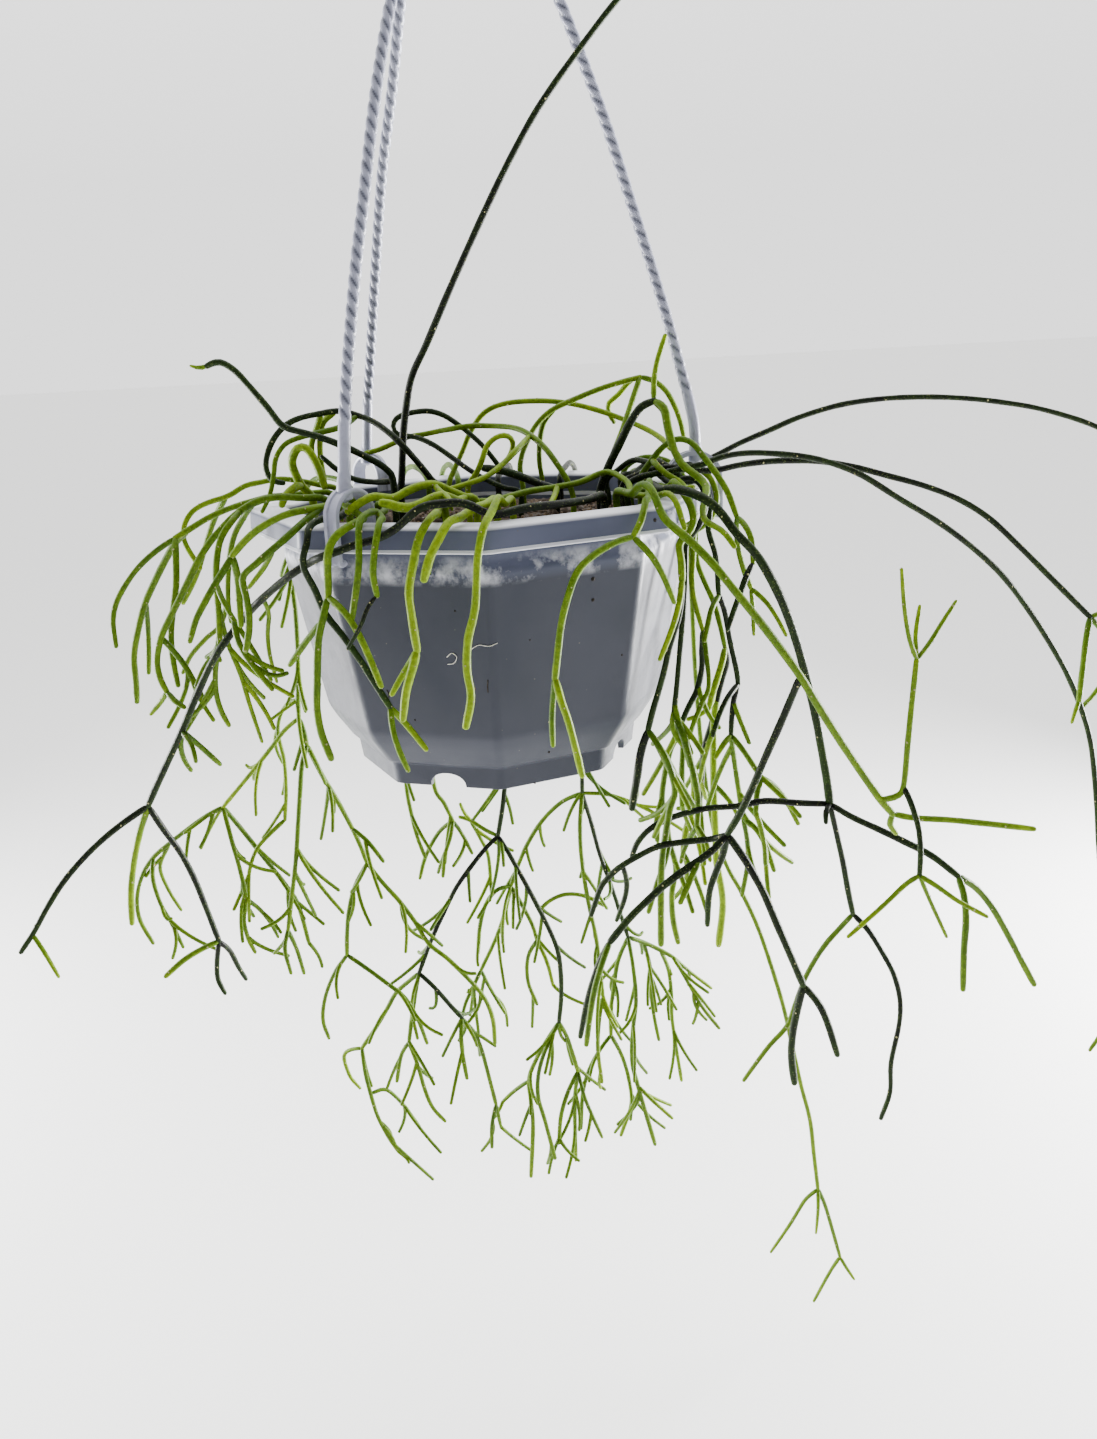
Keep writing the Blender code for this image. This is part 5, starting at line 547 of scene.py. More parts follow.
        (GREEN, 2.2, 2.2, (540, 911, -112), (551, 901, -118), (567, 895, -121), (586, 897, -123),
         (604, 906, -124)),
    ),
    "stems_behind_d": (
        (OLD, 2.6, 2.4, (560, 476, -42), (566, 466, -68), (571, 463, -94), (576, 477, -112),
         (580, 540, -122), (582, 640, -124), (582, 740, -124), (582, 793, -124)),
        (MATURE, 2.4, 2.4, (582, 793, -124), (562, 802, -129), (543, 820, -132), (528, 843, -134),
         (518, 866, -135), (511, 886, -136)),
        (MATURE, 2.6, 2.4, (511, 886, -136), (497, 890, -132), (486, 904, -130), (480, 926, -129),
         (478, 953, -128)),
        (MATURE, 2.4, 2.4, (511, 886, -136), (505, 912, -139), (496, 938, -141), (481, 970, -142)),
        (MATURE, 2.2, 2.0, (481, 970, -142), (474, 985, -139), (465, 1005, -137), (461, 1028, -136),
         (463, 1052, -136)),
        (MATURE, 2.2, 2.0, (481, 970, -142), (490, 988, -146), (505, 1013, -148)),
        (MATURE, 2.4, 2.4, (511, 886, -136), (522, 905, -132), (532, 924, -130), (537, 940, -129)),
        (MATURE, 2.4, 2.2, (537, 940, -129), (528, 957, -132), (528, 981, -133), (537, 1004, -134)),
        (GREEN, 2.4, 2.2, (537, 940, -129), (547, 962, -126), (553, 985, -125)),
        (GREEN, 2.0, 1.8, (582, 793, -124), (610, 795, -128), (640, 806, -131), (670, 822, -133),
         (700, 842, -135)),
        (MATURE, 2.4, 2.4, (582, 793, -124), (580, 828, -119), (582, 862, -117), (588, 900, -116),
         (596, 937, -115), (600, 970, -115), (603, 996, -115)),
        (GREEN, 2.4, 2.2, (603, 996, -115), (599, 1022, -111), (598, 1050, -109), (602, 1082, -108)),
        (OLD, 2.6, 2.6, (582, 793, -124), (591, 822, -130), (600, 855, -133), (612, 888, -135),
         (628, 937, -137)),
        (MATURE, 2.6, 2.6, (628, 937, -137), (618, 961, -140), (614, 986, -141), (611, 1010, -142),
         (611, 1035, -142)),
        (MATURE, 2.4, 2.4, (611, 1035, -142), (600, 1050, -138), (590, 1068, -136), (583, 1092, -135),
         (581, 1128, -135)),
        (MATURE, 2.6, 2.4, (611, 1035, -142), (622, 1056, -145), (629, 1080, -146), (631, 1105, -147),
         (621, 1135, -147)),
        (MATURE, 2.6, 2.8, (628, 937, -137), (633, 966, -132), (636, 1000, -130), (633, 1030, -129),
         (632, 1060, -129), (638, 1086, -129), (655, 1144, -129)),
        (GREEN, 2.4, 2.2, (638, 1086, -129), (653, 1101, -125), (672, 1118, -123)),
        (MATURE, 2.6, 2.6, (628, 937, -137), (645, 943, -142), (660, 950, -144), (673, 957, -145)),
        (MATURE, 2.4, 2.2, (673, 957, -145), (683, 973, -142), (693, 991, -141), (703, 1008, -140),
         (719, 1028, -140)),
        (GREEN, 2.2, 2.0, (673, 957, -145), (690, 972, -149), (711, 988, -151)),
        (MATURE, 2.4, 2.2, (645, 943, -142), (651, 966, -146), (652, 991, -148), (655, 1015, -149),
         (660, 1040, -149)),
        (MATURE, 2.4, 2.2, (660, 950, -144), (668, 970, -152), (671, 995, -154), (672, 1022, -155),
         (681, 1080, -156)),
    ),
}

# Each arm of the hanger: degrees from the front, to the right, and (distance from the pot's axis, height).
ARMS: dict[str, tuple[float, tuple[tuple[float, float], ...]]] = {
    "arm_front_left": (-35.5, ((100.6, 14.0), (97.9, 35.0), (94.7, 51.7), (89.9, 72.0), (80.6, 106.0),
                               (71.5, 134.0), (61.0, 167.5), (50.7, 195.0), (41.3, 217.0), (27.6, 250.0),
                               (14.8, 276.0), (6.9, 292.0), (4.9, 297.0))),
    "arm_back_left": (-143.3, ((101.4, 14.0), (96.3, 42.0), (90.7, 62.7), (79.8, 103.6), (66.1, 151.7),
                               (51.4, 189.5), (38.7, 226.0), (25.8, 254.0), (15.1, 276.0), (6.9, 292.0),
                               (4.9, 297.0))),
    "arm_right": (88.0, ((103.6, 14.0), (103.2, 28.0), (100.8, 41.0), (97.8, 53.0), (92.4, 75.0),
                         (84.8, 102.0), (75.5, 133.0), (66.5, 163.0), (56.0, 193.0), (47.0, 217.0),
                         (31.0, 252.0), (16.0, 277.0), (6.5, 292.0), (4.6, 297.0))),
}


def unit(vectors: np.ndarray) -> np.ndarray:
    """Gives directions.

    Args:
        vectors: A vector, or an array with one in each row.

    Returns:
        The same, each of length 1.
    """
    if vectors.ndim == 1:
        return vectors / np.linalg.norm(vectors)
    return vectors / np.linalg.norm(vectors, axis=1)[:, None]


def sideways(turn: float) -> np.ndarray:
    """Gives the level direction across an arm that stands at a turn, in degrees."""
    angle = math.radians(turn)
    return np.array([math.cos(angle), math.sin(angle), 0.0])


def turned(turn: float, out: float, height: float) -> StemPoint:
    """Places a point round the pot's axis.

    Args:
        turn: Degrees from the front, to the right.
        out: Distance from the axis.
        height: Height over the rim.

    Returns:
        The point.
    """
    angle = math.radians(turn)
    return (out * math.sin(angle), -out * math.cos(angle), height)


def spaced(line: np.ndarray, step: float) -> np.ndarray:
    """Spaces the points of a line evenly.

    Args:
        line: The line's points.
        step: The distance to leave between them.

    Returns:
        The new points.
    """
    along = np.concatenate([[0], np.cumsum(np.linalg.norm(np.diff(line, axis=0), axis=1))])
    count = max(2, int(round(along[-1] / step)) + 1)
    marks = np.linspace(0, along[-1], count)
    return np.stack([np.interp(marks, along, line[:, axis]) for axis in range(3)], axis=1)


def smooth_line(points: Any, step: float) -> np.ndarray:
    """Draws a smooth curve through points.

    Args:
        points: The points that it goes through.
        step: The distance between the points of the result.

    Returns:
        Evenly spaced points along the curve.
    """
    points = np.asarray(points, float)
    ends = np.vstack([2 * points[0] - points[1], points, 2 * points[-1] - points[-2]])
    line = []
    for index in range(1, len(ends) - 2):
        before, start, end, after = ends[index - 1 : index + 3]
        for part in np.linspace(0, 1, CURVE_PARTS + 1)[:-1]:
            line.append(0.5 * (2 * start + (end - before) * part
                               + (2 * before - 5 * start + 4 * end - after) * part**2
                               + (3 * start - before - 3 * end + after) * part**3))
    line.append(points[-1])
    return spaced(np.array(line), step)


@dataclass(frozen=True)
class SightLine:
    """Where the eye stands in front of the pot, how it is turned, and what one picture unit spans."""

    eye: StemPoint = (0.0, -684.2, 80.7)
    yaw: float = 2.19
    pitch: float = -15.95
    roll: float = -3.0
    scale: float = 1402.0
    width: float = 1097.0
    height: float = 1439.0

    def axes(self) -> tuple[np.ndarray, np.ndarray, np.ndarray]:
        """Gives the eye's own directions.

        Returns:
            The forward, right and up directions.
        """
        yaw, pitch, roll = (math.radians(angle) for angle in (self.yaw, self.pitch, self.roll))
        forward = np.array([math.sin(yaw) * math.cos(pitch), math.cos(yaw) * math.cos(pitch),
                            math.sin(pitch)])
        flat = np.array([math.cos(yaw), -math.sin(yaw), 0.0])
        upright = np.cross(flat, forward)
        right = math.cos(roll) * flat + math.sin(roll) * upright
        up = math.cos(roll) * upright - math.sin(roll) * flat
        return forward, right, up

    def place(self, x: float, y: float, depth: float) -> np.ndarray:
        """Finds a point on a line of sight.

        Args:
            x: The line's place across the picture.
            y: The line's place down the picture.
            depth: How far the point stands in front of the pot's axis.

        Returns:
            The point, in millimetres.
        """
        forward, right, up = self.axes()
        ray = forward * self.scale + (x - self.width / 2) * right + (self.height / 2 - y) * up
        eye = np.array(self.eye)
        return eye + ray * (-depth - eye[1]) / ray[1]


@dataclass(frozen=True)
class PotShape:
    """The pot's sizes, from the top of its rim. Radii run to the corners of its octagon."""

    corner_turn: float = -90.0
    face: float = math.cos(math.radians(OCTANT / 2))
    rim_radius: float = 113.4
    rim_depth: float = 11.0
    lip_radius: float = 114.2
    neck_radius: float = 97.0
    neck_z: float = -17.0
    ledge_radius: float = 98.8
    ledge_z: float = -21.5
    inner_top: float = 95.0
    shoulder_z: float = -26.0
    shoulder_radius: float = 98.0
    panel_end_z: float = -99.0
    panel_end_radius: float = 84.0
    foot_top_z: float = -117.0
    foot_top_radius: float = 70.5
    foot_z: float = -127.7
    foot_radius: float = 69.0
    floor_z: float = -113.0
    soil_edge_z: float = -14.0
    soil_centre_z: float = -10.0
    soil_depth: float = 20.0
    under_foot: float = 6.0
    wall_margin: float = 2.0
    rim_middle_z: float = -5.0

    def normals(self) -> np.ndarray:
        """Gives the outward directions of the eight faces."""
        turns = [math.radians(self.corner_turn + OCTANT * (index + 0.5)) for index in range(CORNERS)]
        return np.array([[math.cos(turn), math.sin(turn)] for turn in turns])

    def wall_reach(self, height: np.ndarray) -> np.ndarray:
        """Gives how far a face's middle stands from the axis.

        Args:
            height: The heights to give it for.

        Returns:
            The distances.
        """
        heights = (self.foot_z, self.foot_top_z, self.panel_end_z, self.shoulder_z, self.ledge_z,
                   self.neck_z, -self.rim_depth)
        radii = (self.foot_radius, self.foot_top_radius, self.panel_end_radius, self.shoulder_radius,
                 self.ledge_radius, self.neck_radius, self.neck_radius)
        return np.interp(height, heights, radii) * self.face

    def clearing_moves(self, places: np.ndarray, reach: np.ndarray) -> np.ndarray:
        """Works out the moves that take points off the wall, out of the soil and off the rim.

        Args:
            places: The points.
            reach: The room that each of them needs.

        Returns:
            A move for each point.
        """
        normals = self.normals()
        facing = places[:, :2] @ normals.T
        out = facing.max(axis=1)
        height = places[:, 2]
        outward = np.concatenate([normals[facing.argmax(axis=1)], np.zeros((len(places), 1))], axis=1)
        inner, outer = self.inner_top * self.face, self.lip_radius * self.face
        wall = self.wall_reach(height) + reach
        moves = np.zeros_like(places)

        body = (height < -self.rim_depth + 1) & (height > self.foot_z - self.under_foot) & (out < wall)
        body &= (height < self.soil_edge_z - self.soil_depth) | (out > inner - self.wall_margin)
        moves[body] += outward[body] * (wall - out)[body, None]

        sunk = (height < self.soil_centre_z + reach) & (height > self.soil_edge_z - self.soil_depth)
        sunk &= out < inner - self.wall_margin
        moves[sunk, 2] += (self.soil_centre_z + reach - height)[sunk]

        aside = out - np.clip(out, inner, outer)
        upward = height - np.clip(height, -self.rim_depth, 0.0)
        distance = np.hypot(aside, upward)
        within = (distance < 1e-6) & (height > -self.rim_depth)
        beside = (distance < reach) & ~within
        scale = (reach - distance) / np.maximum(distance, 1e-6)
        moves[beside] += outward[beside] * (aside * scale)[beside, None]
        moves[beside, 2] += (upward * scale)[beside]
        lift = within & (height > self.rim_middle_z)
        moves[lift, 2] += (reach - height)[lift]
        push = within & (height <= self.rim_middle_z)
        moves[push] += outward[push] * (outer + reach - out)[push, None]
        return moves


@dataclass(frozen=True)
class HangerShape:
    """The hanger's sizes."""

    pot: PotShape = PotShape()
    arm_width: float = 5.4
    clip_width: float = 7.5
    clip_band: float = 2.2
    clip_room: float = 2.2
    clip_inside_room: float = 3.4
    clip_shoulder: float = 4.0
    clip_posts: tuple[float, ...] = (-2.4, 0.0, 2.4)
    clip_post_room: float = 1.9
    clip_post_step: float = 2.0
    hub_z: float = 291.0
    hub_height: float = 13.0
    hub_radius: float = 11.0
    hook_radius: float = 15.0
    hook_width: float = 4.8

    def arm_line(self, name: str, step: float) -> np.ndarray:
        """Gives an arm's centre line.

        Args:
            name: The arm's node.
            step: The distance between its points.

        Returns:
            The points.
        """
        turn, line = ARMS[name]
        return smooth_line([turned(turn, out, height) for out, height in line], step)

    def clip_line(self, turn: float) -> list[StemPoint]:
        """Gives the centre line of the clip over the rim.

        Args:
            turn: Degrees from the front, to the right.

        Returns:
            The points, from the barb outside the rim to the leg inside it.
        """
        slant = math.cos(math.radians(turn % OCTANT - OCTANT / 2))
        outer = self.pot.lip_radius * self.pot.face / slant + self.clip_room
        inner = self.pot.inner_top * self.pot.face / slant - self.clip_inside_room
        middle, half = (outer + inner) / 2, (outer - inner) / 2
        high = self.clip_shoulder
        line = [(outer - 3.2, -14.6), (outer - 1.0, -15.4), (outer, -13.6), (outer, high)]
        for index in range(1, 8):
            angle = math.pi * index / 8
            line.append((middle + half * math.cos(angle), high + half * 0.9 * math.sin(angle)))
        line += [(inner, high), (inner, -3.0)]
        return [turned(turn, out, height) for out, height in line]

    def posts(self, step: float) -> tuple[np.ndarray, np.ndarray]:
        """Gives points along the hanger for the stems to keep clear of.

        Args:
            step: The distance between the points of an arm.

        Returns:
            The points, and the room that each one needs.
        """
        places, rooms = [], []
        for name, (turn, _) in ARMS.items():
            arm = self.arm_line(name, step)
            places.append(arm)
            rooms.append(np.full(len(arm), self.arm_width / 2))
            clip = spaced(np.array(self.clip_line(turn)), self.clip_post_step)
            for shift in self.clip_posts:
                places.append(clip + sideways(turn) * shift)
                rooms.append(np.full(len(clip), self.clip_post_room))
        return np.concatenate(places), np.concatenate(rooms)


@dataclass(eq=False)
class Branch:
    """One stem of a spray: its age, its widths, its line, and where on which stem it grows."""

    tone: Tone
    start: float
    end: float
    line: np.ndarray
    held: int = 0
    parent: Branch | None = None
    knot: int = 0
    marks: dict[StemPoint, int] = field(default_factory=dict)

    def widths(self) -> np.ndarray:
        """Gives the width at each point of the line."""
        return np.linspace(self.start, self.end, len(self.line))


@dataclass
class StemLayout:
    """Places every spray of stems, and bends them clear of each other, the pot and the hanger."""

    sight: SightLine
    pot: PotShape
    hanger: HangerShape
    step: float = 3.5
    pot_room: float = 1.0
    clearance: float = 1.8
    slack: float = 0.7
    rounds: int = 120
    search_every: int = 10
    near_stem: float = 16.0
    near_post: float = 18.0
    block: int = 500
    rim_crossing: float = 0.3
    rim_band: float = 22.0
    rim_inside: float = 55.0
    same_depth: float = 0.05
    pair_push: float = 0.25
    post_push: float = 0.4
    longest_move: float = 3.0
    softening: int = 5
    stride: float = 1.5
    root_depths: tuple[float, ...] = (13.0, 4.0)
    hole_top_z: float = -7.5
    hole_wall: float = 3.0
    hole_gap: float = 2.6
    hole_rounds: int = 200

    def build(self) -> dict[str, list[Branch]]:
        """Lays out the whole plant.

        Returns:
            The stems of each spray, under the name of its node.
        """
        roots = self.standing_points()
        sprays = {name: self.traced(spray, roots[name]) for name, spray in SPRAYS.items()}
        self.bend_clear(sprays)
        return sprays

    def standing_points(self) -> dict[str, np.ndarray]:
        """Finds where each spray stands in the soil: below its first point, inside the pot and apart.

        Returns:
            A point of the soil for each spray.
        """
        points = np.array([self.sight.place(*spray[0][3])[:2] for spray in SPRAYS.values()])
        room = np.array([spray[0][1] / 2 for spray in SPRAYS.values()])
        normals = self.pot.normals()
        for _ in range(self.hole_rounds):
            facing = points @ normals.T
            beyond = facing.max(axis=1) - (self.pot.inner_top * self.pot.face - self.hole_wall - room)
            points -= normals[facing.argmax(axis=1)] * np.maximum(beyond, 0)[:, None]
            apart = points[:, None] - points[None]
            distance = np.linalg.norm(apart, axis=2) + np.eye(len(points)) * 99
            short = np.maximum(room[:, None] + room[None] + self.hole_gap - distance, 0)
            points += (apart / distance[..., None] * short[..., None] * 0.25).sum(axis=1)
        return dict(zip(SPRAYS, points))

    def traced(self, spray: tuple[StemRoute, ...], root: np.ndarray) -> list[Branch]:
        """Places a spray's stems in space and ties them to the stems that they grow from.

        Args:
            spray: The spray's routes.
            root: Where it stands in the soil.

        Returns:
            Its stems.
        """
        branches: list[Branch] = []
        for tone, start, end, *points in spray:
            places = [self.sight.place(*point) for point in points]
            parents = [earlier for earlier in branches if points[0] in earlier.marks]
            if parents:
                branch = Branch(tone, start, end, smooth_line(places, self.step), parent=parents[-1],
                                knot=parents[-1].marks[points[0]])
            else:
                heights = [self.pot.soil_edge_z - depth for depth in self.root_depths] + [self.hole_top_z]
                below: list[Any] = [(*root, height) for height in heights]
                branch = Branch(tone, start, end, smooth_line(below + places, self.step))
                branch.held = int(np.argmax(branch.line[:, 2] > self.hole_top_z))
                branch.line[: branch.held, :2] = root
            for point, place in zip(points, places):
                branch.marks[point] = int(np.linalg.norm(branch.line - place, axis=1).argmin())
            branches.append(branch)
        return branches

    def bend_clear(self, sprays: dict[str, list[Branch]]) -> None:
        """Bends the stems, mostly in depth, until the sprays pass each other and all else.

        Args:
            sprays: The stems of each spray, whose lines are changed.
        """
        branches = [branch for spray in sprays.values() for branch in spray]
        owner = np.concatenate([np.full(len(b.line), n) for n, s in enumerate(sprays.values()) for b in s])
        room = np.concatenate([branch.widths() / 2 for branch in branches])
        held = np.concatenate([np.arange(len(b.line)) < b.held for b in branches])
        ends = np.cumsum([len(branch.line) for branch in branches])[:-1]
        fixed, fixed_room = self.hanger.posts(self.step)
        for turn in range(self.rounds):
            places = np.concatenate([branch.line for branch in branches])
            if turn % self.search_every == 0:
                pairs = self.near_pairs(places, owner)
                posts = self.near_posts(places, fixed)
            moves = self.pot.clearing_moves(places, room + self.pot_room)
            tangents = unit(np.concatenate([np.gradient(branch.line, axis=0) for branch in branches]))
            self.push_apart(moves, places, pairs, room, owner, tangents)
            self.push_off(moves, places, posts, room, fixed, fixed_room)
            length = np.linalg.norm(moves, axis=1)
            moves *= (np.minimum(length, self.longest_move) / np.maximum(length, 1e-9))[:, None]
            moves[held] = 0
            for branch, part in zip(branches, np.split(moves, ends)):
                for _ in range(self.softening):
                    padded = np.vstack([part[:1], part, part[-1:]])
                    part = 0.25 * padded[:-2] + 0.5 * padded[1:-1] + 0.25 * padded[2:]
                    part[: branch.held] = 0
                branch.line = branch.line + part * self.stride
            for branch in branches:
                if branch.parent is not None:
                    branch.line += branch.parent.line[branch.knot] - branch.line[0]

    def push_apart(self, moves: np.ndarray, places: np.ndarray, pairs: tuple[Any, Any], room: np.ndarray,
                   owner: np.ndarray, tangents: np.ndarray) -> None:
        """Adds the moves that part stems of different sprays.

        Args:
            moves: The moves so far, which are changed.
            places: All the points of the stems.
            pairs: The points that may touch.
            room: Half the stem's width at each point.
            owner: The spray of each point.
            tangents: The stem's direction at each point.
        """
        one, two = pairs
        apart = places[one] - places[two]
        need = room[one] + room[two] + self.clearance + self.slack
        touching = np.linalg.norm(apart, axis=1) < need
        one, two, apart, need = one[touching], two[touching], apart[touching], need[touching]
        along = self.passing_direction(places, one, two, tangents)
        deep = np.einsum("ij,ij->i", apart, along)
        across = np.sqrt(np.maximum(np.einsum("ij,ij->i", apart, apart) - deep**2, 0))
        wanted = np.sqrt(np.maximum(need**2 - across**2, 0)) - np.abs(deep)
        by_owner = np.where(owner[one] < owner[two], 1.0, -1.0)
        side = np.where(np.abs(deep) > self.same_depth, np.sign(deep), by_owner)
        push = along * (side * wanted * self.pair_push)[:, None]
        np.add.at(moves, one, push)
        np.add.at(moves, two, -push)

    def push_off(self, moves: np.ndarray, places: np.ndarray, posts: tuple[Any, Any], room: np.ndarray,
                 fixed: np.ndarray, fixed_room: np.ndarray) -> None:
        """Adds the moves that take stems off the hanger.

        Args:
            moves: The moves so far, which are changed.
            places: All the points of the stems.
            posts: The points of stems and of the hanger that may touch.
            room: Half the stem's width at each point.
            fixed: The hanger's points.
            fixed_room: The room that each of them needs.
        """
        one, post = posts
        apart = places[one] - fixed[post]
        need = room[one] + fixed_room[post] + self.clearance + self.slack
        distance = np.linalg.norm(apart, axis=1)
        close = distance < need
        push = apart[close] * ((need - distance) / np.maximum(distance, 0.1))[close, None]
        np.add.at(moves, one[close], push * self.post_push)

    def passing_direction(self, places: np.ndarray, one: np.ndarray, two: np.ndarray,
                          tangents: np.ndarray) -> np.ndarray:
        """Gives the direction in which stems pass: over and under on the rim, else in depth.

        Args:
            places: All the points.
            one: The points of the first stems.
            two: The points of the second stems.
            tangents: The stems' directions at each point.

        Returns:
            One direction for each pair.
        """
        between = np.cross(tangents[one], tangents[two])
        size = np.linalg.norm(between, axis=1)
        at = places[one]
        on_rim = (size > self.rim_crossing) & (np.abs(at[:, 2]) < self.rim_band)
        on_rim &= np.hypot(at[:, 0], at[:, 1]) > self.rim_inside
        along = unit(at - np.array(self.sight.eye))
        over = between[on_rim] / size[on_rim][:, None]
        along[on_rim] = over * np.where(over[:, 2] < 0, -1.0, 1.0)[:, None]
        return along

    def near_pairs(self, places: np.ndarray, owner: np.ndarray) -> tuple[Any, Any]:
        """Finds points of different sprays that stand near each other, a block at a time.

        Args:
            places: All the points.
            owner: The spray of each point.

        Returns:
            The two points of each pair.
        """
        size = np.einsum("ij,ij->i", places, places)
        ones, twos = [], []
        for start in range(0, len(places), self.block):
            part = slice(start, start + self.block)
            squared = size[part, None] + size[None, start:] - 2 * places[part] @ places[start:].T
            one, two = np.nonzero(squared < self.near_stem**2)
            one, two = one + start, two + start
            keep = (one < two) & (owner[one] != owner[two])
            ones.append(one[keep])
            twos.append(two[keep])
        return np.concatenate(ones), np.concatenate(twos)

    def near_posts(self, places: np.ndarray, fixed: np.ndarray) -> tuple[Any, Any]:
        """Finds points of stems near points of the hanger.

        Args:
            places: The stems' points.
            fixed: The hanger's points.

        Returns:
            The two points of each pair.
        """
        squared = (places**2).sum(axis=1)[:, None] + (fixed**2).sum(axis=1)[None] - 2 * places @ fixed.T
        return np.nonzero(squared < self.near_post**2)


def linear(colour: str) -> tuple[float, float, float, float]:
    """Turns an sRGB hex colour to linear.

    Args:
        colour: The colour as "#rrggbb".

    Returns:
        Red, green, blue and a full alpha.
    """
    parts = [int(colour[start : start + 2], 16) / 255 for start in (1, 3, 5)]
    red, green, blue = (part / 12.92 if part <= 0.04045 else ((part + 0.055) / 1.055) ** 2.4
                        for part in parts)
    return red, green, blue, 1.0


def per_metre(size: float) -> float:
    """Gives a texture's scale from the size in millimetres of what it draws."""
    return 1.0 / (size * MM)


def add(tree: bpy.types.NodeTree, kind: str, inputs: dict[Any, Any] | None = None,
        **settings: Any) -> bpy.types.Node:
    """Adds a node with its settings, values and links.

    Args:
        tree: The tree that it goes in.
        kind: The node's type.
        inputs: For each input, by name or number, a value, or the output or node that feeds it.
        settings: The node's own settings.

    Returns:
        The node.
    """
    node = tree.nodes.new(kind)
    for name, value in settings.items():
        setattr(node, name, value)
    for key, value in (inputs or {}).items():
        if isinstance(value, bpy.types.Node):
            value = value.outputs[0]
        if isinstance(value, bpy.types.NodeSocket):
            tree.links.new(value, node.inputs[key])
        else:
            node.inputs[key].default_value = value
    return node


def ramp(tree: bpy.types.NodeTree, factor: Any, stops: tuple[tuple[float, str], ...]) -> bpy.types.NodeSocket:
    """Adds a colour ramp.

    Args:
        tree: The tree that it goes in.
        factor: The output or node that it reads.
        stops: A position and a hex colour for each stop.

    Returns:
        The ramp's colour.
    """
    node = add(tree, "ShaderNodeValToRGB", {"Fac": factor})
    elements = node.color_ramp.elements
    while len(elements) < len(stops):
        elements.new(0.5)
    for element, (position, colour) in zip(elements, stops):
        element.position = position
        element.color = linear(colour)
    return node.outputs["Color"]


@dataclass(frozen=True)
class Finish:
    """What a surface is made of. Each kind fills in its own nodes."""

    name: str

    def material(self) -> bpy.types.Material:
        """Makes the material, or gives the one already made.

        Returns:
            The material.
        """
        made = bpy.data.materials.get(self.name)
        if made is not None:
            return made
        made = bpy.data.materials.new(self.name)
        made.use_nodes = True
        tree = made.node_tree
        tree.nodes.clear()
        add(tree, "ShaderNodeOutputMaterial", {"Surface": self.surface(tree)})
        return made

    def surface(self, tree: bpy.types.NodeTree) -> bpy.types.Node:
        """Fills in the nodes.

        Args:
            tree: The material's tree.

        Returns:
            The shader.
        """
        raise NotImplementedError


@dataclass(frozen=True)
class WaxyStemSkin(Finish):
    """Skin of a succulent stem: waxy and half glossy, with pale pores, darker and duller with age."""

    name: str = "waxy_stem_skin"
    youngest: str = "#748e03"
    young: str = "#587404"
    middle: str = "#3b5804"
    mature: str = "#1d3205"
    oldest: str = "#050902"
    pore: str = "#9fb060"
    gloss: float = 0.18
    blotch_size: float = 9.0
    streak_size: float = 1.6
    pore_size: float = 1.3

    def surface(self, tree: bpy.types.NodeTree) -> bpy.types.Node:
        """Fills in the nodes: age sets the colour, noise mottles it, and pores dot it.

        Args:
            tree: The material's tree.

        Returns:
            The shader.
        """
        place = add(tree, "ShaderNodeTexCoord").outputs["Object"]
        age = add(tree, "ShaderNodeAttribute", attribute_name="age").outputs["Fac"]
        blotch = add(tree, "ShaderNodeTexNoise",
                     {"Vector": place, "Scale": per_metre(self.blotch_size), "Detail": 3.0})
        shift = add(tree, "ShaderNodeMath", {0: blotch, 1: 0.5}, operation="SUBTRACT")
        shifted = add(tree, "ShaderNodeMath", {0: shift, 1: 0.42, 2: age}, operation="MULTIPLY_ADD",
                      use_clamp=True)
        skin = ramp(tree, shifted, ((0.0, self.youngest), (0.18, self.young), (0.45, self.middle),
                                    (0.7, self.mature), (1.0, self.oldest)))
        streak = add(tree, "ShaderNodeTexNoise",
                     {"Vector": place, "Scale": per_metre(self.streak_size), "Detail": 2.0})
        darker = add(tree, "ShaderNodeMapRange",
                     {"Value": streak, "From Min": 0.3, "From Max": 0.7, "To Min": 0.72, "To Max": 1.18})
        mottled = add(tree, "ShaderNodeMix", {0: 1.0, 6: skin, 7: darker}, data_type="RGBA",
                      blend_type="MULTIPLY").outputs[2]
        pores = add(tree, "ShaderNodeTexVoronoi", {"Vector": place, "Scale": per_metre(self.pore_size)})
        dot = add(tree, "ShaderNodeMapRange",
                  {"Value": pores, "From Min": 0.16, "From Max": 0.3, "To Min": 0.14, "To Max": 0.0})
        dotted = add(tree, "ShaderNodeMix", {0: dot, 6: mottled, 7: linear(self.pore)},
                     data_type="RGBA").outputs[2]
        rough = add(tree, "ShaderNodeMapRange",
                    {"Value": streak, "From Min": 0.3, "From Max": 0.7, "To Min": 0.4, "To Max": 0.6})
        relief = add(tree, "ShaderNodeBump", {"Strength": 0.35, "Distance": 0.25 * MM, "Height": streak})
        raised = add(tree, "ShaderNodeBump",
                     {"Strength": 0.4, "Distance": 0.15 * MM, "Height": dot, "Normal": relief})
        return add(tree, "ShaderNodeBsdfPrincipled",
                   {"Base Color": dotted, "Roughness": rough, "IOR": 1.4, "Specular IOR Level": self.gloss,
                    "Subsurface Weight": 0.06, "Subsurface Scale": 1.2 * MM, "Normal": raised})


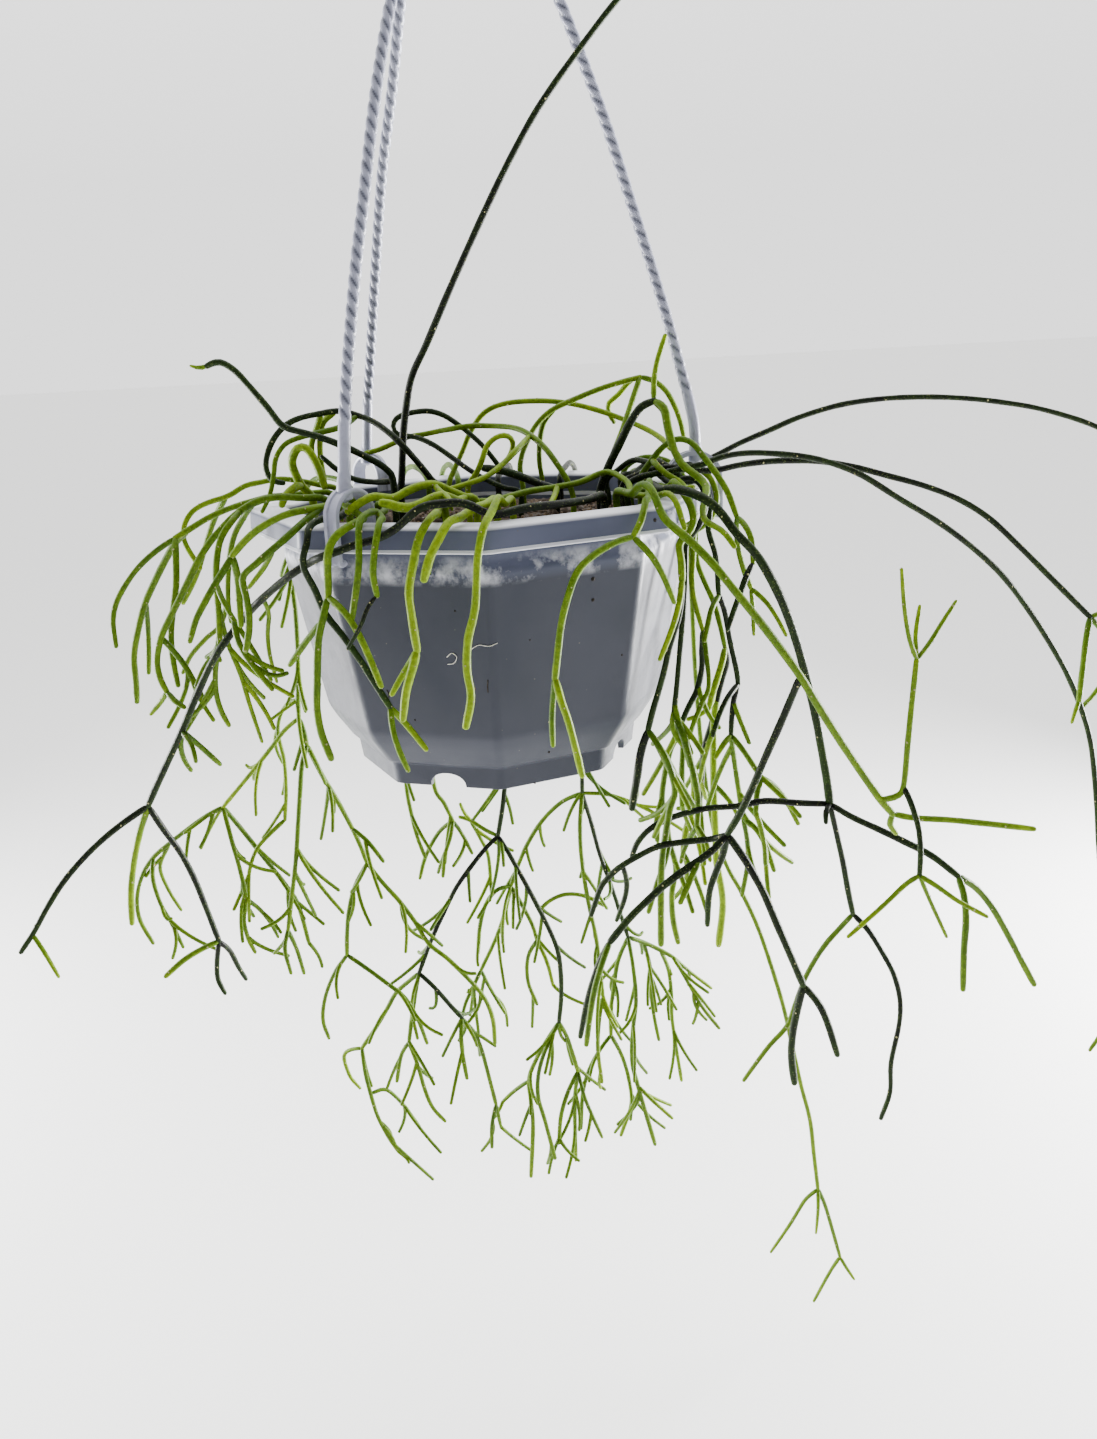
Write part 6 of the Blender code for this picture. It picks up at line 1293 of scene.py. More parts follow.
@dataclass(frozen=True)
class MouldedPolypropylene(Finish):
    """Moulded polypropylene: smooth, waxy sheen, faintly rippled, with painted light on its rim top, lip and
    ledge, and painted shade on its body.
    """

    name: str = "moulded_polypropylene"
    shell: str = "#54586b"
    shade: str = "#474c5e"
    # Painted shade: the colour that the body below the ledge is darkened to, where soil stands behind the
    # wall.
    dirt_and_shade: str = "#23262f"
    # Painted light: the pale colour laid on the rim top, the lip's bead and the ledge.
    painted_highlight: str = "#dadbe2"
    grime: str = "#57524f"
    gloss: float = 0.24
    soil_line: tuple[float, float] = (27.0, 19.0)
    rim_top: tuple[float, float] = (1.6, 0.4)
    ledge_drop: float = 21.0
    lip_drop: float = 10.3
    lip_half: float = 1.0
    cloud_size: float = 45.0
    patch_size: float = 16.0
    speck_size: float = 7.0
    grain_size: float = 0.9

    def surface(self, tree: bpy.types.NodeTree) -> bpy.types.Node:
        """Fills in the nodes: a dark cloudy shell with painted shade below the ledge, painted light on the
        rim top, the lip and the ledge, and specks.

        Args:
            tree: The material's tree.

        Returns:
            The shader.
        """
        place = add(tree, "ShaderNodeTexCoord").outputs["Object"]
        height = add(tree, "ShaderNodeSeparateXYZ", {0: place}).outputs["Z"]
        cloud = add(tree, "ShaderNodeTexNoise",
                    {"Vector": place, "Scale": per_metre(self.cloud_size), "Detail": 4.0})
        clean = ramp(tree, cloud, ((0.3, self.shade), (0.7, self.shell)))
        # Painted shade: the body below the ledge darkens towards the dark colour, where soil stands behind
        # the wall.
        behind = add(tree, "ShaderNodeMapRange",
                     {"Value": height, "From Min": -(RIM_TO_HOOK + self.soil_line[0]) * MM,
                      "From Max": -(RIM_TO_HOOK + self.soil_line[1]) * MM, "To Min": 0.85, "To Max": 0.0})
        body = add(tree, "ShaderNodeMix", {0: behind, 6: clean, 7: linear(self.dirt_and_shade)},
                   data_type="RGBA").outputs[2]
        # Painted light: the rim's top is paled where light from above falls on it.
        on_rim = add(tree, "ShaderNodeMapRange",
                     {"Value": height, "From Min": -(RIM_TO_HOOK + self.rim_top[0]) * MM,
                      "From Max": -(RIM_TO_HOOK + self.rim_top[1]) * MM, "To Min": 0.0, "To Max": 0.9})
        shell = add(tree, "ShaderNodeMix", {0: on_rim, 6: body, 7: linear(self.painted_highlight)},
                    data_type="RGBA").outputs[2]
        # Painted light: the upward-facing ledge is paled in noisy patches.
        from_ledge = add(tree, "ShaderNodeMath", {0: height, 1: (RIM_TO_HOOK + self.ledge_drop) * MM})
        how_far = add(tree, "ShaderNodeMath", {0: from_ledge}, operation="ABSOLUTE")
        at_ledge = add(tree, "ShaderNodeMapRange", {"Value": how_far, "From Min": 2.0 * MM,
                                                    "From Max": 7.0 * MM, "To Min": 0.75, "To Max": 0.0})
        # Noise that breaks the painted ledge light into patches and varies the roughness.
        marks = add(tree, "ShaderNodeTexNoise", {"Vector": place, "Scale": per_metre(self.patch_size),
                                                 "Detail": 5.0, "Roughness": 0.65})
        ledge_light_patches = add(tree, "ShaderNodeMapRange", {"Value": marks, "From Min": 0.43, "From Max": 0.6})
        where = add(tree, "ShaderNodeMath", {0: ledge_light_patches, 1: at_ledge}, operation="MULTIPLY")
        # Painted highlight: a thin pale line along the lip's bead.
        lip_highlight = add(tree, "ShaderNodeMath", {0: height, 1: -(RIM_TO_HOOK + self.lip_drop) * MM,
                                              2: self.lip_half * MM}, operation="COMPARE")
        pale = add(tree, "ShaderNodeMath", {0: lip_highlight, 1: 0.7, 2: where}, operation="MULTIPLY_ADD",
                   use_clamp=True)
        painted_light_shell = add(tree, "ShaderNodeMix", {0: pale, 6: shell, 7: linear(self.painted_highlight)},
                     data_type="RGBA").outputs[2]
        specks = add(tree, "ShaderNodeTexVoronoi", {"Vector": place, "Scale": per_metre(self.speck_size)})
        speck = add(tree, "ShaderNodeMapRange",
                    {"Value": specks, "From Min": 0.03, "From Max": 0.06, "To Min": 0.8, "To Max": 0.0})
        dirty = add(tree, "ShaderNodeMix", {0: speck, 6: painted_light_shell, 7: linear(self.grime)},
                    data_type="RGBA").outputs[2]
        grain = add(tree, "ShaderNodeTexNoise", {"Vector": place, "Scale": per_metre(self.grain_size)})
        rough = add(tree, "ShaderNodeMapRange",
                    {"Value": marks, "From Min": 0.3, "From Max": 0.7, "To Min": 0.3, "To Max": 0.5})
        relief = add(tree, "ShaderNodeBump", {"Strength": 0.12, "Distance": 0.2 * MM, "Height": grain})
        return add(tree, "ShaderNodeBsdfPrincipled",
                   {"Base Color": dirty, "Roughness": rough, "IOR": 1.49,
                    "Specular IOR Level": self.gloss, "Normal": relief})


@dataclass(frozen=True)
class MouldedRope(Finish):
    """Moulded hanger plastic: pale and half glossy, with painted shade in its rope grooves and patches of
    dirt.
    """

    name: str = "moulded_rope_plastic"
    shell: str = "#9698aa"
    # Painted shade: the colour that the rope grooves are darkened to.
    groove: str = "#343847"
    grime: str = "#74747f"
    dirt_size: float = 5.0

    def surface(self, tree: bpy.types.NodeTree) -> bpy.types.Node:
        """Fills in the nodes: the groove attribute paints shade into the grooves, and noise dirties the
        shell.

        Args:
            tree: The material's tree.

        Returns:
            The shader.
        """
        place = add(tree, "ShaderNodeTexCoord").outputs["Object"]
        groove = add(tree, "ShaderNodeAttribute", attribute_name="groove").outputs["Fac"]
        dirt = add(tree, "ShaderNodeTexNoise",
                   {"Vector": place, "Scale": per_metre(self.dirt_size), "Detail": 4.0})
        dull = add(tree, "ShaderNodeMapRange",
                   {"Value": dirt, "From Min": 0.52, "From Max": 0.75, "To Min": 0.0, "To Max": 0.5})
        dirt_and_shade = add(tree, "ShaderNodeMix", {0: dull, 6: linear(self.shell), 7: linear(self.grime)},
                     data_type="RGBA").outputs[2]
        # Painted shade: the groove attribute darkens the grooves.
        groove_shaded = add(tree, "ShaderNodeMix", {0: groove, 6: dirt_and_shade, 7: linear(self.groove)},
                      data_type="RGBA").outputs[2]
        relief = add(tree, "ShaderNodeBump", {"Strength": 0.15, "Distance": 0.2 * MM, "Height": dirt})
        return add(tree, "ShaderNodeBsdfPrincipled",
                   {"Base Color": groove_shaded, "Roughness": 0.38, "IOR": 1.49, "Normal": relief})


@dataclass(frozen=True)
class Crumb(Finish):
    """Loose matter such as soil, bark, pads and dirt: matt and uneven, with no gloss."""

    dark: str = "#1d1712"
    light: str = "#4b3a2b"
    size: float = 2.0
    roughness: float = 0.95

    def surface(self, tree: bpy.types.NodeTree) -> bpy.types.Node:
        """Fills in the nodes: two colours mixed by noise, which also roughens the surface.

        Args:
            tree: The material's tree.

        Returns:
            The shader.
        """
        place = add(tree, "ShaderNodeTexCoord").outputs["Object"]
        noise = add(tree, "ShaderNodeTexNoise",
                    {"Vector": place, "Scale": per_metre(self.size), "Detail": 6.0, "Roughness": 0.7})
        colour = ramp(tree, noise, ((0.35, self.dark), (0.68, self.light)))
        relief = add(tree, "ShaderNodeBump", {"Strength": 0.7, "Distance": 0.5 * MM, "Height": noise})
        return add(tree, "ShaderNodeBsdfPrincipled",
                   {"Base Color": colour, "Roughness": self.roughness, "Normal": relief})


@dataclass(frozen=True)
class PlainPaint(Finish):
    """Matt pale paint for the floor, which throws soft light up under the plant."""

    name: str = "pale_floor_paint"
    colour: str = "#f7f7f6"

    def surface(self, tree: bpy.types.NodeTree) -> bpy.types.Node:
        """Fills in the one node, for the tree that it is given, and gives it back."""
        return add(tree, "ShaderNodeBsdfPrincipled", {"Base Color": linear(self.colour), "Roughness": 0.9})


# Green stems: lime when young, through grass green to almost black, with a soft waxy sheen.
SKIN = WaxyStemSkin()
# The pot: dark blue-grey plastic, with painted shade on its body below the ledge, where soil stands behind
# the wall, and painted light on its rim top, lip and ledge.
POT_PLASTIC = MouldedPolypropylene()
# The hanger: paler blue-grey plastic, with shade painted into its rope grooves so that they read as dark
# slanting lines.
HANGER_PLASTIC = MouldedRope()
# Soil and bark: dark brown crumbs that swallow the light.
SOIL = Crumb("potting_soil_crumb")
# Grit: lighter brown specks that break up the soil's surface.
GRIT = Crumb("potting_soil_grit", dark="#2a211a", light="#7a644c", size=1.2)
# Pale grains: small near-white points in the brown.
PERLITE = Crumb("perlite_grains", dark="#c9c5bb", light="#efece4", size=1.0)
# Felt pads: dull straw dots along the stems.
AREOLE = Crumb("areole_felt", dark="#6f6a44", light="#b4b07c", size=0.6, roughness=0.85)
# Dried dirt: near-black flecks on the pot.
DIRT = Crumb("dried_dirt", dark="#120f0c", light="#2e2620", size=0.8)
# Fibres: thin pale threads on the dark panel.
HAIR = Crumb("pale_fibre", dark="#d9d4c6", light="#f3efe6", size=1.0, roughness=0.6)


def in_scene(name: str, data: Any) -> bpy.types.Object:
    """Makes an object of a mesh, a curve, a lamp or a camera, and puts it in the scene.

    Args:
        name: The object's name.
        data: What it holds.

    Returns:
        The object.
    """
    made = bpy.data.objects.new(name, data)
    bpy.context.scene.collection.objects.link(made)
    return made


def hand_over(piece: bpy.types.Object, node: str | None = None) -> None:
    """Gives a piece its body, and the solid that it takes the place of.

    Args:
        piece: The piece.
        node: The node of the solid that it replaces, if there is one.
    """
    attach(piece, BODY)
    if node is not None:
        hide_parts(node)
    LOG.info("%s: %d faces", piece.name, len(piece.data.polygons))


def settled(carrier: bpy.types.Object, modifier: bpy.types.Modifier) -> bpy.types.Mesh:
    """Runs a modifier and takes it off again.

    Args:
        carrier: The object that it works on.
        modifier: The modifier.

    Returns:
        The mesh that it makes.
    """
    bpy.context.view_layer.update()
    evaluated = carrier.evaluated_get(bpy.context.evaluated_depsgraph_get())
    mesh = bpy.data.meshes.new_from_object(evaluated)
    carrier.modifiers.remove(modifier)
    return mesh


@dataclass
class Shell:
    """A mesh being put together, in millimetres, with a number or two for each point."""

    points: list[np.ndarray] = field(default_factory=list)
    faces: list[tuple[int, ...]] = field(default_factory=list)
    values: dict[str, list[np.ndarray]] = field(default_factory=dict)
    count: int = 0

    def put(self, points: np.ndarray, **values: np.ndarray) -> int:
        """Adds points.

        Args:
            points: Their places.
            values: The numbers that they carry, by name.

        Returns:
            The number of the first one.
        """
        first = self.count
        self.points.append(np.asarray(points, float))
        for name, numbers in values.items():
            self.values.setdefault(name, []).append(np.asarray(numbers, float))
        self.count += len(points)
        return first

    def loft(self, rings: list[np.ndarray], **values: np.ndarray) -> None:
        """Joins rings of points into a closed body. A ring of one point is a pole.

        Args:
            rings: The rings, each counterclockwise when seen from the last one.
            values: For each name, one number for each ring.
        """
        starts = []
        for index, ring in enumerate(rings):
            carried = {name: np.full(len(ring), numbers[index]) for name, numbers in values.items()}
            starts.append(self.put(ring, **carried))
        for index in range(len(rings) - 1):
            self.band(starts[index], len(rings[index]), starts[index + 1], len(rings[index + 1]))
        if len(rings[0]) > 1:
            self.faces.append(tuple(range(starts[0] + len(rings[0]) - 1, starts[0] - 1, -1)))
        if len(rings[-1]) > 1:
            self.faces.append(tuple(range(starts[-1], starts[-1] + len(rings[-1]))))

    def band(self, low: int, low_count: int, high: int, high_count: int) -> None:
        """Joins two rings.

        Args:
            low: The first point of the first ring.
            low_count: How many points it has.
            high: The first point of the second ring.
            high_count: How many points it has.
        """
        sides = max(low_count, high_count)
        for side in range(sides):
            after = (side + 1) % sides
            if low_count == 1:
                self.faces.append((low, high + after, high + side))
            elif high_count == 1:
                self.faces.append((low + side, low + after, high))
            else:
                self.faces.append((low + side, low + after, high + after, high + side))

    def tube(self, line: np.ndarray, radii: np.ndarray, sides: int, **values: np.ndarray) -> None:
        """Adds a tube with a domed end, its rings square to the line and without twist.

        Args:
            line: Its centre line.
            radii: Its radius at each point.
            sides: The points round it.
            values: For each name, one number for each point of the line.
        """
        end = unit(line[-1] - line[-2])
        dome = (0.5, 0.82, 0.97)
        cap = np.array([line[-1] + end * radii[-1] * step for step in dome])
        cap_radii = np.array([radii[-1] * math.sqrt(1 - step**2) for step in dome])
        centres, reaches = np.vstack([line, cap]), np.concatenate([radii, cap_radii])
        tangents = unit(np.gradient(centres, axis=0))
        side = unit(np.cross(tangents[0], [0.31, 0.87, 0.39]))
        angles = 2 * np.pi * np.arange(sides) / sides
        rings = [(line[0] - unit(line[1] - line[0]) * radii[0] * 0.5)[None]]
        for centre, tangent, radius in zip(centres, tangents, reaches):
            side = unit(side - tangent * (side @ tangent))
            other = np.cross(tangent, side)
            rings.append(centre + radius * (np.cos(angles)[:, None] * side + np.sin(angles)[:, None] * other))
        rings.append((line[-1] + end * radii[-1])[None])
        longer = {name: np.concatenate([numbers[:1], numbers, np.full(len(dome) + 1, numbers[-1])])
                  for name, numbers in values.items()}
        self.loft(rings, **longer)

    def made(self, name: str, finish: Finish) -> bpy.types.Object:
        """Makes the object, in the frame of the solids.

        Args:
            name: The piece's name.
            finish: What it is made of.

        Returns:
            The object.
        """
        mesh = bpy.data.meshes.new(name)
        mesh.from_pydata(((np.concatenate(self.points) + HOOK_DROP) * MM).tolist(), [], self.faces)
        for label, numbers in self.values.items():
            layer = mesh.attributes.new(label, "FLOAT", "POINT")
            layer.data.foreach_set("value", np.concatenate(numbers).astype(np.float32))
        mesh.shade_smooth()
        mesh.materials.append(finish.material())
        mesh.validate()
        mesh.update()
        return in_scene(name, mesh)


class GrowingTree:
    """A tree of Geometry Nodes with named inputs. Each kind fills in its own nodes."""

    name = "growing"
    inputs: tuple[tuple[str, str, Any], ...] = ()

    def build(self) -> bpy.types.NodeTree:
        """Builds the tree.

        Returns:
            The tree, ready for a modifier.
        """
        tree = bpy.data.node_groups.new(self.name, "GeometryNodeTree")
        tree.interface.new_socket("Geometry", in_out="INPUT", socket_type="NodeSocketGeometry")
        for label, kind, default in self.inputs:
            socket = tree.interface.new_socket(label, in_out="INPUT", socket_type=kind)
            if default is not None:
                socket.default_value = default
        tree.interface.new_socket("Geometry", in_out="OUTPUT", socket_type="NodeSocketGeometry")
        given = add(tree, "NodeGroupInput").outputs
        add(tree, "NodeGroupOutput", {0: self.grow(tree, given)})
        return tree

    def grow(self, tree: bpy.types.NodeTree, given: Any) -> bpy.types.Node:
        """Fills in the nodes.

        Args:
            tree: The tree.
            given: Its inputs.

        Returns:
            The node that gives the resulting geometry.
        """
        raise NotImplementedError

    def grown(self, name: str, source: bpy.types.Mesh | bpy.types.Curve,
              inputs: dict[str, Any]) -> bpy.types.Object:
        """Runs the tree and keeps its result as a plain mesh.

        Args:
            name: The piece's name.
            source: What the tree starts from.
            inputs: A value for each of its named inputs.

        Returns:
            The piece.
        """
        carrier = in_scene(name + "_carrier", source)
        modifier = carrier.modifiers.new("grow", "NODES")
        modifier.node_group = self.build()
        sockets = {item.name: item.identifier for item in modifier.node_group.interface.items_tree
                   if item.item_type == "SOCKET" and item.in_out == "INPUT"}
        for label, value in inputs.items():
            modifier[sockets[label]] = value
        mesh = settled(carrier, modifier)
        bpy.data.objects.remove(carrier)
        mesh.shade_smooth()
        return in_scene(name, mesh)


class PadTree(GrowingTree):
    """Sets a flattened ball on every point, facing outward, with the size that the point carries."""

    name = "areole_pads"
    inputs = (("Flatness", "NodeSocketFloat", 0.5), ("Felt", "NodeSocketMaterial", None))

    def grow(self, tree: bpy.types.NodeTree, given: Any) -> bpy.types.Node:
        """Fills in the nodes.

        Args:
            tree: The tree.
            given: Its inputs.

        Returns:
            The node that gives the resulting geometry.
        """
        outward = add(tree, "GeometryNodeInputNamedAttribute", {"Name": "outward"}, data_type="FLOAT_VECTOR")
        size = add(tree, "GeometryNodeInputNamedAttribute", {"Name": "size"}, data_type="FLOAT")
        facing = add(tree, "FunctionNodeAlignRotationToVector", {"Vector": outward}, axis="Z")
        low = add(tree, "ShaderNodeMath", {0: size, 1: given["Flatness"]}, operation="MULTIPLY")
        scale = add(tree, "ShaderNodeCombineXYZ", {0: size, 1: size, 2: low})
        ball = add(tree, "GeometryNodeMeshIcoSphere", {"Radius": 1.0, "Subdivisions": 2})
        points = add(tree, "GeometryNodeMeshToPoints", {"Mesh": given["Geometry"]})
        placed = add(tree, "GeometryNodeInstanceOnPoints",
                     {"Points": points, "Instance": ball, "Rotation": facing, "Scale": scale})
        real = add(tree, "GeometryNodeRealizeInstances", {"Geometry": placed})
        return add(tree, "GeometryNodeSetMaterial", {"Geometry": real, "Material": given["Felt"]})


class RopeTree(GrowingTree):
    """Sweeps a round bar along a line and presses slanting rope grooves into it, fading at its ends."""

    name = "moulded_rope"
    inputs = (("Radius", "NodeSocketFloat", 0.0027), ("Groove Depth", "NodeSocketFloat", 0.0006),
              ("Strands", "NodeSocketFloat", 3.0), ("Lay", "NodeSocketFloat", 0.018),
              ("Smooth Start", "NodeSocketFloat", 0.028), ("Smooth End", "NodeSocketFloat", 0.008),
              ("Sides", "NodeSocketInt", 24), ("Plastic", "NodeSocketMaterial", None))
    fade_in = 0.004
    full_from_end = 0.014

    def grow(self, tree: bpy.types.NodeTree, given: Any) -> bpy.types.Node:
        """Fills in the nodes.

        Args:
            tree: The tree.
            given: Its inputs.

        Returns:
            The node that gives the resulting geometry.
        """
        line = add(tree, "GeometryNodeCaptureAttribute", {0: given["Geometry"]})
        line.capture_items.new("FLOAT", "Along")
        line.capture_items.new("FLOAT", "Whole")
        tree.links.new(add(tree, "GeometryNodeSplineParameter").outputs["Length"], line.inputs["Along"])
        tree.links.new(add(tree, "GeometryNodeSplineLength").outputs["Length"], line.inputs["Whole"])
        ring = add(tree, "GeometryNodeCurvePrimitiveCircle",
                   {"Resolution": given["Sides"], "Radius": given["Radius"]})
        turn = add(tree, "GeometryNodeCaptureAttribute", {0: ring})
        turn.capture_items.new("FLOAT", "Turn")
        tree.links.new(add(tree, "GeometryNodeSplineParameter").outputs["Factor"], turn.inputs["Turn"])
        bar = add(tree, "GeometryNodeCurveToMesh", {"Curve": line, "Profile Curve": turn, "Fill Caps": True})

        along, whole = line.outputs["Along"], line.outputs["Whole"]
        lays = add(tree, "ShaderNodeMath", {0: along, 1: given["Lay"]}, operation="DIVIDE")
        round_and_up = add(tree, "ShaderNodeMath", {0: turn.outputs["Turn"], 1: lays})
        strands = add(tree, "ShaderNodeMath", {0: round_and_up, 1: given["Strands"]}, operation="MULTIPLY")
        swing = add(tree, "ShaderNodeMath", {0: strands, 1: 2 * math.pi}, operation="MULTIPLY")
        wave = add(tree, "ShaderNodeMath", {0: swing}, operation="COSINE")
        lifted = add(tree, "ShaderNodeMath", {0: wave, 1: 0.5, 2: 0.5}, operation="MULTIPLY_ADD")
        sharp = add(tree, "ShaderNodeMath", {0: lifted, 1: 3.0}, operation="POWER")

        rope_start = add(tree, "ShaderNodeMath", {0: given["Smooth Start"], 1: self.fade_in})
        low = add(tree, "ShaderNodeMapRange",
                  {"Value": along, "From Min": given["Smooth Start"], "From Max": rope_start})
        left = add(tree, "ShaderNodeMath", {0: whole, 1: along}, operation="SUBTRACT")
        high = add(tree, "ShaderNodeMapRange",
                   {"Value": left, "From Min": given["Smooth End"], "From Max": self.full_from_end})
        both = add(tree, "ShaderNodeMath", {0: low, 1: high}, operation="MULTIPLY")
        groove = add(tree, "ShaderNodeMath", {0: sharp, 1: both}, operation="MULTIPLY")

        depth = add(tree, "ShaderNodeMath", {0: groove, 1: given["Groove Depth"]}, operation="MULTIPLY")
        inward = add(tree, "ShaderNodeMath", {0: depth, 1: -1.0}, operation="MULTIPLY")
        normal = add(tree, "GeometryNodeInputNormal")
        push = add(tree, "ShaderNodeVectorMath", {0: normal, "Scale": inward}, operation="SCALE")
        stored = add(tree, "GeometryNodeStoreNamedAttribute",
                     {"Geometry": bar, "Name": "groove", "Value": groove}, data_type="FLOAT", domain="POINT")
        pressed = add(tree, "GeometryNodeSetPosition", {"Geometry": stored, "Offset": push})
        return add(tree, "GeometryNodeSetMaterial", {"Geometry": pressed, "Material": given["Plastic"]})


class GrainTree(GrowingTree):
    """Scatters lumps over a surface, each turned and sized at random from a fixed seed."""

    name = "scattered_grains"
    inputs = (("Density", "NodeSocketFloat", 90000.0), ("Smallest", "NodeSocketFloat", 0.0006),
              ("Largest", "NodeSocketFloat", 0.0022), ("Flatness", "NodeSocketFloat", 0.6),
              ("Seed", "NodeSocketInt", 7), ("Matter", "NodeSocketMaterial", None))

    def grow(self, tree: bpy.types.NodeTree, given: Any) -> bpy.types.Node:
        """Fills in the nodes.

        Args:
            tree: The tree.
            given: Its inputs.

        Returns:
            The node that gives the resulting geometry.
        """
        seed = given["Seed"]
        spots = add(tree, "GeometryNodeDistributePointsOnFaces",
                    {"Mesh": given["Geometry"], "Density": given["Density"], "Seed": seed},
                    distribute_method="RANDOM")
        lump = add(tree, "GeometryNodeMeshIcoSphere", {"Radius": 1.0, "Subdivisions": 1})
        turn = add(tree, "FunctionNodeRandomValue", {0: (0.0, 0.0, 0.0), 1: (6.28, 6.28, 6.28), "Seed": seed},
                   data_type="FLOAT_VECTOR")
        spin = add(tree, "FunctionNodeEulerToRotation", {0: turn})
        size = add(tree, "FunctionNodeRandomValue",
                   {2: given["Smallest"], 3: given["Largest"], "Seed": seed}, data_type="FLOAT").outputs[1]
        flat = add(tree, "ShaderNodeMath", {0: size, 1: given["Flatness"]}, operation="MULTIPLY")
        scale = add(tree, "ShaderNodeCombineXYZ", {0: size, 1: flat, 2: flat})
        placed = add(tree, "GeometryNodeInstanceOnPoints",
                     {"Points": spots, "Instance": lump, "Rotation": spin, "Scale": scale})
        real = add(tree, "GeometryNodeRealizeInstances", {"Geometry": placed})
        return add(tree, "GeometryNodeSetMaterial", {"Geometry": real, "Material": given["Matter"]})


@dataclass(frozen=True)
class TwigHabit:
    """How the sprays of one kind bear short side twigs."""

    spray: str
    every: float = 18.0
    shortest: float = 14.0
    longest: float = 28.0
    width: float = 2.6
    parent: float = 3.2
    oldest: float = 0.5
    top: float = -30.0
    onward: float = 0.65
    aside: float = 0.55
    sag: float = 0.4
    bend: float = 0.25


@dataclass
class Stems:
    """The plant: each spray of stems as one piece, with its areoles."""

    layout: StemLayout
    seed: int = 41
    twig_seed: int = 17
    detail: float = 2.2
    plump_widths: tuple[float, ...] = (2.0, 2.8, 3.4)
    plump_shares: tuple[float, ...] = (1.32, 1.1, 0.84)
    unevenness: float = 0.028
    neck: float = 0.62
    neck_length: float = 3.0
    taper: float = 0.14
    taper_length: float = 6.0
    tip_youth: float = 0.15
    foot_age: float = 0.12
    foot_length: float = 5.0
    twig_sides: int = 7
    bare_length: float = 26.0
    shortest_bearer: float = 40.0
    areole_step: float = 8.5
    areole_turn: float = math.radians(137.5)
    bushy: tuple[TwigHabit, ...] = (
        TwigHabit("stems_behind"), TwigHabit("stems_left_back"), TwigHabit("stems_left_middle"),
        TwigHabit("stems_cluster", every=16.0, shortest=16.0, longest=32.0, width=3.0, parent=4.4,
                  oldest=0.3, top=-95.0))
    pads: list[tuple[np.ndarray, np.ndarray, float]] = field(default_factory=list)

    def build(self) -> None:
        """Makes every spray and the areoles on them."""
        rng, twig_rng = np.random.default_rng(self.seed), np.random.default_rng(self.twig_seed)
        for name, branches in self.layout.build().items():
            shell = Shell()
            for branch in branches:
                self.stem(shell, branch, rng)
            for habit in self.bushy:
                if name.startswith(habit.spray):
                    self.twigs(shell, branches, habit, twig_rng)
            hand_over(shell.made(name + "_skin", SKIN), name)
        self.areoles()

    def stem(self, shell: Shell, branch: Branch, rng: np.random.Generator) -> None:
        """Adds one stem: narrow where it grows out, slightly uneven, and domed at its tip.

        Args:
            shell: The spray's mesh.
            branch: The stem.
            rng: Where its unevenness comes from.
        """
        line = smooth_line(branch.line, self.detail)
        along = np.linspace(0, 1, len(line)) * self.detail * (len(line) - 1)
        length = along[-1]
        plump = np.interp(branch.start, self.plump_widths, self.plump_shares)
        radii = (branch.start + (branch.end - branch.start) * along / length) / 2 * plump
        wave = (np.sin(along / rng.uniform(5.0, 9.0) + rng.uniform(0, 6))
                + 0.6 * np.sin(along / rng.uniform(1.9, 3.0) + rng.uniform(0, 6)))
        radii = radii * (1 + self.unevenness * wave)
        if branch.parent is not None:
            radii = radii * (self.neck + (1 - self.neck) * np.clip(along / self.neck_length, 0, 1) ** 0.6)
        radii = radii * (1 - self.taper * np.clip(1 - (length - along) / self.taper_length, 0, 1) ** 2)
        age = branch.tone.age + rng.uniform(-0.06, 0.06) - self.tip_youth * (along / length) ** 2
        age = age + self.foot_age * np.clip(1 - along / self.foot_length, 0, 1)
        sides = 7 + (branch.start > 2.4) + 2 * (branch.start > 3.4)
        shell.tube(line, radii, sides, age=np.clip(age, 0, 1))
        self.mark_areoles(line, radii, along, branch, rng)

    def twigs(self, shell: Shell, branches: list[Branch], habit: TwigHabit,
              rng: np.random.Generator) -> None:
        """Adds the short side twigs, which hang a little and keep off the pot.

        Args:
            shell: The spray's mesh.
            branches: The spray's stems.
            habit: How the spray bears its twigs.
            rng: Where their places and ways come from.
        """
        own = np.concatenate([branch.line for branch in branches])
        lowest, highest = own.min(axis=0), own.max(axis=0)
        for branch in branches:
            if branch.start > habit.parent:
                continue
            tangents = np.gradient(branch.line, axis=0)
            for _ in range(int(len(branch.line) * self.layout.step / habit.every)):
                index = int(rng.integers(branch.held, len(branch.line)))
                tangent = unit(tangents[index])
                across = unit(np.cross(tangent, rng.normal(0, 1, 3)))
                way = habit.onward * tangent + habit.aside * across - np.array([0.0, 0.0, habit.sag])
                length = rng.uniform(habit.shortest, habit.longest)
                bend = rng.normal(0, habit.bend, 3)
                line = np.array([branch.line[index] + length * part * (way + bend * part)
                                 for part in np.linspace(0, 1, 5)])
                room = np.full(len(line), habit.width)
                outside = (line < lowest).any() or (line > highest).any()
                if outside or line[0, 2] > habit.top or self.layout.pot.clearing_moves(line, room).any():
                    continue
                line = smooth_line(line, self.detail)
                radii = np.linspace(0.5, 0.42, len(line)) * min(habit.width, branch.start * 1.2)
                age = min(branch.tone.age, habit.oldest) - rng.uniform(0.02, 0.16)
                shell.tube(line, radii, self.twig_sides, age=np.full(len(line), np.clip(age, 0, 1)))

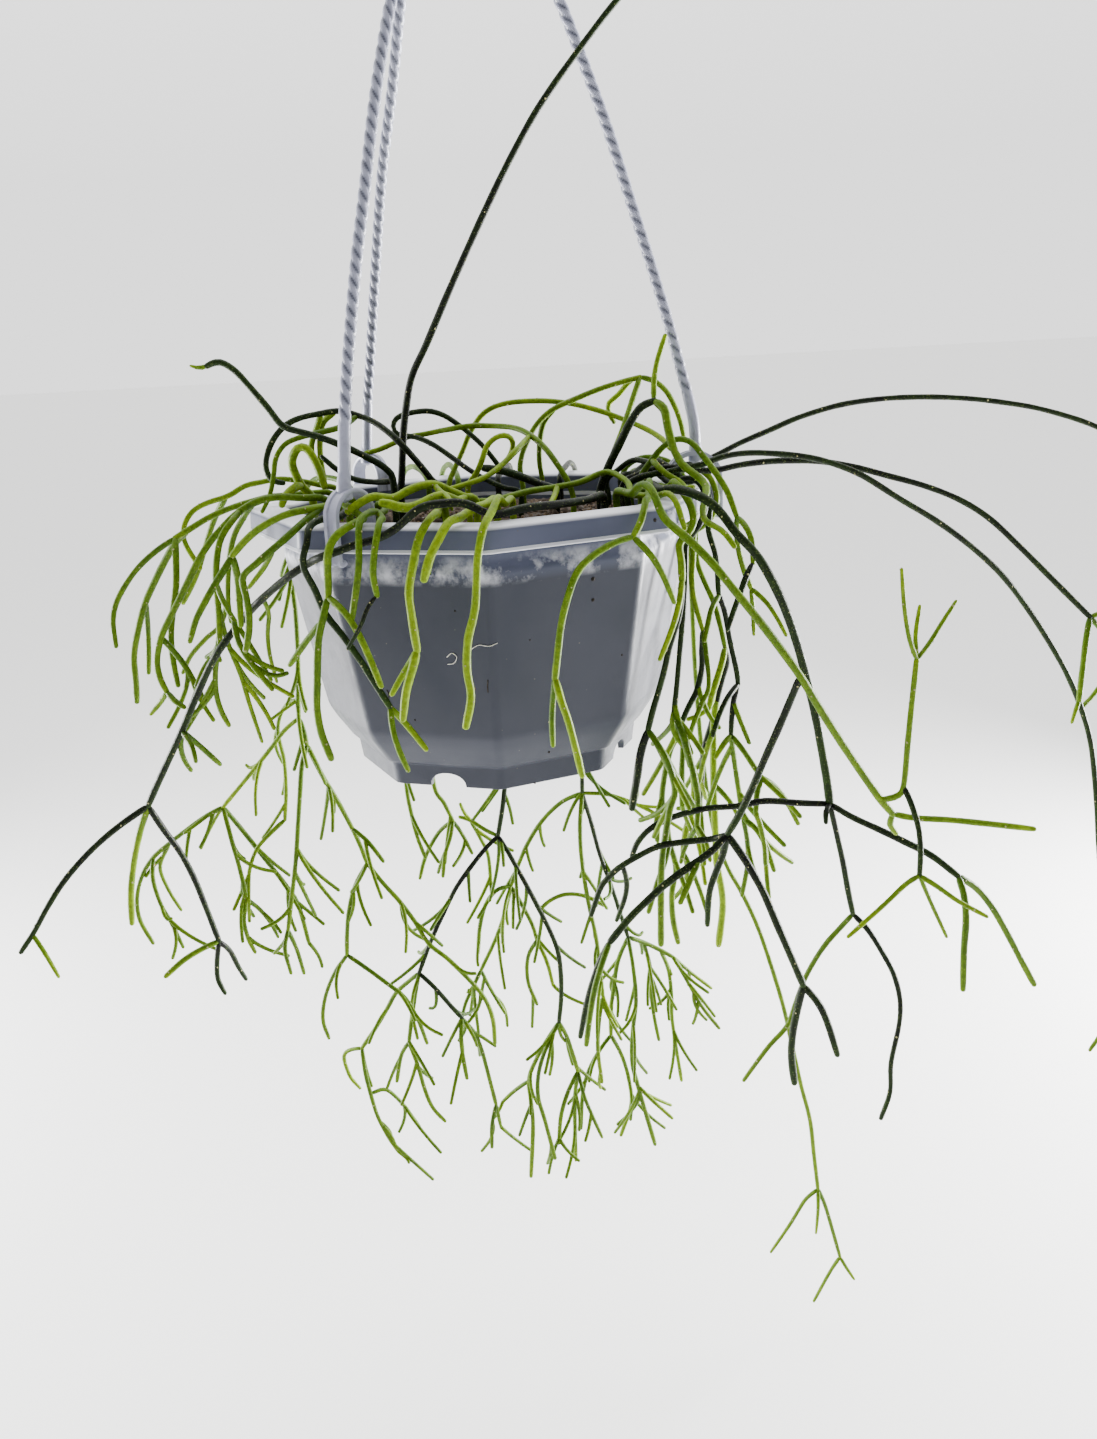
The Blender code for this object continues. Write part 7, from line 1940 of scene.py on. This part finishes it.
    def mark_areoles(self, line: np.ndarray, radii: np.ndarray, along: np.ndarray, branch: Branch,
                     rng: np.random.Generator) -> None:
        """Finds where the areoles of a stem sit: in a spiral, sparser on old stems.

        Args:
            line: The stem's centre line.
            radii: Its radius at each point.
            along: The distance of each point from its start.
            branch: The stem.
            rng: Where their unevenness comes from.
        """
        if branch.parent is None and along[-1] < self.shortest_bearer:
            return
        tangents = np.gradient(line, axis=0)
        side = np.cross(tangents[0], [0.2, 0.3, 0.93])
        turn = rng.uniform(0, 6)
        start = self.bare_length if branch.parent is None else 4.0
        for place in np.arange(start, along[-1] - 1.0, self.areole_step * (0.8 + 0.5 * branch.tone.age)):
            index = int(np.searchsorted(along, place + rng.uniform(-1, 1)).clip(1, len(line) - 1))
            tangent = unit(tangents[index])
            side = unit(side - tangent * (side @ tangent))
            other = np.cross(tangent, side)
            out = math.cos(turn) * side + math.sin(turn) * other
            self.pads.append((line[index] + out * radii[index] * 0.93, out, rng.uniform(0.32, 0.5)))
            turn += self.areole_turn + rng.uniform(-0.3, 0.3)
        out = unit(tangents[-1])
        self.pads.append((line[-1] + out * radii[-1] * 0.9, out, 0.4))

    def areoles(self) -> None:
        """Sets a small felt pad on every areole."""
        places = np.array([pad[0] for pad in self.pads]) + HOOK_DROP
        mesh = bpy.data.meshes.new("areole_places")
        mesh.from_pydata((places * MM).tolist(), [], [])
        outward = mesh.attributes.new("outward", "FLOAT_VECTOR", "POINT")
        outward.data.foreach_set("vector", np.array([pad[1] for pad in self.pads], np.float32).ravel())
        size = mesh.attributes.new("size", "FLOAT", "POINT")
        size.data.foreach_set("value", np.array([pad[2] * MM for pad in self.pads], np.float32))
        pads = PadTree().grown("areoles", mesh, {"Flatness": 0.55, "Felt": AREOLE.material()})
        hand_over(pads)


@dataclass
class Pot:
    """The octagonal pot: rim with a hanging skirt and lip, panelled body, chamfer, and notched foot."""

    shape: PotShape = field(default_factory=PotShape)
    rounding: float = 7.0
    foot_rounding: float = 6.0
    cuts: int = 7
    notch_half: float = 9.0
    notch_rise: float = 6.8
    sharp: float = 38.0

    def octagon(self, radius: float, height: float, rounding: float | None = None) -> np.ndarray:
        """Draws a ring of the pot: an octagon with rounded corners.

        Args:
            radius: Its reach to the corners, before rounding.
            height: Its height.
            rounding: The corners' radius, if it isn't the pot's own.

        Returns:
            Its points.
        """
        soft = self.rounding if rounding is None else rounding
        centre = radius - soft / self.shape.face
        ring = []
        for index in range(CORNERS):
            corner = math.radians(self.shape.corner_turn + OCTANT * index)
            for cut in range(self.cuts + 1):
                angle = corner + math.radians(OCTANT * (cut / self.cuts - 0.5))
                ring.append((centre * math.cos(corner) + soft * math.cos(angle),
                             centre * math.sin(corner) + soft * math.sin(angle), height))
        return np.array(ring)

    def outline(self) -> list[tuple[float, float, float]]:
        """Gives the wall's section from the foot up, over the rim, and down inside.

        Returns:
            A radius, a height and the fillet at each corner of the section.
        """
        s = self.shape
        return [
            (s.foot_radius - 3.0, s.foot_z, 0.3), (s.foot_radius, s.foot_z, 0.5),
            (s.foot_top_radius, s.foot_top_z, 0.8), (s.foot_top_radius + 2.6, s.foot_top_z + 1.2, 0.8),
            (s.panel_end_radius - 3.4, s.panel_end_z - 6.0, 2.5),
            (s.panel_end_radius, s.panel_end_z, 2.0), (s.shoulder_radius, s.shoulder_z, 1.2),
            (s.ledge_radius, s.ledge_z, 1.4), (s.neck_radius, s.neck_z, 1.4),
            (s.neck_radius, -3.0, 0.5), (s.rim_radius - 2.2, -3.0, 0.5),
            (s.rim_radius - 2.2, -s.rim_depth, 0.2), (s.lip_radius - 0.6, -s.rim_depth, 0.25),
            (s.lip_radius, -s.rim_depth + 0.6, 0.3), (s.lip_radius - 0.7, -s.rim_depth + 1.6, 0.3),
            (s.rim_radius, -s.rim_depth + 2.2, 0.3), (s.rim_radius - 0.6, -1.6, 1.0),
            (s.rim_radius - 2.0, 0.0, 0.8), (s.inner_top + 1.4, 0.0, 0.8), (s.inner_top, -1.4, 0.8),
            (s.shoulder_radius - 3.4, s.shoulder_z, 2.0), (s.panel_end_radius - 2.6, s.panel_end_z, 2.0),
            (s.foot_top_radius - 1.0, s.floor_z, 1.0),
        ]

    def filleted(self) -> list[tuple[float, float]]:
        """Rounds the section's corners.

        Returns:
            A radius and a height for each ring of the pot.
        """
        outline = self.outline()
        rings = [outline[0][:2]]
        for before, here, after in zip(outline, outline[1:], outline[2:]):
            corner = np.array(here[:2])
            back, on = np.array(before[:2]) - corner, np.array(after[:2]) - corner
            reach = min(here[2], np.linalg.norm(back) * 0.45, np.linalg.norm(on) * 0.45)
            start, end = corner + unit(back) * reach, corner + unit(on) * reach
            for part in (0.0, 0.33, 0.67, 1.0):
                point = (1 - part) ** 2 * start + 2 * part * (1 - part) * corner + part**2 * end
                rings.append((float(point[0]), float(point[1])))
        return rings + [outline[-1][:2]]

    def notch(self, turn: float) -> bpy.types.Object:
        """Makes the cutter for one arched notch in the foot.

        Args:
            turn: The direction of the notch's middle.

        Returns:
            The cutter.
        """
        reach = self.shape.foot_radius * self.shape.face
        out = np.array([math.cos(turn), math.sin(turn), 0.0])
        side = np.array([-out[1], out[0], 0.0])
        section = [(-self.notch_half, -4.0), (self.notch_half, -4.0), (self.notch_half, 0.0)]
        for step in range(1, 12):
            angle = math.pi * step / 12
            section.append((self.notch_half * math.cos(angle), self.notch_rise * math.sin(angle) ** 0.8))
        section.append((-self.notch_half, 0.0))
        shell = Shell()
        shell.loft([np.array([out * depth + side * across + np.array([0, 0, self.shape.foot_z + rise])
                              for across, rise in section])
                    for depth in (reach - 9.0, reach + 5.0)])
        return shell.made("notch", POT_PLASTIC)

    def build(self) -> bpy.types.Object:
        """Makes the pot in place of the plain one.

        Returns:
            The pot.
        """
        s = self.shape
        shell, hollow = Shell(), Shell()
        shell.loft([self.octagon(radius, height) for radius, height in self.filleted()])
        pot = shell.made("pot_shell", POT_PLASTIC)
        hollow.loft([self.octagon(s.foot_radius - 3.0, s.foot_z - 4.0, self.foot_rounding),
                     self.octagon(s.foot_radius - 3.4, s.foot_top_z + 0.6, self.foot_rounding)])
        tools = [hollow.made("foot_hollow", POT_PLASTIC)]
        tools += [self.notch(math.radians(s.corner_turn - OCTANT / 2 + 90 * index)) for index in range(4)]
        for tool in tools:
            modifier = pot.modifiers.new("cut", "BOOLEAN")
            modifier.operation = "DIFFERENCE"
            modifier.solver = "MANIFOLD"
            modifier.object = tool
            pot.data = settled(pot, modifier)
            bpy.data.objects.remove(tool)
        pot.data.shade_smooth()
        pot.data.set_sharp_from_angle(angle=math.radians(self.sharp))
        hand_over(pot, "pot")
        return pot


@dataclass
class Litter:
    """What lies on the pot: crumbs of dirt, short dark streaks, and pale fibres."""

    sight: SightLine
    seed: int = 23
    crumbs: tuple[tuple[float, float, float], ...] = (
        (593, 579, 1.1), (593, 600, 0.9), (549, 752, 0.8), (535, 783, 0.7), (655, 520, 0.9), (640, 524, 0.7),
        (668, 523, 0.6), (430, 574, 0.6), (455, 611, 0.5), (530, 640, 0.5), (622, 655, 0.6), (415, 720, 0.6))
    streaks: tuple[tuple[tuple[float, float], ...], ...] = (
        ((488, 680), (487.5, 686), (488, 692)), ((387, 690), (389, 695), (388, 700)),
        ((340, 553), (340.5, 557), (339.5, 561)))
    fibres: tuple[tuple[tuple[float, float], ...], ...] = (
        ((470, 650), (479, 645), (489, 646), (497, 643)),
        ((447, 657), (452, 653), (457, 657), (454, 663), (448, 664)))

    def spot(self, pot: bpy.types.Object, x: float, y: float) -> tuple[np.ndarray, np.ndarray]:
        """Finds where a line of sight meets the pot.

        Args:
            pot: The pot.
            x: The line's place across the picture.
            y: The line's place down the picture.

        Returns:
            The place, in millimetres from the rim's top, and the surface's outward direction.
        """
        start = (np.array(self.sight.eye) + HOOK_DROP) * MM
        on = (self.sight.place(x, y, 0.0) + HOOK_DROP) * MM
        hit, place, normal, _ = pot.ray_cast(Vector(start), Vector(on - start))
        if not hit:
            raise ValueError(f"no pot at {x}, {y}")
        return np.array(place) / MM - HOOK_DROP, np.array(normal)

    def lines(self, pot: bpy.types.Object, shell: Shell, traces: tuple[tuple[tuple[float, float], ...], ...],
              lift: float, step: float, radius: float) -> None:
        """Lays thin lines on the pot.

        Args:
            pot: The pot.
            shell: The mesh that they are added to.
            traces: Their points in the picture plane.
            lift: How far over the surface they lie.
            step: The distance between the points of each.
            radius: Half their width.
        """
        for trace in traces:
            points = [self.spot(pot, x, y) for x, y in trace]
            line = smooth_line([place + normal * lift for place, normal in points], step)
            shell.tube(line, np.full(len(line), radius), 6)

    def build(self, pot: bpy.types.Object) -> None:
        """Lays the crumbs, streaks and fibres on the pot.

        Args:
            pot: The pot.
        """
        rng = np.random.default_rng(self.seed)
        dirt, hair = Shell(), Shell()
        for x, y, size in self.crumbs:
            place, normal = self.spot(pot, x, y)
            line = np.array([place + normal * size * rise for rise in (-0.35, 0.0, 0.3, 0.55)])
            dirt.tube(line, np.array([0.9, 1.0, 0.8, 0.4]) * size * rng.uniform(0.8, 1.1), 7)
        self.lines(pot, dirt, self.streaks, 0.05, 0.6, 0.35)
        self.lines(pot, hair, self.fibres, 0.3, 0.5, 0.17)
        hand_over(dirt.made("pot_dirt", DIRT))
        hand_over(hair.made("pot_fibres", HAIR))


@dataclass
class Soil:
    """The soil: a lumpy heap with loose grit, bark and a few pale grains on top."""

    pot: Pot
    seed: int = 8
    rings: int = 34
    lump: float = 1.1
    slope_z: float = -12.2
    rim_gap: float = 3.9
    bare_edge: float = 3.0
    flatness: float = 0.6
    layers: tuple[tuple[str, Crumb, float, float, float, int], ...] = (
        ("soil_grit", GRIT, 70000.0, 0.0006, 0.0020, 3), ("soil_bark", SOIL, 9000.0, 0.002, 0.0042, 5),
        ("soil_perlite", PERLITE, 3500.0, 0.0006, 0.0014, 9))

    def slope(self) -> tuple[tuple[float, float], ...]:
        """Gives the heap's height at shares of its reach: its middle, its slope and its edge."""
        shape = self.pot.shape
        return ((0.3, shape.soil_centre_z), (0.72, self.slope_z), (1.0, shape.soil_edge_z))

    def build(self) -> None:
        """Makes the soil and what lies on it."""
        s = self.pot.shape
        rng = np.random.default_rng(self.seed)
        reach = s.shoulder_radius - self.rim_gap
        rings = [self.pot.octagon(s.foot_top_radius - 4.0, s.floor_z + 1.0),
                 self.pot.octagon(s.panel_end_radius - 4.6, s.panel_end_z + 1.0),
                 self.pot.octagon(s.shoulder_radius - 4.4, s.shoulder_z)]
        for step in range(self.rings):
            fraction = 1 - step / self.rings
            height = np.interp(fraction, *zip(*self.slope()))
            ring = self.pot.octagon(reach * fraction, height, self.pot.rounding * fraction)
            if step:
                ring = ring + rng.normal(0, self.lump, ring.shape) * np.array([0.2, 0.2, 0.55])
            rings.append(ring)
        rings.append(np.array([[0.0, 0.0, s.soil_centre_z]]))
        shell = Shell()
        shell.loft(rings)
        soil = shell.made("soil_heap", SOIL)
        soil.data.shade_flat()
        hand_over(soil, "soil")
        top = self.top_sheet(reach - self.bare_edge)
        for name, finish, density, smallest, largest, seed in self.layers:
            grains = GrainTree().grown(name, top.copy(),
                                       {"Density": density, "Smallest": smallest, "Largest": largest,
                                        "Flatness": self.flatness, "Seed": seed,
                                        "Matter": finish.material()})
            hand_over(grains)

    def top_sheet(self, reach: float) -> bpy.types.Mesh:
        """Makes the sheet that the grains are scattered on.

        Args:
            reach: Its distance to the corners.

        Returns:
            The sheet.
        """
        shape = self.pot.shape
        points = [(0.0, 0.0, shape.soil_centre_z)]
        for fraction, height in self.slope():
            for index in range(CORNERS):
                corner = math.radians(shape.corner_turn + OCTANT * index)
                points.append((reach * fraction * math.cos(corner), reach * fraction * math.sin(corner),
                               height))
        steps = [(index, (index + 1) % CORNERS) for index in range(CORNERS)]
        faces: list[tuple[int, ...]] = [(0, 1 + here, 1 + after) for here, after in steps]
        for start in (1, 1 + CORNERS):
            over = start + CORNERS
            faces += [(start + here, over + here, over + after, start + after) for here, after in steps]
        mesh = bpy.data.meshes.new("soil_top")
        mesh.from_pydata(((np.array(points) + HOOK_DROP) * MM).tolist(), [], faces)
        return mesh


@dataclass
class Hanger:
    """The hanger: three rope-patterned arms with rim clips, a round hub, and the hook."""

    shape: HangerShape
    lay: float = 18.0
    strands: float = 3.0
    groove_depth: float = 0.75
    smooth_start: float = 27.0
    smooth_end: float = 6.0
    sides: int = 24
    hub_sides: int = 40

    def build(self) -> None:
        """Makes the arms and the hub."""
        for name in ARMS:
            self.arm(name)
        self.hub()

    def arm(self, name: str) -> None:
        """Makes one arm and its clip.

        Args:
            name: The arm's node.
        """
        line = self.shape.arm_line(name, 0.9)
        curve = bpy.data.curves.new(name + "_line", "CURVE")
        curve.dimensions = "3D"
        spline = curve.splines.new("POLY")
        spline.points.add(len(line) - 1)
        flat = np.concatenate([(line + HOOK_DROP) * MM, np.ones((len(line), 1))], axis=1)
        spline.points.foreach_set("co", flat.astype(np.float32).ravel())
        rise = (line[:, 2] - line[0, 2]) / (line[-1, 2] - line[0, 2])
        spline.points.foreach_set("radius", np.clip(0.72 + 6.0 * (1 - rise), 0.72, 1.0).astype(np.float32))
        rope = RopeTree().grown(name + "_rope", curve,
                                {"Radius": self.shape.arm_width / 2 * MM,
                                 "Groove Depth": self.groove_depth * MM, "Strands": self.strands,
                                 "Lay": self.lay * MM, "Smooth Start": self.smooth_start * MM,
                                 "Smooth End": self.smooth_end * MM, "Sides": self.sides,
                                 "Plastic": HANGER_PLASTIC.material()})
        for piece in (rope, self.clip(name, line[0])):
            hand_over(piece, name)

    def clip(self, name: str, foot: np.ndarray) -> bpy.types.Object:
        """Makes the clip that holds the rim, ribbed along its middle, and the boss on top of it.

        Args:
            name: The arm's node.
            foot: Where the arm begins.

        Returns:
            The clip.
        """
        turn, _ = ARMS[name]
        side = sideways(turn)
        line = smooth_line(self.shape.clip_line(turn), 1.2)
        width, band = self.shape.clip_width / 2, self.shape.clip_band / 2
        section = ((-1.0, -0.55), (-0.92, -1.0), (0.92, -1.0), (1.0, -0.55), (1.0, 0.55), (0.92, 1.0),
                   (0.5, 1.0), (0.36, 0.35), (-0.36, 0.35), (-0.5, 1.0), (-0.92, 1.0), (-1.0, 0.55))
        rings = []
        for centre, tangent in zip(line, unit(np.gradient(line, axis=0))):
            out = np.cross(side, tangent)
            ring = [centre + side * width * across + out * band * through for across, through in section]
            rings.append(np.array(ring[::-1]))
        shell = Shell()
        shell.loft(rings, groove=np.zeros(len(rings)))
        boss = ((-3.0, 3.0), (-2.6, 3.5), (1.0, 3.4), (5.0, 2.9), (7.5, 2.2))
        rises, radii = np.array(boss).T
        shell.tube(np.array([foot + np.array([0, 0, rise]) for rise in rises]), radii, 20,
                   groove=np.zeros(len(boss)))
        clip = shell.made(name + "_clip", HANGER_PLASTIC)
        clip.data.set_sharp_from_angle(angle=math.radians(42))
        return clip

    def hub(self) -> None:
        """Makes the hub, turned from one section, and the hook that rises from it."""
        shape = self.shape
        low, top, reach = shape.hub_z, shape.hub_z + shape.hub_height, shape.hub_radius
        section = ((6.5, low), (8.8, low + 0.7), (10.4, low + 2.0), (reach, low + 3.6), (reach, top - 3.6),
                   (10.4, top - 2.2), (8.4, top - 1.0), (5.0, top - 0.2), (3.2, top + 0.6), (2.6, top + 2.4))
        angles = 2 * np.pi * np.arange(self.hub_sides) / self.hub_sides
        rings = [np.array([[0.0, 0.0, low]])]
        for radius, height in section:
            rings.append(np.stack([radius * np.cos(angles), radius * np.sin(angles),
                                   np.full(self.hub_sides, height)], axis=1))
        rings.append(np.array([[0.0, 0.0, top + 2.4]]))
        shell = Shell()
        shell.loft(rings, groove=np.zeros(len(rings)))
        bend = shape.hook_radius
        centre = RIM_TO_HOOK - bend + shape.hook_width / 2
        bottom = centre - bend
        line = [(0, 0, top - 3), (0, 0, bottom - 14.0), (1.2, 0, bottom - 8.4), (4.4, 0, bottom - 3.2),
                (8.4, 0, bottom + 1.4)]
        for angle in (math.radians(-38 + 24.0 * step) for step in range(11)):
            line.append((bend * math.cos(angle), 0, centre + bend * math.sin(angle)))
        hook = smooth_line(line, 1.0)[:-2]
        shell.tube(hook, np.full(len(hook), shape.hook_width / 2 - 0.2), 16, groove=np.zeros(len(hook)))
        hub = shell.made("hub_and_hook", HANGER_PLASTIC)
        hub.data.set_sharp_from_angle(angle=math.radians(50))
        hand_over(hub, "hanger_hub")


@dataclass
class Studio:
    """The pale floor, the soft light and the camera. The light is brightest behind the plant."""

    sight: SightLine
    film: float = 36.0
    floor_z: float = -0.93
    floor_half: float = 20.0
    sky: str = "#ffffff"
    front_light: float = 0.42
    horizon_light: float = 1.9
    back_light: float = 3.2
    aim: StemPoint = (0.0, 0.0, -0.4)
    lamps: tuple[tuple[str, StemPoint, float, float], ...] = (
        ("back_left", (-1.3, 0.55, -0.62), 0.5, 60.0), ("back_right", (1.3, 0.55, -0.62), 0.5, 125.0),
        ("above", (0.0, 0.25, 1.2), 1.3, 14.0))

    def build(self) -> None:
        """Sets up the floor, light and camera."""
        half = self.floor_half
        mesh = bpy.data.meshes.new("floor")
        mesh.from_pydata([(across * half, deep * half, self.floor_z)
                          for across, deep in ((-1, -1), (1, -1), (1, 1), (-1, 1))], [], [(0, 1, 2, 3)])
        mesh.materials.append(PlainPaint().material())
        in_scene("floor", mesh)
        self.surround()
        for name, place, size, power in self.lamps:
            self.lamp(name, place, size, power)
        self.camera()

    def surround(self) -> None:
        """Lights the scene from all round, dimly from the front and brightly from behind and above."""
        world = bpy.data.worlds.new("studio")
        world.use_nodes = True
        tree = world.node_tree
        tree.nodes.clear()
        way = add(tree, "ShaderNodeTexCoord").outputs["Generated"]
        parts = add(tree, "ShaderNodeSeparateXYZ", {0: way}).outputs
        high = add(tree, "ShaderNodeMapRange",
                   {"Value": parts["Z"], "From Min": 0.1, "From Max": 0.6, "To Min": self.horizon_light,
                    "To Max": self.back_light})
        strength = add(tree, "ShaderNodeMapRange",
                       {"Value": parts["Y"], "From Min": -0.4, "From Max": 0.3,
                        "To Min": self.front_light, "To Max": high})
        sky = add(tree, "ShaderNodeBackground", {"Color": linear(self.sky), "Strength": strength})
        add(tree, "ShaderNodeOutputWorld", {"Surface": sky})
        bpy.context.scene.world = world

    def lamp(self, name: str, place: StemPoint, size: float, power: float) -> None:
        """Adds a soft lamp that faces the pot.

        Args:
            name: The lamp's name.
            place: Where it stands.
            size: How wide it is.
            power: Its power in watts.
        """
        light = bpy.data.lights.new(name, "AREA")
        light.shape = "DISK"
        light.size = size
        light.energy = power
        lamp = in_scene(name, light)
        lamp.rotation_euler = (Vector(self.aim) - Vector(place)).to_track_quat("-Z", "Y").to_euler()
        lamp.location = place

    def camera(self) -> None:
        """Adds the camera at the line of sight, with its long side on the film's width."""
        forward, right, up = self.sight.axes()
        data = bpy.data.cameras.new("camera")
        data.sensor_width = self.film
        data.sensor_fit = "AUTO"
        data.lens = self.sight.scale / self.sight.height * self.film
        camera = in_scene("camera", data)
        eye = (np.array(self.sight.eye) + HOOK_DROP) * MM
        camera.matrix_world = Matrix.Translation(Vector(eye)) @ Matrix(
            (right, up, -forward)).transposed().to_4x4()
        bpy.context.scene.camera = camera


def main() -> None:
    """Builds the stage, the pot, the hanger and the plant in order."""
    logging.basicConfig(level=logging.INFO, format="%(name)s: %(message)s")
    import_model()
    sight = SightLine()
    Studio(sight).build()
    pot = Pot()
    Litter(sight).build(pot.build())
    Soil(pot).build()
    hanger = HangerShape()
    Hanger(hanger).build()
    Stems(StemLayout(sight, PotShape(), hanger)).build()


if __name__ == "__main__":
    main()
